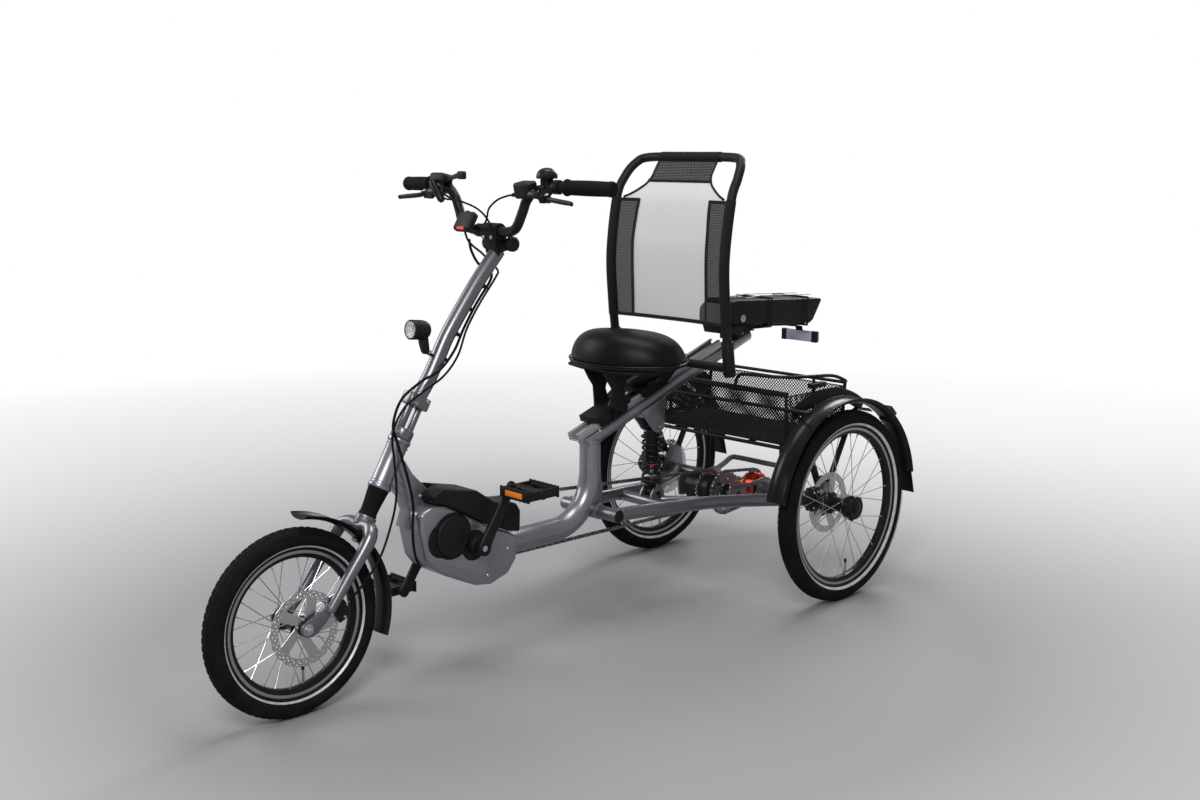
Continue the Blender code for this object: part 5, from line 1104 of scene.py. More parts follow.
def build_frame_tubes():
    shape = Shape()
    bend = arc(at(0, -40, 375), 0.12, -90, 0, 22)
    spine = [at(0, -235, 255), *bend, at(0, 80, 440), at(0, 80, 462)]
    shape.pipe(spine, 0.028, 44, [1.0] * (len(spine) - 3) + [0.95, 0.92, 0.89])
    shape.turned([(0.0176, HEAD_LOW), (0.0258, HEAD_LOW), (0.0258, HEAD_LOW + 0.008),
        (0.023, HEAD_LOW + 0.01), (0.023, HEAD_HIGH - 0.01), (0.0258, HEAD_HIGH - 0.008),
        (0.0258, HEAD_HIGH), (0.0176, HEAD_HIGH)], STEER_FOOT, STEER_AXIS, 52)
    shape.slab(mm((-500, 505), (-485.5, 498.5), (-467.4, 467.8), (-414.9, 414.1), (-400, 385), (-420, 350),
        (-470, 340), (-489.7, 350), (-477.9, 385), (-490.1, 418.5), (-520.5, 450.3), (-530, 465)), -0.019,
        0.019)
    shape.rod(on_rail(0.058), on_rail(0.665), 0.019, 40)
    shape.across(SWING_PIVOT, -0.032, 0.032, 0.019, 36)
    shape.slab(mm((45, 272), (85, 268), (103, 280), (106, 305), (112, 345), (104, 358), (80, 358),
        (40, 305)), -0.015, 0.015)
    shape.both(Shape().slab(mm((240, 510), (325, 540), (322, 458), (300, 447), (281, 455), (262, 480)),
        0.018, 0.023))
    shape.slab(mm((244, 508), (322, 535), (321, 512), (248, 492)), -0.019, 0.019)
    piece("frame_tubes", shape, "frame", ["grey_paint"], ["main_frame"], bevel=0.0014)
    casting = Shape().slab(mm((-477.9, 385), (-479, 345), (-466, 282), (-448, 258), (-413, 234),
        (-329, 194), (-285.5, 187), (-235, 202), (-210, 233), (-205, 285), (-235, 302), (-290, 325),
        (-410, 393), (-440, 400)), -0.0265, 0.061)
    eased_casting = softened(casting.mesh("casting"), 0.009, 4)
    opened = carved(eased_casting, drive_lobes(0.001, 0.006))
    put("drive_casting", shaded(softened(opened, 0.001)), "frame", ["grey_paint"])
    beads = Shape()
    round_bead(beads, at(0, -210.5, 255), Y_AXIS, 0.0288, 0.0026)
    round_bead(beads, on_rail(0.104), RAIL_ALONG, 0.0196, 0.0022)
    for height in (0.3, 0.384):
        round_bead(beads, on_steering(height, 0, -0.001), STEER_AXIS, 0.0236, 0.0012)
    gusset = smooth(mm((19.2, -515, 470), (19.2, -503.5, 456), (19.2, -487, 433), (19.2, -476, 406)), 7)
    bead(beads, mirror_x(gusset), 0.002, False)
    bead(beads, gusset, 0.002, False)
    piece("weld_beads", beads, "frame", ["grey_paint"])
    bolts = Shape()
    for side in (-1, 1):
        for y, z in mm((-448, 415), (-432, 395), (-238, 262), (-298, 212)):
            bolts.bolt(Vector((side * (0.0188 if y < -0.43 and z > 0.39 else 0.0605 if side > 0
                else 0.0262), y, z)), X_AXIS * side, 0.0048, 0.0038)
        bolts.nut(SHOCK_TOP + X_AXIS * side * 0.0232, X_AXIS * side, 0.0062, 0.0048)
        bolts.bolt(on_rail(0.6, side * 0.0186, 0.003), X_AXIS * side, 0.004, 0.0024)
    piece("frame_bolts", bolts, "frame", ["bright_steel"], bevel=0.0003)


def build_drive_unit():
    shape = Shape()
    for lobe in drive_lobes():
        shape.take(lobe)
    shape.turned(mm((0, -6.3), (45.2, -6.3), (45.2, 6), (44, 7.6), (41.8, 8.8), (34.5, 9), (33.8, 8.2),
        (32.6, 8.2), (31.9, 9.2), (0, 9.6)), DRUM + X_AXIS * MOTOR_LEFT, X_AXIS, 72)
    shape.turned(mm((0, -10), (18.5, -10), (18.5, 16.5), (17.2, 18), (12.2, 18), (12.2, 14), (0, 14)),
        CRANK_AXIS + X_AXIS * MOTOR_LEFT, X_AXIS, 48)
    piece("drive_unit", shape, "frame", ["black_plastic"], ["motor_body"], bevel=0.0007)
    screw = Shape().bolt(at(0, 0, 49.5), X_AXIS, 0.003, 0.0026).mesh("screw", 0.0003)
    ring("drive_screws", screw, 8, DRUM + X_AXIS * 0.0598, "black_alloy", "frame", 0.35, "steel")
    outline = mm((-414.5, 396), (-442, 401.5), (-450, 421), (-417.5, 434), (-323.5, 413), (-275, 379),
        (-210, 364), (-199, 345), (-201, 295), (-236, 303.5), (-290, 326.5))
    lid = softened(Shape().slab(outline, -0.026, 0.064).mesh("lid"), 0.006, 4)
    cutters = drive_lobes(0.0016, 0.0016)
    cutters.append(Shape().block(at(0, -440, 390), at(39.2, 80, 120)).mesh("slot"))
    for place, radius, sides in ((DRUM, 0.0545, 64), (CRANK_AXIS, 0.0365, 56)):
        cutters.append(Shape().across(place, 0.05, 0.08, radius, sides).mesh("hole"))
    put("drive_cover", shaded(softened(carved(lid, cutters), 0.0008)), "frame", ["black_plastic"],
        ["motor_cover"])


def build_battery():
    def base(y):
        return 0.7026 - (y - 0.573) * 0.06944

    shape = Shape()
    outline = [(0.537, base(0.537) + 0.012), (0.549, base(0.549)), (0.874, base(0.874)), (0.889, 0.69),
        (0.926, 0.743), (0.92, 0.748), (0.56, 0.768), (0.545, 0.764), (0.537, 0.75)]
    shape.slab(outline, -0.055, 0.055)
    mesh = softened(shape.mesh("shell"), 0.0085, 5)
    whole = Shape().take(mesh)
    for side in (-1, 1):
        whole.sweep([Vector((side * 0.0552, y, 0.733 - (y - 0.573) * 0.062)) for y in (0.56, 0.7, 0.86)],
            rounded(0.0016, 0.0022, 0.0005), X_AXIS, mark=1)
    whole.turned(mm((0, 0), (9.8, 0), (9.8, 1.6), (7, 2.2), (7, 1), (0, 1)), at(54.8, 585, 719), X_AXIS, 32,
        2)
    whole.block(at(56, 585, 719), at(0.8, 1.2, 7), mark=1)
    whole.slab(mm((600, 766.4), (640, 764.2), (640, 765.2), (600, 767.6)), -0.016, 0.016, mark=1)
    piece("battery_shell", whole, "battery", ["black_plastic", "gloss_plastic", "bright_steel"],
        ["battery_pack"])
    rack = Shape()
    low = 0.0075
    rack.slab([(0.56, base(0.56) - 0.0003), (0.56, base(0.56) - low), (0.88, base(0.88) - low),
        (0.88, base(0.88) - 0.0003)], -0.034, 0.034)
    rack.slab([(0.535, base(0.535) - 0.002), (0.545, base(0.545) - 0.026), (0.59, base(0.59) - 0.03),
        (0.61, base(0.61) - 0.004)], -0.044, 0.044)
    rack.slab(mm((590, 690), (592, 658), (660, 682), (690, 684), (690, 690)), -0.03, 0.03)
    for y in (0.696, 0.853):
        z = base(y) - 0.004
        top = 0.772 - (y - 0.56) * 0.0555
        half = [Vector((0.02, y, z)), Vector((0.05, y, z)), Vector((0.058, y, z + 0.0008)),
            Vector((0.0612, y, z + 0.006)), Vector((0.0614, y, top - 0.007)),
            Vector((0.0585, y, top - 0.0012)), Vector((0.052, y, top)), Vector((0.0, y, top))]
        rack.pipe(smooth(half, 4) + smooth(mirror_x(half), 4)[::-1][1:], 0.0029, 14)
    rack.both(Shape().rod(at(60.6, 695.5, 689), at(20, 670, 683), 0.0028, 12))
    for side in (-1, 1):
        rail = [Vector((side * 0.026, y, 0.7768 - (y - 0.56) * 0.0555)) for y in (0.63, 0.69, 0.85, 0.912)]
        rail[0].z -= 0.006
        rack.sweep(rail, rounded(0.006, 0.0022, 0.0008, 2), mark=1)
    piece("battery_carrier", rack, "frame", ["black_steel", "satin_alloy"], ["battery_rack"],
        bevel=0.0008)
    fixings = Shape()
    for side in (-1, 1):
        for y in (0.61, 0.655):
            fixings.bolt(Vector((side * 0.03, y, 0.6755 + (y - 0.61) * 0.12)), X_AXIS * side, 0.0042,
                0.0034)
    piece("carrier_bolts", fixings, "frame", ["bright_steel"])


def build_rear_lamp():
    shape = Shape()
    lens = softened(Shape().block(at(0, 908.5, 640), at(118, 9, 28)).mesh("lens"), 0.0022, 3)
    case = softened(Shape().block(at(0, 900.5, 640), at(120, 9, 30)).mesh("case"), 0.002, 3)
    shape.take(lens, 1)
    shape.take(case, 1)
    shape.block(at(52.5, 900.3, 640), at(16, 10.2, 31.2))
    shape.block(at(-52.5, 900.3, 640), at(16, 10.2, 31.2))
    shape.sweep(mm((0, 900, 650), (0, 895, 666.5), (0, 850, 672.1)), rounded(0.024, 0.003, 0.0012))
    piece("rear_lamp", shape, "frame", ["black_plastic", "lamp_plate"], ["rear_light"])


def build_steering_column():
    shape = Shape()
    shape.turned(mm((13, 254.5), (16.5, 254.5), (16.5, 409.4), (13, 409.4)), STEER_FOOT, STEER_AXIS, 40)
    shape.turned(mm((0, 400.9), (24, 400.9), (24, 421), (22.2, 423.4), (0, 423.4)), STEER_FOOT, STEER_AXIS,
        44)
    shape.rod(on_steering(0.4174, 0, 0.0125), on_steering(0.492, 0, 0.0125), 0.0095, 28)
    shape.rod(on_steering(0.4174, 0, -0.0145), on_steering(0.492, 0, -0.0145), 0.008, 28)
    shape.sweep([on_steering(0.476), on_steering(0.502)],
        [(p, q - 0.001) for p, q in rounded(0.04, 0.058, 0.01, 5)])
    line = [on_steering(0.488), at(0, -406.5, 663.9), at(0, -383.7, 701), at(0, -352.2, 755.2),
        at(0, -300.5, 823.6), at(0, -256.8, 877.1), at(0, -204, 934)]
    shape.pipe(smooth(line, 6), 0.0172, 40)
    shape.block(at(0, -211, 956), at(40, 34, 50), tilt(12), mark=1)
    shape.turned(mm((11.6, -26), (18.5, -26), (18.5, 26), (11.6, 26)), at(0, -218, 978), X_AXIS, 44, 1)
    shape.rod(at(-36, -196, 950), at(36, -196, 950), 0.0065, 20, 1)
    for y, z in mm((-251.5, 860), (-292.3, 812), (-329.9, 760), (-364, 707)):
        shape.block((0.0, y + 0.003, z - 0.0026), at(22, 13, 6), tilt(-39), mark=1)
    piece("steering_mast", shape, "steering", ["dark_grey_paint", "black_plastic"], ["stem"],
        bevel=0.0012)
    knobs = Shape()
    for side in (-1, 1):
        place = Vector((side * 0.04, -0.196, 0.95))
        rim = [(0.0172 if k % 2 else 0.0158) for k in range(36)]
        rings = []
        for along, factor in ((-0.009, 0.8), (-0.0065, 1.0), (0.006, 1.0), (0.009, 0.72)):
            rings.append([place + Vector((side * along, math.cos(math.tau * k / 36) * r * factor,
                math.sin(math.tau * k / 36) * r * factor)) for k, r in enumerate(rim)])
        knobs.loft(rings)
    piece("mast_knobs", knobs, "steering", ["black_plastic"], bevel=0.0003)
    bolts = Shape()
    for side in (-1, 1):
        bolts.bolt(Vector((side * 0.013, -0.2335, 0.9655)), Vector((0, -1, -0.35)), 0.0044, 0.004)
        bolts.bolt(on_steering(0.482, side * 0.02, 0.012), X_AXIS * side, 0.0042, 0.003)
        bolts.bolt(on_steering(0.496, side * 0.02, -0.014), X_AXIS * side, 0.0042, 0.003)
    bolts.bolt(on_steering(0.4115, 0.012, 0.0205), X_AXIS * 0.4 + STEER_AHEAD, 0.0042, 0.0034)
    piece("mast_bolts", bolts, "steering", ["bright_steel"])


def bar_route():
    half = [at(0, -217.2, 978), at(26, -218, 978), at(60, -221, 979), at(91, -227, 990),
        at(110, -225, 1024), at(125, -224, 1052), at(155, -221, 1070), GRIP_INNER,
        GRIP_OUTER - X_AXIS * 0.004]
    fine = smooth(half, 8)
    return mirror_x(fine[1:])[::-1] + fine


def build_handlebar():
    piece("bar", Shape().pipe(bar_route(), 0.011, 28), "steering", ["black_alloy"], ["handlebar"],
        bevel=0.0008)
    along = (GRIP_OUTER - GRIP_INNER).normalized()
    length = (GRIP_OUTER - GRIP_INNER).length
    ribs = sizes().grip_ribs
    profile = mm((11.4, 2), (18, 2), (18.4, 4), (17.6, 7.5), (15.8, 10))
    span = (length - 0.024) / ribs
    for k in range(ribs):
        start = 0.012 + k * span
        swell = 0.0156 + 0.0008 * math.sin(math.pi * (k + 0.5) / ribs)
        profile += [(swell - 0.0008, start), (swell, start + span * 0.22), (swell, start + span * 0.7),
            (swell - 0.0008, start + span * 0.9)]
    profile += [(0.0165, length - 0.01), (0.0168, length - 0.004), (0.015, length), (0.0, length),
        (0.0, length - 0.003), (0.0114, length - 0.003)]
    for side, name in SIDES:
        shape = Shape().turned(profile, GRIP_INNER, along, 40)
        if side < 0:
            shape.flipped()
        piece("grip_sleeve_" + name, shape, "steering", ["rubber"], ["grip_" + name], sharp=50)


def build_bar_controls():
    for side, name in SIDES:
        extra = Shape()
        extra.bolt(at(166, -245, 1071.2), Z_AXIS, 0.0022, 0.0012, mark=1)
        extra.bolt(at(184, -245, 1070.2), Z_AXIS, 0.0022, 0.0012, mark=1)
        extra.turned(mm((0, 0), (5, 0), (5, 6), (3.6, 10), (0, 10)), at(159, -245, 1063), -X_AXIS, 12, 1)
        extra.bolt(LEVER_PIVOT + LEVER_AXIS * 0.0088, LEVER_AXIS, 0.0042, 0.0022, mark=1)
        blade = Shape()
        blade.rod(LEVER_PIVOT - LEVER_AXIS * 0.005, LEVER_PIVOT + LEVER_AXIS * 0.005, 0.0065, 28)
        route = smooth([LEVER_PIVOT, at(228, -247.5, 1053), at(260, -251, 1050), at(290, -253, 1047.5),
            at(298.6, -256, 1046)], 8)
        last = len(route) - 1
        widths = [1.0 + 0.12 * math.sin(math.pi * min(1.0, k / last * 1.2)) if k < last - 2
            else (0.96, 0.84, 0.45)[k - last + 2] for k in range(last + 1)]
        blade.sweep(route, oval(0.0052, 0.0042, 18), LEVER_AXIS, widths)
        if side < 0:
            extra.pipe(mm((174, -253, 1086), (169, -253, 1080), (140, -253, 1046), (136, -253, 1041.2)),
                0.0086, 24, [0.72, 1.0, 1.0, 0.66])
            extra.flipped()
            blade.flipped()
        eased("brake_perch_" + name, ["black_alloy", "bright_steel"], 0.0008, extra)
        piece("lever_blade_" + name, blade, "brake_lever_" + name, ["black_alloy"], ["brake_lever_" + name],
            sharp=50)
    pods = Shape()
    pods.block(at(-162, -234.5, 1102.4), at(34, 20, 1.2), tilt(-12), mark=1)
    pods.bolt(at(-180, -227, 1101), Z_AXIS, 0.0024, 0.0012, mark=2)
    eased("shifter", ["black_plastic", "gloss_plastic", "bright_steel"], 0.0012, pods)
    eased("shift_lever", ["black_plastic"], 0.001)
    gong = Shape()
    gong.turned(mm((0, -2), (22.2, -2), (23, 0.5), (23, 3), (22.2, 7.2), (19.8, 12.6), (15, 17),
        (8.8, 19.8), (3, 20.9), (0, 21)), BELL_CENTRE, Z_AXIS, 56)
    gong.turned(mm((0, 0), (12.5, 0), (14, 6), (14, 18), (0, 18)), at(179, -216.5, 1080), Z_AXIS, 32, 1)
    gong.turned(mm((11.2, -4.5), (15, -4.5), (15, 4.5), (11.2, 4.5)), at(179, -217, 1072.6), X_AXIS, 36, 1)
    piece("bell_gong", gong, "steering", ["gloss_plastic", "black_plastic"], ["bell"],
        sharp=50)
    eased("bell_lever", ["black_plastic"], 0.0005)
    face = tilt(12)
    middle = at(133, -236, 1072)
    out = face @ Y_AXIS
    pad = Shape()
    pad.block(middle + face @ at(-15, 17.2, 6), at(5, 2.2, 10), face, mark=1)
    pad.turned(mm((7.2, -0.6), (8.8, -0.6), (8.8, 1.8), (8, 2.6), (7.2, 2.6)),
        middle + face @ at(0, 17.2, 6), out, 40, 1)
    pad.block(middle + face @ at(0, -17, 0), at(30, 1.2, 20), face)
    pad.pipe(mm((112, -245, 1062), (104, -250, 1060)), 0.0052, 16, [1.0, 0.7])
    eased("control_pad", ["black_plastic", "grey_plastic"], 0.0012, pad)
    eased("control_button", ["grey_plastic"], 0.0006)
    turn = tilt(-32)
    centre = at(-36, -266, 999)
    screen = Shape()
    screen.block(centre + turn @ at(0, 9.2, 2), at(44, 0.8, 34), turn, mark=1)
    screen.block(centre + turn @ at(4, -7.8, -20.5), at(23, 5, 6), turn, mark=2)
    screen.block(centre + turn @ at(0, -4.5, 23.2), at(12, 8, 1.4), turn, mark=2)
    eased("display", ["black_plastic", "display_glass", "red_plastic"], 0.0016, screen)


def build_headlight():
    forward = Vector((0.0, -0.995, 0.1)).normalized()
    front = at(0, -451, 778)
    shape = Shape()
    profile = mm((0, 8), (12, 6.2), (17.8, 2.2), (18.6, 0), (20.8, 0), (21.5, 1.2), (21.5, 13),
        (20.8, 13.6), (20.8, 15), (21.4, 15.6), (21.3, 30), (19.8, 38), (16.8, 44), (11, 47.4), (0, 48))
    shape.turned(profile, front, -forward, 60)
    shape.turned(mm((0, 7), (10, 5.8), (17, 2.6), (17.6, 1.2), (15, 1.4), (8, 4), (0, 5.2)), front,
        -forward, 60, 1)
    shape.turned(mm((0, 3), (3.5, 3), (3.5, 6), (0, 6)), front, -forward, 20, 2)
    neck = mm((0, -419, 770), (0, -417, 756), (0, -415, 743), (0, -412, 728.5), (0, -410.5, 723.5))
    shape.sweep(neck, rounded(0.019, 0.019, 0.005, 5), sizes=[1.0, 1.0, 0.97, 0.86, 0.62])
    shape.sweep(mm((0, -416, 729), (0, -403, 721.5), (0, -385, 713)), rounded(0.012, 0.006, 0.0018))
    shape.rod(at(-11, -406, 726.2), at(11, -406, 726.2), 0.0036, 16, 1)
    piece("headlamp", shape, "steering", ["black_plastic", "bright_steel", "pale_lamp"], ["headlight"],
        sharp=28)
    lens = Shape().turned(mm((0, -1.2), (11, -0.6), (18, 0.6), (18, 1.6), (11, 0.4), (0, 0)), front,
        -forward, 60)
    piece("headlamp_lens", lens, "steering", ["clear_lens"], sharp=60)


def route_length(route):
    return sum((b - a).length for a, b in zip(route, route[1:]))


def build_hoses():
    to_fork = ("steering", "fork", (0.0, -0.54, 0.4), (0.0, -0.6, 0.3))
    to_frame = ("steering", "frame", (0.0, -0.51, 0.64), (0.0, -0.49, 0.44))
    cords = [("brake_hose", HOSE_ROUTE, 0.0025, ["front_brake_hose"], to_fork),
        ("display_lead", LEAD_ROUTE, 0.003, ["drive_lead"], to_frame),
        ("shift_cable", SHIFT_ROUTE, 0.0022, [], "steering"),
        ("switch_lead", PAD_ROUTE, 0.0022, [], "steering")]
    for name, points, radius, nodes, body in cords:
        route = smooth(points, 8)
        made = piece(name, Shape().pipe(route, radius, 14), body, ["rubber"], nodes, sharp=60)
        route_length(route)
        2 * radius


def build_fork():
    shape = Shape()
    shape.rod(on_steering(0.195), on_steering(0.335), 0.012, 32, mark=1)
    shape.turned(mm((0, 198), (21, 198), (22.5, 200), (22.5, 219.5), (21.2, 221.5), (0, 221.5)), STEER_FOOT,
        STEER_AXIS, 44)
    leg_route = smooth(mm((-4, -592, 370), (30, -594, 375.5), (52, -603, 369), (60, -618.4, 348.3),
        (60, -670, 282.5), (60, -715, 224.5)), 7)
    last = len(leg_route) - 1
    widths = [1.0 - 0.34 * max(0.0, (k / last - 0.55) / 0.45) for k in range(last + 1)]
    leg = Shape().pipe(leg_route, 0.015, 32, widths)
    shape.both(leg)
    dropout = Shape().slab(smooth_loop(mm((-705, 245), (-700, 230), (-745, 188), (-766, 184), (-780, 193),
        (-780, 208), (-766, 217), (-740, 228))), 0.054, 0.061)
    shape.both(dropout)
    shape.across(FRONT_AXLE, -0.07, 0.07, 0.0048, 24, mark=2)
    for side in (-1, 1):
        shape.nut(FRONT_AXLE + X_AXIS * side * 0.0612, X_AXIS * side, 0.0095, 0.006, mark=2)
        shape.turned(mm((5, 0), (12, 0), (12, 1.2), (5, 1.2)), FRONT_AXLE + X_AXIS * side * 0.0605,
            X_AXIS * side, 32, 2)
    piece("fork_legs", shape, "fork", ["dark_grey_paint", "bright_steel", "bright_steel"], ["fork"],
        bevel=0.001)
    crown_bolt = Shape().bolt(at(0, -608, 366), Vector((0, -1, -0.25)), 0.0055, 0.005)
    piece("crown_bolt", crown_bolt, "fork", ["bright_steel"])
    low = 0.2218
    high = HEAD_LOW - 0.0003
    inner = 0.0172
    foot = mm((19.6, 0), (20.2, 1.6), (20, 4.2), (18.6, 6.4), (18.4, 12), (19, 22), (20.2, 36), (21.6, 48))
    head = mm((22.2, -6.4), (22.9, -5.6), (23.1, -3), (22.6, 0))
    skin = [(inner, low), *((r, low + along) for r, along in foot),
        *((r, high + along) for r, along in head), (inner, high)]
    shape = Shape().turned(skin, STEER_FOOT, STEER_AXIS, 56)
    folded = ("fork", "steering", on_steering(low + 0.004), on_steering(high - 0.002))
    piece("rubber_boot", shape, folded, ["rubber"], ["fork_boot"], sharp=45)
    eased_bolts = Shape()
    for y, z in mm((-693.5, 242), (-676.5, 206)):
        eased_bolts.bolt(Vector((0.0568, y, z)), X_AXIS, 0.0038, 0.003, mark=1)
    eased("front_caliper", ["black_alloy", "bright_steel"], 0.0014, eased_bolts)


def smooth_loop(pairs, steps=4):
    """A closed smooth outline through (a, b) pairs."""
    count = len(pairs)
    outline = []
    for k in range(count):
        near = [Vector((0.0, *pairs[(k + shift) % count])) for shift in (-1, 0, 1, 2)]
        points = [spline_point(*near, step / steps) for step in range(steps)]
        outline += [(p.y, p.z) for p in points]
    return outline


def crown_section(half, drop, thick):
    """A fender's cross-section: a domed skin with rolled rims."""
    top = []
    for k in range(17):
        share = -1 + 2 * k / 16
        top.append((half * share, -drop * abs(share) ** 3.2))
    under = [(x * 0.955, z - thick) for x, z in reversed(top)]
    return top + under


def build_front_fender():
    shape = Shape()
    shape.sweep(arc(FRONT_AXLE, 0.2172, 84, -19, 60), crown_section(0.03, 0.0095, 0.0016))
    shape.block(FRONT_AXLE + at(0, 164, 146.8), at(18, 10, 16), tilt(-42))
    piece("front_mudguard", shape, "fork", ["gloss_plastic"], ["front_fender"], sharp=40)


def tyre_profile(radius, seat):
    """Half the tyre's outline from bead to crown as (radius, x), then mirrored."""
    crown = radius - 0.0235
    half = [(seat + 0.0055, 0.0118), (seat + 0.009, 0.0162), (seat + 0.015, 0.0205),
        (crown - 0.0035, 0.0232), (crown + 0.002, 0.0235), (crown + 0.0085, 0.0221),
        (crown + 0.0145, 0.019), (radius - 0.005, 0.015), (radius - 0.0028, 0.01), (radius - 0.0016, 0.005),
        (radius - 0.0012, 0.0)]
    curve = [(p.z, p.y) for p in smooth([Vector((0.0, x, r)) for r, x in half], 3)]
    return curve + [(r, -x) for r, x in reversed(curve[:-1])]


def band_profile(radius, seat, side):
    """A thin ring on the tyre's wall that follows its curve."""
    outline = [(r, x) for r, x in tyre_profile(radius, seat) if x * side > 0 and seat + 0.0085 < r < seat
        + 0.015]
    outline.sort()
    outer = [(r, x + side * 0.0006) for r, x in outline]
    inner = [(r, x - side * 0.001) for r, x in outline]
    return outer + inner[::-1]


def build_tyre(name, centre, radius, seat, body, node):
    shape = Shape()
    profile = tyre_profile(radius, seat)
    shape.turned(profile, centre, X_AXIS, 120)
    for side in (-1, 1):
        shape.turned(band_profile(radius, seat, side), centre, X_AXIS, 120, 1)
        shape.turned([(radius - 0.0112, side * 0.0214), (radius - 0.01, side * 0.022),
            (radius - 0.009, side * 0.0206)], centre, X_AXIS, 120)
    piece(name, shape, body, ["tyre_rubber", "reflective_band"], [node], sharp=50)
    count = round(sizes().tread_blocks * radius / REAR_TYRE)
    step = math.tau / count * radius
    block = Shape()
    for x, skew, wide, drop in ((0.0052, 0.28, 0.0074, 0.0002), (-0.0052, -0.28, 0.0074, 0.0002),
            (0.0142, -0.35, 0.006, 0.0035), (-0.0142, 0.35, 0.006, 0.0035)):
        rings = []
        for level, grow in ((radius - drop - 0.0035, 1.0), (radius - drop - 0.0002, 0.86)):
            ring_of = []
            for a, b in ((-1, -1), (1, -1), (1, 1), (-1, 1)):
                along = b * step * 0.36 * grow + a * wide * 0.5 * skew
                lean = 0.0019 * (abs(x) > 0.01)
                ring_of.append(Vector((x + a * wide * 0.5 * grow, along,
                    level - lean * a * (1 if x > 0 else -1))))
            rings.append(ring_of)
        block.loft(rings)
    ring(name + "_tread", block.mesh("tread", 0.0), count, centre, "tyre_rubber", body, 0.0, "tyre_rubber")


def laced_spokes(seat, flanges, flange_radius, groups, radius):
    """Four spokes of a wheel about an X axis through the origin, two from each flange."""
    shape = Shape()
    step = math.tau / (groups * 4)
    for index in range(4):
        side = index % 2
        lead = 1 if index < 2 else -1
        rim_angle = step * (index + 0.5)
        hub_angle = rim_angle + lead * math.radians(52)
        hub_x = flanges[side] + lead * 0.0022
        inner = Vector((hub_x, math.sin(hub_angle) * -(flange_radius - 0.002),
            math.cos(hub_angle) * (flange_radius - 0.002)))
        reach = seat - 0.013
        outer = Vector((side * 0.006 - 0.003 + lead * 0.0012, math.sin(rim_angle) * -reach,
            math.cos(rim_angle) * reach))
        shape.rod(inner, outer, radius, 8)
        way = (outer - inner).normalized()
        shape.rod(outer - way * 0.008, outer + way * 0.003, 0.0019, 8)
        shape.across(inner, -0.0012, 0.0012, 0.0021, 8)
    return shape.mesh("spokes", 0.0)


def brake_disc(x_centre):
    """Disc with a drilled ring and leaning arms, as one perforated plate."""
    outline = [polar(ROTOR_RADIUS - 0.0014 * math.sin(angle * 10) ** 2, angle) for angle in circle(120)]
    holes = []
    for angle in circle(30):
        for radius, shift, size in ((0.0755, 0.0, 0.0019), (0.0705, 0.1, 0.0022), (0.0665, 0.02, 0.0016)):
            holes.append(ring_points(size, 10, centre=polar(radius, angle + shift)))
    for start in circle(5):
        window = [polar(0.0625, start + 0.2 + 0.86 * share / 8) for share in range(9)]
        holes.append(window + [polar(0.0245, start + 0.47 - 0.32 * share / 4) for share in range(5)])
    holes.append(ring_points(0.0165, 32))
    return plate(outline, holes, 0.0018, x_centre)


def build_wheel(name, centre, radius, seat, hub, flanges, flange_radius, rotor_x, body, rim_node, tyre_node,
        inner_way, extras):
    build_tyre(name + "_tyre", centre, radius, seat, body, tyre_node)
    rim = Shape()
    skin = mm((-13.5, -7), (-14.5, -4.5), (-14.5, 4.5), (-13.5, 7), (-6, 11.8), (4, 12.6), (6.6, 13.8),
        (6.6, 10.8), (1, 10), (1, -10), (6.6, -10.8), (6.6, -13.8), (4, -12.6), (-6, -11.8))
    rim.turned([(seat + r, x) for r, x in skin], centre, X_AXIS, 120)
    track = mm((-4, 11.8), (2.2, 12.2), (2.2, 13.1), (-4, 12.6))
    for side in (-1, 1):
        rim.turned([(seat + r, side * x) for r, x in track], centre, X_AXIS, 120, 1)
    valve = centre + Vector((0, 0.02, -seat))
    rim.rod(valve + Z_AXIS * 0.013, valve + Z_AXIS * 0.048, 0.0026, 12, 1)
    rim.rod(valve + Z_AXIS * 0.046, valve + Z_AXIS * 0.056, 0.0036, 12, 2)
    rim.turned(hub, centre, X_AXIS, 48, 3)
    if extras:
        rim.take(extras.mesh("extras", 0.0005), 3)
    piece(name + "_rim", rim, body, ["rim_black", "satin_alloy", "black_plastic", "black_alloy"],
        [rim_node], bevel=0.0, sharp=34)
    groups = sizes().spoke_groups
    spokes = laced_spokes(seat, flanges, flange_radius, groups, sizes().spoke_radius)
    ring(name + "_spokes", spokes, groups, centre, "bright_steel", body, 0.0, "steel")
    disc = Shape().take(brake_disc(centre + X_AXIS * rotor_x))
    disc.turned(mm((10, -1.1), (21.5, -1.1), (21.5, 1.1), (10, 1.1)),
        centre + X_AXIS * (rotor_x - inner_way * 0.0016), X_AXIS, 40, 1)
    piece(name + "_disc", disc, body, ["bright_steel", "black_alloy"], sharp=30)
    screw = Shape().bolt(Vector((inner_way * 0.0012, 0.0, 0.0195)), X_AXIS * inner_way, 0.0034, 0.0022)
    ring(name + "_disc_bolts", screw.mesh("screw"), 6, centre + X_AXIS * rotor_x, "bright_steel", body, 0.2,
        "steel")


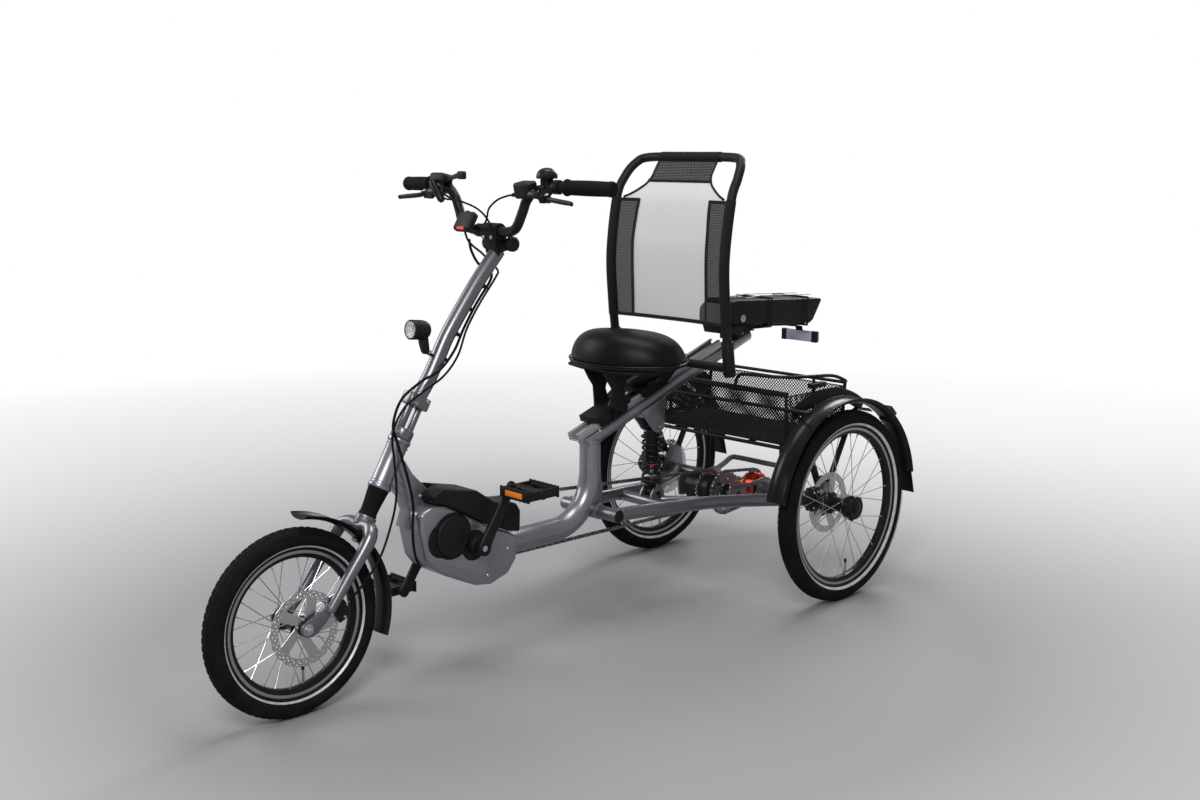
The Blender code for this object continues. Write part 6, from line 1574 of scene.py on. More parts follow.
def build_wheels():
    front_hub = mm((6, -43), (11, -43), (12.5, -40), (21.5, -34.5), (22.8, -33.5), (22.8, -30.5), (21, -29),
        (15, -24), (13.5, -18), (13.5, 16), (15, 22), (21.5, 27), (22.8, 28.5), (22.8, 31), (19, 34),
        (18, 44), (12, 48.5), (6, 48.5))
    build_wheel("front", FRONT_AXLE, FRONT_TYRE, FRONT_SEAT, front_hub, (-0.032, 0.0295), 0.0228,
        FRONT_ROTOR_X, "front_wheel", "front_rim", "front_tyre", 1, None)
    inner = REAR_ROTOR_X - REAR_WHEEL_X
    rear_hub = mm((0, -55), (16, -55), (18, -53), (18, -45), (28, -40), (29.2, -38), (29.2, -35.5),
        (27, -33.5), (20, -28), (18.5, -10), (19, 6), (27, 14.5), (29.2, 16.5), (29.2, 20.5), (30, 23),
        (30, 27), (31.2, 30), (31, 37), (29, 43), (24, 45), (23.5, 43.8), (0, 43.8))
    for side, name in SIDES:
        hub = [(r, side * x) for r, x in rear_hub]
        centre = REAR_AXLE + X_AXIS * side * REAR_WHEEL_X
        extra = Shape()
        extra.rod(REAR_AXLE + X_AXIS * side * 0.0665, centre + X_AXIS * side * (inner + 0.002), 0.0085, 28)
        extra.nut(centre + X_AXIS * side * 0.0436, X_AXIS * side, 0.013, 0.005)
        extra.rod(centre + X_AXIS * side * 0.0436, centre + X_AXIS * side * 0.0458, 0.0165, 32)
        build_wheel("rear_" + name, centre, REAR_TYRE, REAR_SEAT, hub,
            (side * (inner + 0.01), side * 0.018), 0.0292, side * inner, "rear_wheel_" + name,
            "rear_rim_" + name, "rear_tyre_" + name, -side, extra)
        lug = Shape().slab(smooth_loop(mm((4.5, 0), (3, 6), (-3, 6), (-4.5, 0)), 3), side * 0.03,
            side * 0.04)
        lug.points = [p + at(0, 0, 27.5) for p in lug.points]
        ring("hub_lugs_" + name, lug.mesh("lug", 0.0008), 5, centre, "black_alloy", "rear_wheel_" + name,
            0.3, "black_alloy")


def pedal_place(side):
    return CRANK_AXIS + (X_AXIS * PEDAL_X + outward(CRANK_LEAN) * CRANK_LENGTH) * side


def build_cranks():
    shape = Shape()
    shape.across(CRANK_AXIS, -0.088, 0.088, 0.0115, 36)
    for side in (-1, 1):
        start = CRANK_AXIS + X_AXIS * side * CRANK_X
        end = pedal_place(side)
        end.x = start.x
        along = (end - start).normalized()
        length = (end - start).length
        path = []
        factors = []
        for place, factor in ((-0.0165, 0.3), (-0.015, 0.62), (-0.011, 0.86), (-0.004, 1.05), (0.006, 1.12),
                (0.02, 1.06), (0.045, 0.94), (0.09, 0.86), (length - 0.02, 0.8), (length - 0.006, 0.84),
                (length + 0.004, 0.8), (length + 0.0095, 0.58), (length + 0.0115, 0.3)):
            path.append(start + along * place)
            factors.append(factor)
        shape.sweep(path, rounded(0.0128, 0.03, 0.0055, 5), X_AXIS, factors)
        shape.turned(mm((0, -9.5), (16.8, -9.5), (17.4, -8), (17.4, 6.8), (16, 8.2), (9.8, 8.2), (9.8, 6.6),
            (0, 6.6)), start, X_AXIS * side, 44)
        shape.turned(mm((0, 6), (7, 6), (7, 7.4), (4, 8), (0, 8)), start, X_AXIS * side, 24, 1)
        shape.turned(mm((0, -7), (8.8, -7), (8.8, 6.2), (0, 6.2)), end, X_AXIS * side, 28)
    centre = CRANK_AXIS + X_AXIS * (MAIN_CHAIN_X - 0.005)
    for angle in circle(5, 0.3):
        out = outward(angle)
        shape.sweep([centre + out * 0.008, centre + out * 0.03, centre + out * 0.05, centre + out * 0.0615],
            rounded(0.006, 0.018, 0.0024, 3), X_AXIS, [1.35, 1.0, 0.82, 0.8])
        seat = centre + out * 0.056
        shape.across(seat, -0.0022, 0.0056, 0.0055, 20)
        shape.bolt(seat - X_AXIS * 0.0024, -X_AXIS, 0.0044, 0.0016, 1)
    shape.across(centre, -0.02, 0.006, 0.0178, 40)
    piece("crank_arms", shape, "crankset", ["black_alloy", "bright_steel"], ["crankset"],
        bevel=0.0008)
    holes = [ring_points(0.049, 60)]
    for start in circle(5, 0.3 + math.tau / 10):
        window = [polar(0.0665, start - 0.34 + 0.68 * share / 6) for share in range(7)]
        holes.append(window + [polar(0.059, start + 0.34 - 0.68 * share / 6) for share in range(7)])
    chainring = plate(toothed(CHAINRING_TEETH), holes, 0.002, CRANK_AXIS + X_AXIS * MAIN_CHAIN_X)
    chainring.shade_flat()
    put("chainring", chainring, "crankset", ["black_alloy"])


def build_pedals():
    for side, name in SIDES:
        centre = pedal_place(side)
        shape = Shape()
        shape.turned(mm((0, -44), (10, -44), (11.6, -41), (10, -30), (10, 30), (11.6, 40), (11.6, 47),
            (9.5, 48.5), (0, 48.5)), centre, X_AXIS * side, 32)
        shape.rod(centre - X_AXIS * side * 0.0555, centre - X_AXIS * side * 0.04, 0.005, 20, 1)
        for way in (-1, 1):
            outline = []
            for k in range(15):
                share = -1 + 2 * k / 14
                outline.append((0.047 * share, 0.013 - (0.0016 if k % 2 else 0.0)))
            lower = [(x, -z) for x, z in reversed(outline)]
            rail = Shape().slab([(x, z) for x, z in outline + lower], -0.003, 0.003, axis=1)
            rail.points = [centre + Vector((p.x, p.y + way * 0.043, p.z)) for p in rail.points]
            shape.join(rail)
            shape.block(centre + Vector((0, way * 0.0378, 0)), at(90, 7.6, 15))
            shape.block(centre + X_AXIS * way * 0.0425, at(7, 82, 20))
            shape.block(centre + Vector((0, way * 0.0462, 0)), at(56, 1, 12.5), mark=2)
            shape.block(centre + Vector((way * 0.022, 0, 0)), at(3.5, 78, 13))
        piece("pedal_cage_" + name, shape, "pedal_" + name, ["black_plastic", "bright_steel", "amber"],
            ["pedal_" + name], bevel=0.0008)


def slots(count, inner, outer, width):
    """Rounded slots that lean across a disc."""
    result = []
    for angle in circle(count):
        a = outward(angle) * inner
        b = outward(angle + 0.35) * outer
        way = (b - a).normalized()
        side = X_AXIS.cross(way)
        hole = []
        for centre, sign in ((b, 1), (a, -1)):
            for step in range(7):
                turn = math.pi * (step / 6 - 0.5)
                p = centre + (way * math.cos(turn) * sign + side * math.sin(turn) * sign) * width
                hole.append((p.y, p.z))
        result.append(hole)
    return result


def build_gear_hub():
    shape = Shape().turned(mm((6, -98), (20, -98), (22, -96), (23.5, -90), (36, -86.5), (38, -84.5),
        (38, -60), (37.2, -59), (37.2, -50), (38, -49), (38, -9), (36, -6.8), (24, -2), (22, 1), (22, 34),
        (20, 36), (6, 36)), JACKSHAFT, X_AXIS, 56)
    piece("gear_hub_shell", shape, "jackshaft", ["black_alloy"], ["gear_hub"], sharp=30)
    first = plate(toothed(INPUT_TEETH), [ring_points(0.029, 40)], 0.002, JACKSHAFT + X_AXIS * MAIN_CHAIN_X)
    second = plate(toothed(OUTPUT_TEETH), [ring_points(0.0155, 32), *slots(6, 0.027, 0.043, 0.0042)],
        0.0022, JACKSHAFT + X_AXIS * AXLE_CHAIN_X)
    for name, mesh in (("input_sprocket", first), ("output_sprocket", second)):
        mesh.shade_flat()
        put(name, mesh, "jackshaft", ["satin_alloy"])


def build_differential():
    shape = Shape().turned(mm((9.8, 12), (28.5, 12), (30, 13.5), (30, 26.2), (33.5, 29), (37.2, 32.2),
        (38.2, 34.5), (38.2, 40), (37.2, 41), (37.2, 44), (38.2, 45), (38.2, 54), (36.5, 56.5), (31, 61.2),
        (29, 62), (9.8, 62)), REAR_AXLE, X_AXIS, 60)
    piece("differential_case", shape, "differential", ["red_anodised"], ["differential"],
        sharp=30)
    bolt = Shape().bolt(at(60, 0, 24), X_AXIS, 0.0032, 0.003)
    ring("differential_bolts", bolt.mesh("bolt"), 6, REAR_AXLE, "bright_steel", "differential", 0.0,
        "steel")
    pinion = plate(toothed(AXLE_TEETH), [ring_points(0.0198, 36)], 0.002, REAR_AXLE + X_AXIS * AXLE_CHAIN_X)
    pinion.shade_flat()
    put("axle_sprocket", pinion, "differential", ["satin_alloy"])


def chain_places(front, front_teeth, back, back_teeth):
    """Middles of the links, evenly spaced round two sprockets."""
    radii = [CHAIN_PITCH / (2 * math.sin(math.pi / teeth)) for teeth in (front_teeth, back_teeth)]
    span = (back - front).length
    lean = math.atan2(back.z - front.z, back.y - front.y)
    spread = math.acos((radii[0] - radii[1]) / span)
    run = math.sqrt(span ** 2 - (radii[0] - radii[1]) ** 2)
    front_arc = (math.tau - 2 * spread) * radii[0]
    back_arc = 2 * spread * radii[1]
    total = front_arc + back_arc + 2 * run
    count = 2 * round(total / CHAIN_PITCH / 2)
    places = []
    for pin in range(count):
        gone = total * pin / count
        if gone < front_arc:
            angle, centre, radius, slide = lean + spread + gone / radii[0], front, radii[0], 0.0
        elif gone < front_arc + run:
            angle, centre, radius, slide = lean - spread, front, radii[0], gone - front_arc
        elif gone < front_arc + run + back_arc:
            angle = lean - spread + (gone - front_arc - run) / radii[1]
            centre, radius, slide = back, radii[1], 0.0
        else:
            angle, centre, radius = lean + spread, back, radii[1]
            slide = gone - front_arc - run - back_arc
        out = outward(angle)
        along = Vector((0.0, -out.z, out.y))
        places.append(centre + out * radius + along * slide)
    return places


def link_plate(x, wide):
    """One waisted side plate of a link, along Y about the origin."""
    half = CHAIN_PITCH / 2
    outline = []
    for angle in circle(16):
        y = math.cos(angle) * 0.004 + (half if math.cos(angle) > 0 else -half)
        outline.append((y, math.sin(angle) * 0.004 * (0.92 if abs(math.cos(angle)) < 0.3 else 1.0)))
    outline.insert(4, (0.0, 0.0029))
    outline.insert(13, (0.0, -0.0029))
    return Shape().slab(outline, x - wide / 2, x + wide / 2)


def build_chains():
    hinged = ("frame", "swingarm", (0.0, -0.06, SWING_PIVOT.z), (0.0, 0.23, SWING_PIVOT.z))
    to_hub = (CRANK_AXIS, CHAINRING_TEETH, JACKSHAFT, INPUT_TEETH)
    to_axle = (JACKSHAFT, OUTPUT_TEETH, REAR_AXLE, AXLE_TEETH)
    chains = [("crank_chain", "main_chain", MAIN_CHAIN_X, to_hub, hinged), ("axle_chain_links",
        "axle_chain", AXLE_CHAIN_X, to_axle, "swingarm")]
    for name, node, x, ends, body in chains:
        route = [p + X_AXIS * x for p in chain_places(*ends)]
        count = len(route)
        whole = Shape()
        for phase, offset in ((0, 0.0031), (1, 0.0021)):
            link = Shape()
            for side in (-1, 1):
                link.take(link_plate(side * offset, 0.0009).mesh("flat"))
            for way in (-0.5, 0.5):
                pin = Vector((0.0, way * CHAIN_PITCH, 0.0))
                if phase:
                    link.across(pin, -0.0017, 0.0017, 0.0037, 10)
                else:
                    link.across(pin, -0.0041, 0.0041, 0.0016, 8)
            mesh = along_path(name, link.mesh("link"), route, count, "chain_steel", 2, phase, True)
            whole.take(mesh)
        piece(name, whole, body, ["chain_steel"], [node], sharp=30)


def build_swingarm():
    shape = Shape()
    shape.across(SWING_PIVOT, -0.06, 0.06, 0.0079, 24)
    beam_route = smooth(mm((80, 87, 282.5), (82, 140, 280), (100, 300, 271), (120, 435, 262),
        (175, 560, 254), (240, 655, 250)), 7)
    side = Shape()
    side.sweep(beam_route, oval(0.0125, 0.017, 32))
    side.turned(mm((7.9, 33), (15, 33), (16, 34), (16, 94.6), (15, 95.6), (7.9, 95.6)), SWING_PIVOT, X_AXIS,
        40)
    side.slab(mm((272, 262), (328, 262), (322, 296), (312, 306), (290, 306), (278, 290)), 0.016, 0.021)
    side.sweep(smooth(mm((20, 312, 272), (60, 362, 270), (104, 420, 266)), 3), oval(0.009, 0.009, 20))
    side.slab(smooth_loop(mm((620, 225), (640, 300), (665, 318), (695, 305), (705, 262), (700, 222),
        (665, 208))), 0.262, 0.269)
    shape.both(side)
    shape.rod(at(-98, 285, 268), at(98, 285, 268), 0.014, 36)
    shape.turned(mm((10.2, 66), (17, 66), (17, 268), (10.2, 268)), REAR_AXLE, X_AXIS, 44)
    shape.turned(mm((10.2, -268), (17, -268), (17, 10.5), (10.2, 10.5)), REAR_AXLE, X_AXIS, 44)
    hoop = smooth(mm((135, 668, 248), (135, 740, 272), (132, 768, 285), (110, 776, 287), (0, 776, 287)), 7)
    shape.pipe(mirror_x(hoop[:-1]) + hoop[::-1], 0.0075, 24)
    outline = smooth_loop(mm((520, 232), (530, 222), (595, 221), (660, 222), (690, 232), (694, 262),
        (672, 280), (600, 276), (530, 280), (520, 268)), 3)
    windows = [smooth_loop(mm((584, 238), (606, 238), (606, 264), (584, 264)), 5),
        smooth_loop(mm((614, 238), (633, 238), (633, 264), (614, 264)), 5)]
    for x in (0.0745, -0.1075):
        shape.take(plate(outline, windows, 0.005, X_AXIS * x))
    shape.across(JACKSHAFT, -0.114, 0.081, 0.0055, 24)
    piece("swingarm_frame", shape, "swingarm", ["dark_grey_paint"], ["swingarm"],
        bevel=0.0008)
    half = Shape()
    round_bead(half, at(83.5, 100, 281.8), Vector((0.01, 1, -0.01)), 0.0158, 0.0018, 40)
    round_bead(half, at(98.5, 285, 268), X_AXIS, 0.0146, 0.0018, 36)
    round_bead(half, REAR_AXLE + X_AXIS * 0.261, X_AXIS, 0.0176, 0.0018, 40)
    round_bead(half, REAR_AXLE + X_AXIS * 0.236, X_AXIS, 0.0176, 0.0018, 40)
    piece("swingarm_welds", Shape().both(half), "swingarm", ["dark_grey_paint"])
    bolts = Shape()
    for way in (-1, 1):
        bolts.turned(mm((0, 0), (15.4, 0), (15.4, 1.4), (14, 2.4), (5, 2.7), (0, 2.7)),
            SWING_PIVOT + X_AXIS * way * 0.0956, X_AXIS * way, 36)
        bolts.nut(SHOCK_FOOT + X_AXIS * way * 0.0212, X_AXIS * way, 0.0062, 0.0048)
    bolts.nut(JACKSHAFT + X_AXIS * 0.0772, X_AXIS, 0.0095, 0.0036)
    bolts.nut(JACKSHAFT - X_AXIS * 0.1102, -X_AXIS, 0.0095, 0.0036)
    piece("swingarm_bolts", bolts, "swingarm", ["black_alloy"], bevel=0.0003)


def build_rear_calipers():
    for side, name in SIDES:
        bolts = Shape()
        for y, z in mm((588, 250), (605, 290), (590, 290)):
            bolts.bolt(Vector((side * 0.2988, y, z)), X_AXIS * side, 0.0036, 0.0022, mark=1)
        eased("rear_caliper_" + name, ["black_alloy", "bright_steel"], 0.0012, bolts)


def build_rear_fenders():
    for side, name in SIDES:
        centre = REAR_AXLE + X_AXIS * REAR_WHEEL_X
        shape = Shape()
        shape.sweep(arc(centre, 0.2692, 169, 10, 84, REAR_WHEEL_X), crown_section(0.03, 0.0125, 0.0018))
        flap = smooth([centre + at(0, 270, 50), centre + at(0, 278.5, 20), centre + at(0, 286.2, -10)], 4)
        shape.sweep(flap, rounded(0.056, 0.003, 0.0012, 3))
        for angle in (60, 112):
            out = outward(math.radians(angle))
            foot = REAR_AXLE + out * 0.2662
            shape.sweep([foot + X_AXIS * 0.2742, foot + X_AXIS * 0.293 + out * 0.0004,
                foot + X_AXIS * 0.318 + out * 0.0012], rounded(0.02, 0.003, 0.001, 2), out.cross(X_AXIS))
            shape.bolt(foot + X_AXIS * 0.3 + out * 0.002, out, 0.0038, 0.0024, mark=2)
        lamp = tilt(-42)
        shape.block(at(330, 858.6, 466), at(30, 34, 30), lamp)
        shape.block(at(330, 850, 457), at(20, 22, 24), lamp)
        shape.block(at(330, 858.6, 466) + lamp @ at(0, 17.8, 0), at(26, 2.2, 26), lamp, mark=1)
        flat = tilt(19)
        shape.block(at(334, 929, 340), at(34, 8, 24), flat)
        shape.block(at(334, 922, 338), at(16, 12, 16), flat)
        shape.block(at(334, 929, 340) + flat @ at(0, 4.8, 0), at(30, 2, 20), flat, mark=1)
        if side < 0:
            shape.flipped()
        piece("rear_mudguard_" + name, shape, "swingarm", ["gloss_plastic", "tail_red", "bright_steel"],
            ["rear_fender_" + name], bevel=0.0004, sharp=38)


def build_basket():
    shape = Shape()
    half = smooth(mm((85, 522, 549), (92, 522, 572), (110, 523, 584), (180, 537, 585), (230, 573, 584),
        (248, 630, 582), (250, 720, 574), (250, 775, 555), (235, 795, 546)), 6)
    left = Shape().pipe(half, 0.0045, 16)
    left.rod(at(252, 524, 408), at(252, 786, 408), 0.0045, 14)
    left.rod(at(254, 522, 405), at(254, 522, 552), 0.0045, 14)
    left.rod(at(236, 786, 405), at(236, 795, 548), 0.0045, 14)
    left.rod(at(252, 640, 408), at(249, 640, 582), 0.004, 14)
    left.block(at(260, 640, 560), at(16, 60, 12))
    left.block(at(261, 640, 415), at(20, 40, 10))
    left.rod(at(130, 665, 255), at(130, 665, 409), 0.006, 16)
    left.rod(at(130, 523.5, 409.2), at(130, 786.2, 409.2), 0.0042, 14)
    shape.both(left)
    shape.rod(at(-238, 795, 546), at(238, 795, 546), 0.0045, 14)
    shape.block(at(0, 522, 549), at(518, 6.6, 11.4))
    shape.rod(at(-330, 522, 510), at(330, 522, 510), 0.0045, 14)
    shape.rod(at(-262, 524, 408), at(262, 524, 408), 0.005, 14)
    shape.rod(at(-240, 785, 408), at(240, 785, 408), 0.0045, 14)
    outer = arc(REAR_AXLE, 0.3, 55.5, 119.3, 28)
    inner = arc(REAR_AXLE, 0.266, 119.3, 55.5, 28)
    guard = Shape().slab([(p.y, p.z) for p in outer + inner], 0.2705, 0.2735)
    guard.slab(mm((676, 300), (702, 300), (796, 470), (812, 478), (800, 486), (776, 478)), 0.27, 0.273)
    guard.slab(mm((628, 300), (654, 300), (588, 440), (572, 492), (552, 486), (562, 440)), 0.27, 0.273)
    guard.slab(mm((580, 412), (765, 412), (771, 424), (576, 424)), 0.2702, 0.2728)
    shape.both(guard)
    piece("basket_rods", shape, "swingarm", ["black_steel"], ["basket_frame"], bevel=0.0006)
    piece("basket_net", basket_lattice(), "swingarm", ["black_steel"], ["basket_mesh"],
        sharp=60)


def basket_lattice():
    """Crossing diagonal strands over the basket's floor and four walls, with a hem on each edge."""
    low, high = 0.4153, 0.5392
    front, back, half = 0.5318, 0.7772, 0.2432
    pitch = sizes().net_pitch * math.sqrt(2)
    corner = Vector((-half, front, low))
    x_run, y_run, z_run = (X_AXIS, 2 * half), (Y_AXIS, back - front), (Z_AXIS, high - low)
    walls = [(corner, x_run, y_run), (corner, x_run, z_run), (Vector((-half, back, low)), x_run, z_run),
        (corner, y_run, z_run), (Vector((half, front, low)), y_run, z_run)]
    points = []
    strands = []
    hems = Shape()
    for corner, (across, wide), (up, tall) in walls:
        count = int((wide + tall) / pitch)
        for k in range(1, count + 1):
            start = k * pitch
            for lean in (1, -1):
                a = (min(start, wide), max(0.0, start - wide))
                b = (max(0.0, start - tall), min(start, tall))
                if lean < 0:
                    a, b = (wide - a[0], a[1]), (wide - b[0], b[1])
                strands.append((len(points), len(points) + 1))
                points += [corner + across * a[0] + up * a[1], corner + across * b[0] + up * b[1]]
        frame_points = [corner, corner + across * wide, corner + across * wide + up * tall,
            corner + up * tall]
        for a, b in zip(frame_points, frame_points[1:] + frame_points[:1]):
            hems.rod(a, b, 0.0017, 8)
    lines = plain_mesh("strands", points, strands, [])
    net = grown("net", lines, wire_tree, {"Wire": sizes().net_wire, "Sides": 5}, "black_steel")
    return Shape().take(net).take(hems.mesh("hems"))


def build_shock():
    shape = Shape()
    shape.turned(mm((4.6, -15), (11, -15), (11, 15), (4.6, 15)), SHOCK_TOP, X_AXIS, 40)
    below = Vector((0, 0, -1))
    shape.turned(mm((6.2, 7.5), (13, 7.5), (17, 11), (17, 24), (15.8, 25), (15.8, 27), (17, 28), (17, 101),
        (15, 103), (6.2, 103)), SHOCK_TOP, below, 44)
    collar = Vector((0, SHOCK_TOP.y, 0.434))
    shape.turned(mm((16.5, 0), (28.2, 0), (29, 0.8), (29, 3.8), (27, 5), (20.5, 5.5), (20, 8.8), (16.5, 9)),
        collar, Z_AXIS, 48)
    shape.turned(mm((16.2, 9.5), (21.2, 9.5), (21.2, 12.5), (16.2, 12.5)), collar, Z_AXIS, 44)
    shape.turned(mm((16.8, 0), (18.2, 0), (18.2, 2.6), (16.8, 2.6)), Vector((0, SHOCK_TOP.y, 0.364)),
        Z_AXIS, 44, 1)
    for side in (-1, 1):
        shape.turned(mm((4.6, 15), (9.2, 15), (8, 17.8), (4.6, 17.8)), SHOCK_TOP, X_AXIS * side, 32)
    piece("damper", shape, "shock_upper", ["black_alloy", "red_anodised"], ["shock_body"],
        sharp=30)
    coil = grown("coil", bpy.data.meshes.new("start"), coil_tree, {"Turns": 7.0, "Radius": 0.024,
        "Height": 0.103, "Wire": sizes().spring_wire, "Foot": (0.0, SHOCK_TOP.y, 0.327)}, "black_steel")
    spring = put("coil_spring", coil, "shock_upper", ["gloss_plastic"], ["shock_spring"])
    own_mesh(spring)
    shape = Shape()
    shape.turned(mm((4.6, -15), (11, -15), (11, 15), (4.6, 15)), SHOCK_FOOT, X_AXIS, 40, 1)
    shape.rod(SHOCK_FOOT + Z_AXIS * 0.0085, SHOCK_FOOT + Z_AXIS * 0.03, 0.01, 32, 1)
    shape.turned(mm((0, 26), (26.2, 26), (28, 27.5), (29, 29), (29, 32.5), (0, 32.5)), SHOCK_FOOT, Z_AXIS,
        48, 1)
    shape.rod(SHOCK_FOOT + Z_AXIS * 0.028, SHOCK_FOOT + Z_AXIS * 0.11, 0.005, 28)
    piece("damper_rod", shape, "shock_lower", ["bright_steel", "black_alloy"], ["shock_shaft"],
        sharp=30)


def squared(value, turn):
    """Fills out the saddle's two back corners."""
    lean = max(0.0, math.sin(turn))
    return math.copysign(abs(value) ** (1.0 - 0.22 * lean * lean), value)


def saddle_rings(inset):
    """Level rings of the saddle's dome, from its flat underside to the crown."""
    rings = []
    steps = 15
    for step in range(-2, steps):
        if step < 0:
            lift = 0.0
            shrink = 0.955 if step == -1 else 0.86
        else:
            angle = math.radians(6 + 78 * step / (steps - 1))
            lift = math.sin(angle)
            shrink = math.cos(angle) ** 0.46
        ring_of = []
        for turn in circle(72):
            x = squared(math.cos(turn), turn) * shrink
            y = squared(math.sin(turn), turn) * shrink
            front = max(0.0, -math.sin(turn))
            half = (SADDLE_HALF.x - inset) * (1.0 - 0.13 * front * front)
            depth = SADDLE_HALF.y - inset
            across = x * half / SADDLE_HALF.x
            rise = SADDLE_HALF.z - SADDLE_LIFT - inset - 0.012 * y - 0.01 * across * across
            base = 0.0 if step == -2 else SADDLE_LIFT * (0.5 if step == -1 else 1.0)
            ring_of.append(SADDLE_CENTRE + Vector((x * half, y * depth, rise * lift + base)))
        rings.append(ring_of)
    return rings


def swollen(mesh, reach):
    """Blow the padding up a little inside its cover, and cap how far each point may go."""
    start = modified(mesh, "REMESH", mode="VOXEL", voxel_size=0.005)
    rest = [v.co.copy() for v in start.vertices]
    made = linked("padding", start)
    pinned = made.vertex_groups.new(name="held")
    pinned.add([i for i, p in enumerate(rest) if p.z < SADDLE_CENTRE.z + 0.012], 1.0, "REPLACE")
    cloth = made.modifiers.new("cover", "CLOTH")
    settings = cloth.settings
    settings.use_pressure = True
    settings.uniform_pressure_force = 4.0
    settings.mass = 0.3
    settings.tension_stiffness = 25.0
    settings.compression_stiffness = 25.0
    settings.bending_stiffness = 4.0
    settings.quality = 6
    settings.effector_weights.gravity = 0.0
    settings.vertex_group_mass = "held"
    cloth.point_cache.frame_start = 1
    cloth.point_cache.frame_end = 20
    for step in range(1, 21):
        bpy.context.scene.frame_set(step)
    result = evaluated(made)
    bpy.context.scene.frame_set(1)
    for vertex, home in zip(result.vertices, rest):
        move = vertex.co - home
        if move.length > reach:
            vertex.co = home + move.normalized() * reach
        vertex.co.z = max(vertex.co.z, SADDLE_CENTRE.z)
    return result


def rim_path(shrink, z):
    """The saddle's edge at this share of its size."""
    path = []
    for turn in circle(180):
        front = max(0.0, -math.sin(turn))
        half = SADDLE_HALF.x * (1.0 - 0.13 * front * front)
        path.append(Vector((squared(math.cos(turn), turn) * shrink * half,
            SADDLE_CENTRE.y + squared(math.sin(turn), turn) * shrink * SADDLE_HALF.y, z)))
    return path


def build_saddle():
    body = Shape().loft(saddle_rings(sizes().pad_swell))
    pad = swollen(body.mesh("padding", 0.0, 180), sizes().pad_swell)
    pad = modified(pad, "SUBSURF", levels=1, render_levels=1)
    for polygon in pad.polygons:
        polygon.material_index = 0
    pad.shade_smooth()
    cushion = put("saddle_pad", pad, "seat", ["saddle_cover"], ["saddle_cushion"])
    shell = Shape()
    shell.pipe(rim_path(0.985, SADDLE_CENTRE.z + 0.011), 0.0022, 10, closed=True)
    shell.pipe(rim_path(0.962, SADDLE_CENTRE.z + 0.0058), 0.003, 10, closed=True, mark=1)
    piece("saddle_rim", shell, "seat", ["gloss_plastic", "black_plastic"])


def build_seat_clamps():
    eased("seat_bracket", ["black_steel"], 0.001)
    eased("seat_lever", ["black_alloy"], 0.0014)
    eased("backrest_lever", ["black_alloy"], 0.0014)
    eased("backrest_bracket", ["black_steel"], 0.001)
    eased("seat_rail", ["brushed"], 0.0006)


def back_y(z):
    """Middle of the backrest's hoop at this height."""
    return between([(p.z, p.y) for p in BACK_LINE], z)


BACK_LINE = smooth(mm((0, 370, 615), (0, 360, 685), (0, 351, 763), (0, 344, 890), (0, 350.5, 965),
    (0, 365, 1034), (0, 392, 1088), (0, 418, 1122), (0, 434, 1136.5)), 10)


def back_half(z):
    return HOOP_X - HOOP_RADIUS - 0.0012 - 2.1 * max(0.0, z - 1.05) ** 1.5


def back_place(x, z, lift=0.0):
    """A point of the backrest's net, which bellies backward; lift stands forward of it."""
    across = min(1.0, abs(x) / back_half(z))
    share = min(1.0, max(0.0, (z - 0.7) / 0.43))
    belly = 0.021 * (1 - across * across) * math.sin(math.pi * share) ** 0.5
    return Vector((x, back_y(z) + belly - lift, z))


def between(table, z):
    """A value from pairs of (height, value)."""
    for (low, start), (high, end) in zip(table, table[1:]):
        if z <= high:
            return start + (end - start) * max(0.0, z - low) / (high - low)
    return table[-1][1]


def panel_edge(z):
    """Half the width of the light net between the side panels."""
    return between(PANEL_EDGE, z)


def corner_edge(z):
    """Half the width of the net between the hoop's round corners."""
    return between(CORNER_EDGE, z)


def opposite(edge):
    return lambda z: -edge(z)


def net_patch(low, high, left, right, columns, rows, wall=0.0009, ripple=0.0):
    """A patch of stretched net between two heights and two edges."""
    points = []
    for j in range(rows + 1):
        z = low + (high - low) * j / rows
        first, last = left(z), right(z)
        for i in range(columns + 1):
            x = first + (last - first) * i / columns
            wave = ripple * math.sin(z * 900 + 2.0 * math.sin(x * 37)) * math.sin(math.pi * j / rows)
            points.append(back_place(x, z, wave))
    faces = []
    row = columns + 1
    for j in range(rows):
        for i in range(columns):
            a = j * row + i
            faces.append((a, a + 1, a + row + 1, a + row))
    return modified(plain_mesh("patch", points, [], faces), "SOLIDIFY", thickness=wall, offset=0.0)


def tape(shape, pairs, width=0.009):
    """Woven tape along a line of (x, z) on the net."""
    path = [back_place(p.x, p.y, 0.0012) for p in smooth([Vector((x, z, 0.0)) for x, z in pairs])]
    rings = []
    for k, point in enumerate(path):
        along = heading(path, k)
        side = along.cross(-Y_AXIS).normalized()
        lift_way = side.cross(along)
        rings.append([point + side * a + lift_way * b for a, b in rounded(width, 0.003, 0.0012, 2)])
    shape.loft(rings)
    return path


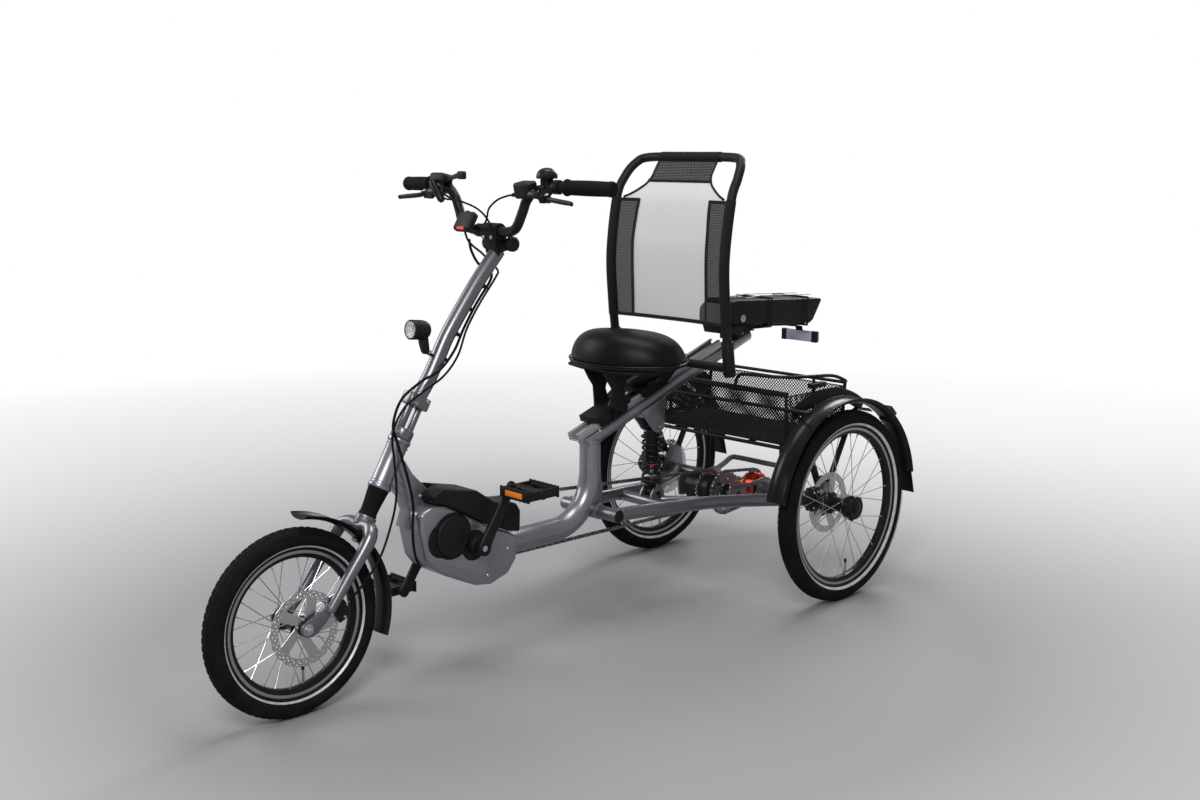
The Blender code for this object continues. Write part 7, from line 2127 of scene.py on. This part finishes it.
def build_backrest():
    half = smooth(mm((195, 370, 615), (195, 360, 685), (195, 351, 763), (195, 344, 890), (195, 365, 1034),
        (192, 392, 1088), (178, 418, 1122), (145, 434, 1136.5), (0, 436, 1138)), 8)
    hoop = Shape().pipe(half + mirror_x(half[:-1])[::-1], HOOP_RADIUS, 28)
    piece("backrest_tube", hoop, "backrest", ["black_steel"], ["backrest_hoop"])
    net = Shape()
    net.take(net_patch(BACK_LOW, PANEL_TOP, opposite(back_half), opposite(panel_edge), 10, 56), 1)
    net.take(net_patch(BACK_LOW, PANEL_TOP, panel_edge, back_half, 10, 56), 1)
    net.take(net_patch(BACK_LOW, PANEL_TOP, opposite(panel_edge), panel_edge, 40, 56))
    net.take(net_patch(PANEL_TOP, BAND_LOW, opposite(corner_edge), corner_edge, 48, 16))
    net.take(net_patch(BAND_LOW, BAND_HIGH, opposite(corner_edge), corner_edge, 48, 22, ripple=0.0016), 1)
    mesh = net.mesh("backrest_net", 0.0, 60)
    whole = put("backrest_net", mesh, "backrest", ["pale_net", "dark_net"], ["backrest_mesh"])
    trims = Shape()
    seams = []
    for side in (-1, 1):
        seams.append(tape(trims, [(side * panel_edge(z), z) for z in (0.731, 0.8, 0.87, 0.94, 0.99,
            1.032)]))
        seams.append(tape(trims, [(side * x, z) for x, z in ((0.121, 1.03), (0.15, 1.03), (0.181, 1.03))],
            0.008))
        tape(trims, [(side * corner_edge(z), z) for z in (1.036, 1.045, 1.058, 1.072, 1.09, 1.11, 1.128)],
            0.006)
    seams.append(tape(trims, [(x, BAND_LOW) for x in (-0.108, -0.05, 0.0, 0.05, 0.108)], 0.008))
    seams.append(tape(trims, [(x, 0.7335) for x in (-0.182, -0.12, -0.06, 0.0, 0.06, 0.12, 0.182)], 0.01))
    binding = piece("net_binding", trims, "backrest", ["woven_tape"], sharp=50)
    sleeves = Shape()
    side_run = [p for p in half if 0.728 <= p.z <= 1.036]
    sleeve = Shape().pipe(side_run, HOOP_RADIUS + 0.0014, 28)
    sleeves.both(sleeve)
    top_run = [p for p in half if p.x <= 0.104]
    whole_top = top_run + mirror_x(top_run[:-1])[::-1]
    sleeves.pipe(whole_top, HOOP_RADIUS + 0.0014, 28)
    sleeves.pipe([p + at(0, -1, -0.4) for p in whole_top], HOOP_RADIUS + 0.0006, 28)
    covers = piece("net_sleeves", sleeves, "backrest", ["woven_tape"], sharp=50)
    patch = net_patch(0.732, 0.785, lambda z: 0.104 + 0.018 * max(0.0, (z - 0.762) / 0.023) ** 2,
        lambda z: 0.1815, 14, 14, 0.0016)
    pocket = Shape().take(patch)
    pocket.points = [p - Y_AXIS * 0.0016 for p in pocket.points]
    corner = piece("net_pocket", pocket, "backrest", ["grey_cloth"], sharp=50)
    stitch = Shape().pipe(mm((0, -2, -0.2), (0, -1.2, 0.6), (0, 1.2, 0.6), (0, 2, -0.2)), 0.00035,
        6).mesh("stitch")
    threads = Shape()
    runs = []
    for path in seams:
        for offset in (-0.0028, 0.0028):
            run = []
            for k, p in enumerate(path):
                along = heading(path, k)
                side = along.cross(-Y_AXIS).normalized()
                run.append(p + side * offset + side.cross(along) * 0.0016)
            runs.append(run)
    for side in (-1, 1):
        runs.append([Vector((side * (p.x - 0.0085), p.y + 0.0105, p.z)) for p in side_run])
    for run in runs:
        count = max(4, int(route_length(run) / sizes().stitch_gap))
        threads.take(along_path("stitches", stitch, run, count, "thread"))
    sewn = piece("net_stitches", threads, "backrest", ["thread"], sharp=50)


def build_stage():
    """A pale floor that turns white away from the tricycle, three soft lamps and the camera."""
    reach = 60.0
    corners = [(-reach, -reach), (reach, -reach), (reach, reach), (-reach, reach)]
    mesh = plain_mesh("floor", [(x, y, -0.0005) for x, y in corners], [], [(0, 1, 2, 3)])
    mesh.materials.append(floor_finish())
    linked("floor", mesh)
    world = bpy.data.worlds.new("studio")
    bpy.context.scene.world = world
    world.use_nodes = True
    world.node_tree.nodes.clear()
    sky = Network(world.node_tree)
    seen = seen_directly(sky)
    level = 0.22 + seen * 0.78
    light = sky.node("ShaderNodeBackground", {"Color": (1.0, 1.0, 1.0, 1.0), "Strength": level})
    out = world.node_tree.nodes.new("ShaderNodeOutputWorld")
    world.node_tree.links.new(light.socket, out.inputs["Surface"])
    for name, place, size, power in (("key", (2.4, -2.8, 3.2), 1.6, 125.0),
            ("fill", (-3.0, -1.8, 2.2), 2.2, 60.0), ("rim", (-0.8, 3.4, 2.8), 1.8, 95.0),
            ("top", (0.2, 0.2, 3.6), 2.0, 60.0)):
        lamp = bpy.data.lights.new(name, "AREA")
        lamp.energy = power
        lamp.shape = "DISK"
        lamp.size = size
        made = linked(name, lamp)
        made.location = place
        aim = at(0, 0, 450) - Vector(place)
        made.rotation_euler = aim.to_track_quat("-Z", "Y").to_euler()
    lens = bpy.data.cameras.new("camera")
    lens.sensor_width = 36.0
    lens.lens = CAMERA_LENS
    lens.clip_start = 0.05
    camera = linked("camera", lens)
    right, up, forward = (Vector(v) for v in (CAMERA_RIGHT, CAMERA_UP, CAMERA_FORWARD))
    turn = Matrix((right, up, -forward)).transposed().to_4x4()
    camera.matrix_world = Matrix.Translation(CAMERA_PLACE) @ turn
    bpy.context.scene.camera = camera
    bpy.context.scene.view_settings.view_transform = "Standard"


def seen_directly(network):
    """1 where the camera sees the surface, straight or in a mirror or through glass."""
    path = network.tree.nodes.new("ShaderNodeLightPath")
    camera, glossy, through = (Signal(network, path.outputs[name]) for name in ("Is Camera Ray",
        "Is Glossy Ray", "Is Transmission Ray"))
    return camera.math("MAXIMUM", through).math("MAXIMUM", glossy * 0.18)


def floor_finish():
    """Pale floor near the object, pure white a few metres off."""
    look = Finish("studio_floor", {"Roughness": 0.75, "Specular IOR Level": 0.2})
    away = look.node("ShaderNodeVectorMath", {0: look.place()}, "Value", operation="LENGTH")
    far = look.ramp((away - 1.0) * 0.3, ((0.0, 0.0), (1.0, 1.0)))
    look.feed("Base Color", look.blend(far, tuple(colours().floor), (0.8, 0.8, 0.8)))
    white = look.node("ShaderNodeEmission", {"Color": (1.0, 1.0, 1.0, 1.0), "Strength": 1.0})
    shown = far * seen_directly(look)
    both = look.node("ShaderNodeMixShader", {0: shown, 1: Signal(look, look.shader.outputs[0]), 2: white})
    look.tree.links.new(both.socket, look.tree.nodes["Material Output"].inputs["Surface"])
    return look.material


class BuildFrameTubes(bpy.types.Operator):
    """Painted tubes, gussets and guards of the frame"""
    bl_idname = "tricycle.frame_tubes"
    bl_label = "Frame tubes"

    def execute(self, context):
        build_frame_tubes()
        return {"FINISHED"}


class BuildDriveUnit(bpy.types.Operator):
    """Motor housing and its covers"""
    bl_idname = "tricycle.drive_unit"
    bl_label = "Drive unit"

    def execute(self, context):
        build_drive_unit()
        return {"FINISHED"}


class BuildBattery(bpy.types.Operator):
    """Battery, lock and its tray"""
    bl_idname = "tricycle.battery"
    bl_label = "Battery"

    def execute(self, context):
        build_battery()
        return {"FINISHED"}


class BuildRearLamp(bpy.types.Operator):
    """Lamp under the carrier"""
    bl_idname = "tricycle.rear_lamp"
    bl_label = "Rear lamp"

    def execute(self, context):
        build_rear_lamp()
        return {"FINISHED"}


class BuildSteeringColumn(bpy.types.Operator):
    """Stem and its clamps"""
    bl_idname = "tricycle.steering_column"
    bl_label = "Steering column"

    def execute(self, context):
        build_steering_column()
        return {"FINISHED"}


class BuildHandlebar(bpy.types.Operator):
    """Bar, grips and their ribs"""
    bl_idname = "tricycle.handlebar"
    bl_label = "Handlebar"

    def execute(self, context):
        build_handlebar()
        return {"FINISHED"}


class BuildBarControls(bpy.types.Operator):
    """Brake levers, shifter, bell, display and pad"""
    bl_idname = "tricycle.bar_controls"
    bl_label = "Bar controls"

    def execute(self, context):
        build_bar_controls()
        return {"FINISHED"}


class BuildHeadlight(bpy.types.Operator):
    """Lamp, lens and bracket"""
    bl_idname = "tricycle.headlight"
    bl_label = "Headlight"

    def execute(self, context):
        build_headlight()
        return {"FINISHED"}


class BuildHoses(bpy.types.Operator):
    """Brake hose and motor lead"""
    bl_idname = "tricycle.hoses"
    bl_label = "Hoses"

    def execute(self, context):
        build_hoses()
        return {"FINISHED"}


class BuildFork(bpy.types.Operator):
    """Fork, boot and front caliper"""
    bl_idname = "tricycle.fork"
    bl_label = "Fork"

    def execute(self, context):
        build_fork()
        return {"FINISHED"}


class BuildFrontFender(bpy.types.Operator):
    """Front mudguard and a block on it"""
    bl_idname = "tricycle.front_fender"
    bl_label = "Front fender"

    def execute(self, context):
        build_front_fender()
        return {"FINISHED"}


class BuildWheels(bpy.types.Operator):
    """Tyres, rims, hubs, spokes and discs"""
    bl_idname = "tricycle.wheels"
    bl_label = "Wheels"

    def execute(self, context):
        build_wheels()
        return {"FINISHED"}


class BuildCranks(bpy.types.Operator):
    """Crank arms, spider and chainring"""
    bl_idname = "tricycle.cranks"
    bl_label = "Cranks"

    def execute(self, context):
        build_cranks()
        return {"FINISHED"}


class BuildPedals(bpy.types.Operator):
    """Pedal cages and reflectors"""
    bl_idname = "tricycle.pedals"
    bl_label = "Pedals"

    def execute(self, context):
        build_pedals()
        return {"FINISHED"}


class BuildGearHub(bpy.types.Operator):
    """Hub shell and its sprockets"""
    bl_idname = "tricycle.gear_hub"
    bl_label = "Gear hub"

    def execute(self, context):
        build_gear_hub()
        return {"FINISHED"}


class BuildDifferential(bpy.types.Operator):
    """Red case, bolts and sprocket"""
    bl_idname = "tricycle.differential"
    bl_label = "Differential"

    def execute(self, context):
        build_differential()
        return {"FINISHED"}


class BuildChains(bpy.types.Operator):
    """Links of both chains"""
    bl_idname = "tricycle.chains"
    bl_label = "Chains"

    def execute(self, context):
        build_chains()
        return {"FINISHED"}


class BuildSwingarm(bpy.types.Operator):
    """Beams, axle tubes, plates and hoop"""
    bl_idname = "tricycle.swingarm"
    bl_label = "Swingarm"

    def execute(self, context):
        build_swingarm()
        return {"FINISHED"}


class BuildRearCalipers(bpy.types.Operator):
    """Brake calipers of the rear wheels"""
    bl_idname = "tricycle.rear_calipers"
    bl_label = "Rear calipers"

    def execute(self, context):
        build_rear_calipers()
        return {"FINISHED"}


class BuildRearFenders(bpy.types.Operator):
    """Rear mudguards, lamps and flaps"""
    bl_idname = "tricycle.rear_fenders"
    bl_label = "Rear fenders"

    def execute(self, context):
        build_rear_fenders()
        return {"FINISHED"}


class BuildBasket(bpy.types.Operator):
    """Rods, guards and net of the basket"""
    bl_idname = "tricycle.basket"
    bl_label = "Basket"

    def execute(self, context):
        build_basket()
        return {"FINISHED"}


class BuildShock(bpy.types.Operator):
    """Damper, collars and spring"""
    bl_idname = "tricycle.shock"
    bl_label = "Shock"

    def execute(self, context):
        build_shock()
        return {"FINISHED"}


class BuildSaddle(bpy.types.Operator):
    """Padded saddle and its rim"""
    bl_idname = "tricycle.saddle"
    bl_label = "Saddle"

    def execute(self, context):
        build_saddle()
        return {"FINISHED"}


class BuildSeatClamps(bpy.types.Operator):
    """Brackets, quick levers and rail"""
    bl_idname = "tricycle.seat_clamps"
    bl_label = "Seat clamps"

    def execute(self, context):
        build_seat_clamps()
        return {"FINISHED"}


class BuildBackrest(bpy.types.Operator):
    """Hoop, net panels, tape and stitches"""
    bl_idname = "tricycle.backrest"
    bl_label = "Backrest"

    def execute(self, context):
        build_backrest()
        return {"FINISHED"}


class BuildStage(bpy.types.Operator):
    """Floor, lamps and camera"""
    bl_idname = "tricycle.stage"
    bl_label = "Studio"

    def execute(self, context):
        build_stage()
        return {"FINISHED"}


OPERATORS = [
    BuildFrameTubes, BuildDriveUnit, BuildBattery, BuildRearLamp, BuildSteeringColumn, BuildHandlebar,
    BuildBarControls, BuildHeadlight, BuildHoses, BuildFork, BuildFrontFender, BuildWheels, BuildCranks,
    BuildPedals, BuildGearHub, BuildDifferential, BuildChains, BuildSwingarm, BuildRearCalipers,
    BuildRearFenders, BuildBasket, BuildShock, BuildSaddle, BuildSeatClamps, BuildBackrest, BuildStage,
]


class TricyclePanel(bpy.types.Panel):
    """Lists the steps and what a user may change"""
    bl_idname = "VIEW3D_PT_tricycle"
    bl_label = "Electric tricycle"
    bl_space_type = "VIEW_3D"
    bl_region_type = "UI"
    bl_category = "Tricycle"

    def draw(self, context):
        for group in (context.scene.tricycle_sizes, context.scene.tricycle_colours):
            box = self.layout.box()
            for item in group.bl_rna.properties:
                if item.is_runtime:
                    box.prop(group, item.identifier)
        column = self.layout.column(align=True)
        for step in OPERATORS:
            column.operator(step.bl_idname)


CLASSES = [TricycleSizes, TricycleColours, *OPERATORS, TricyclePanel]


def register():
    for item in CLASSES:
        bpy.utils.register_class(item)
    bpy.types.Scene.tricycle_sizes = PointerProperty(type=TricycleSizes)
    bpy.types.Scene.tricycle_colours = PointerProperty(type=TricycleColours)


def unregister():
    del bpy.types.Scene.tricycle_colours
    del bpy.types.Scene.tricycle_sizes
    for item in reversed(CLASSES):
        bpy.utils.unregister_class(item)


def main():
    register()
    for step in OPERATORS:
        group, name = step.bl_idname.split(".")
        getattr(getattr(bpy.ops, group), name)()


if __name__ == "__main__":
    main()
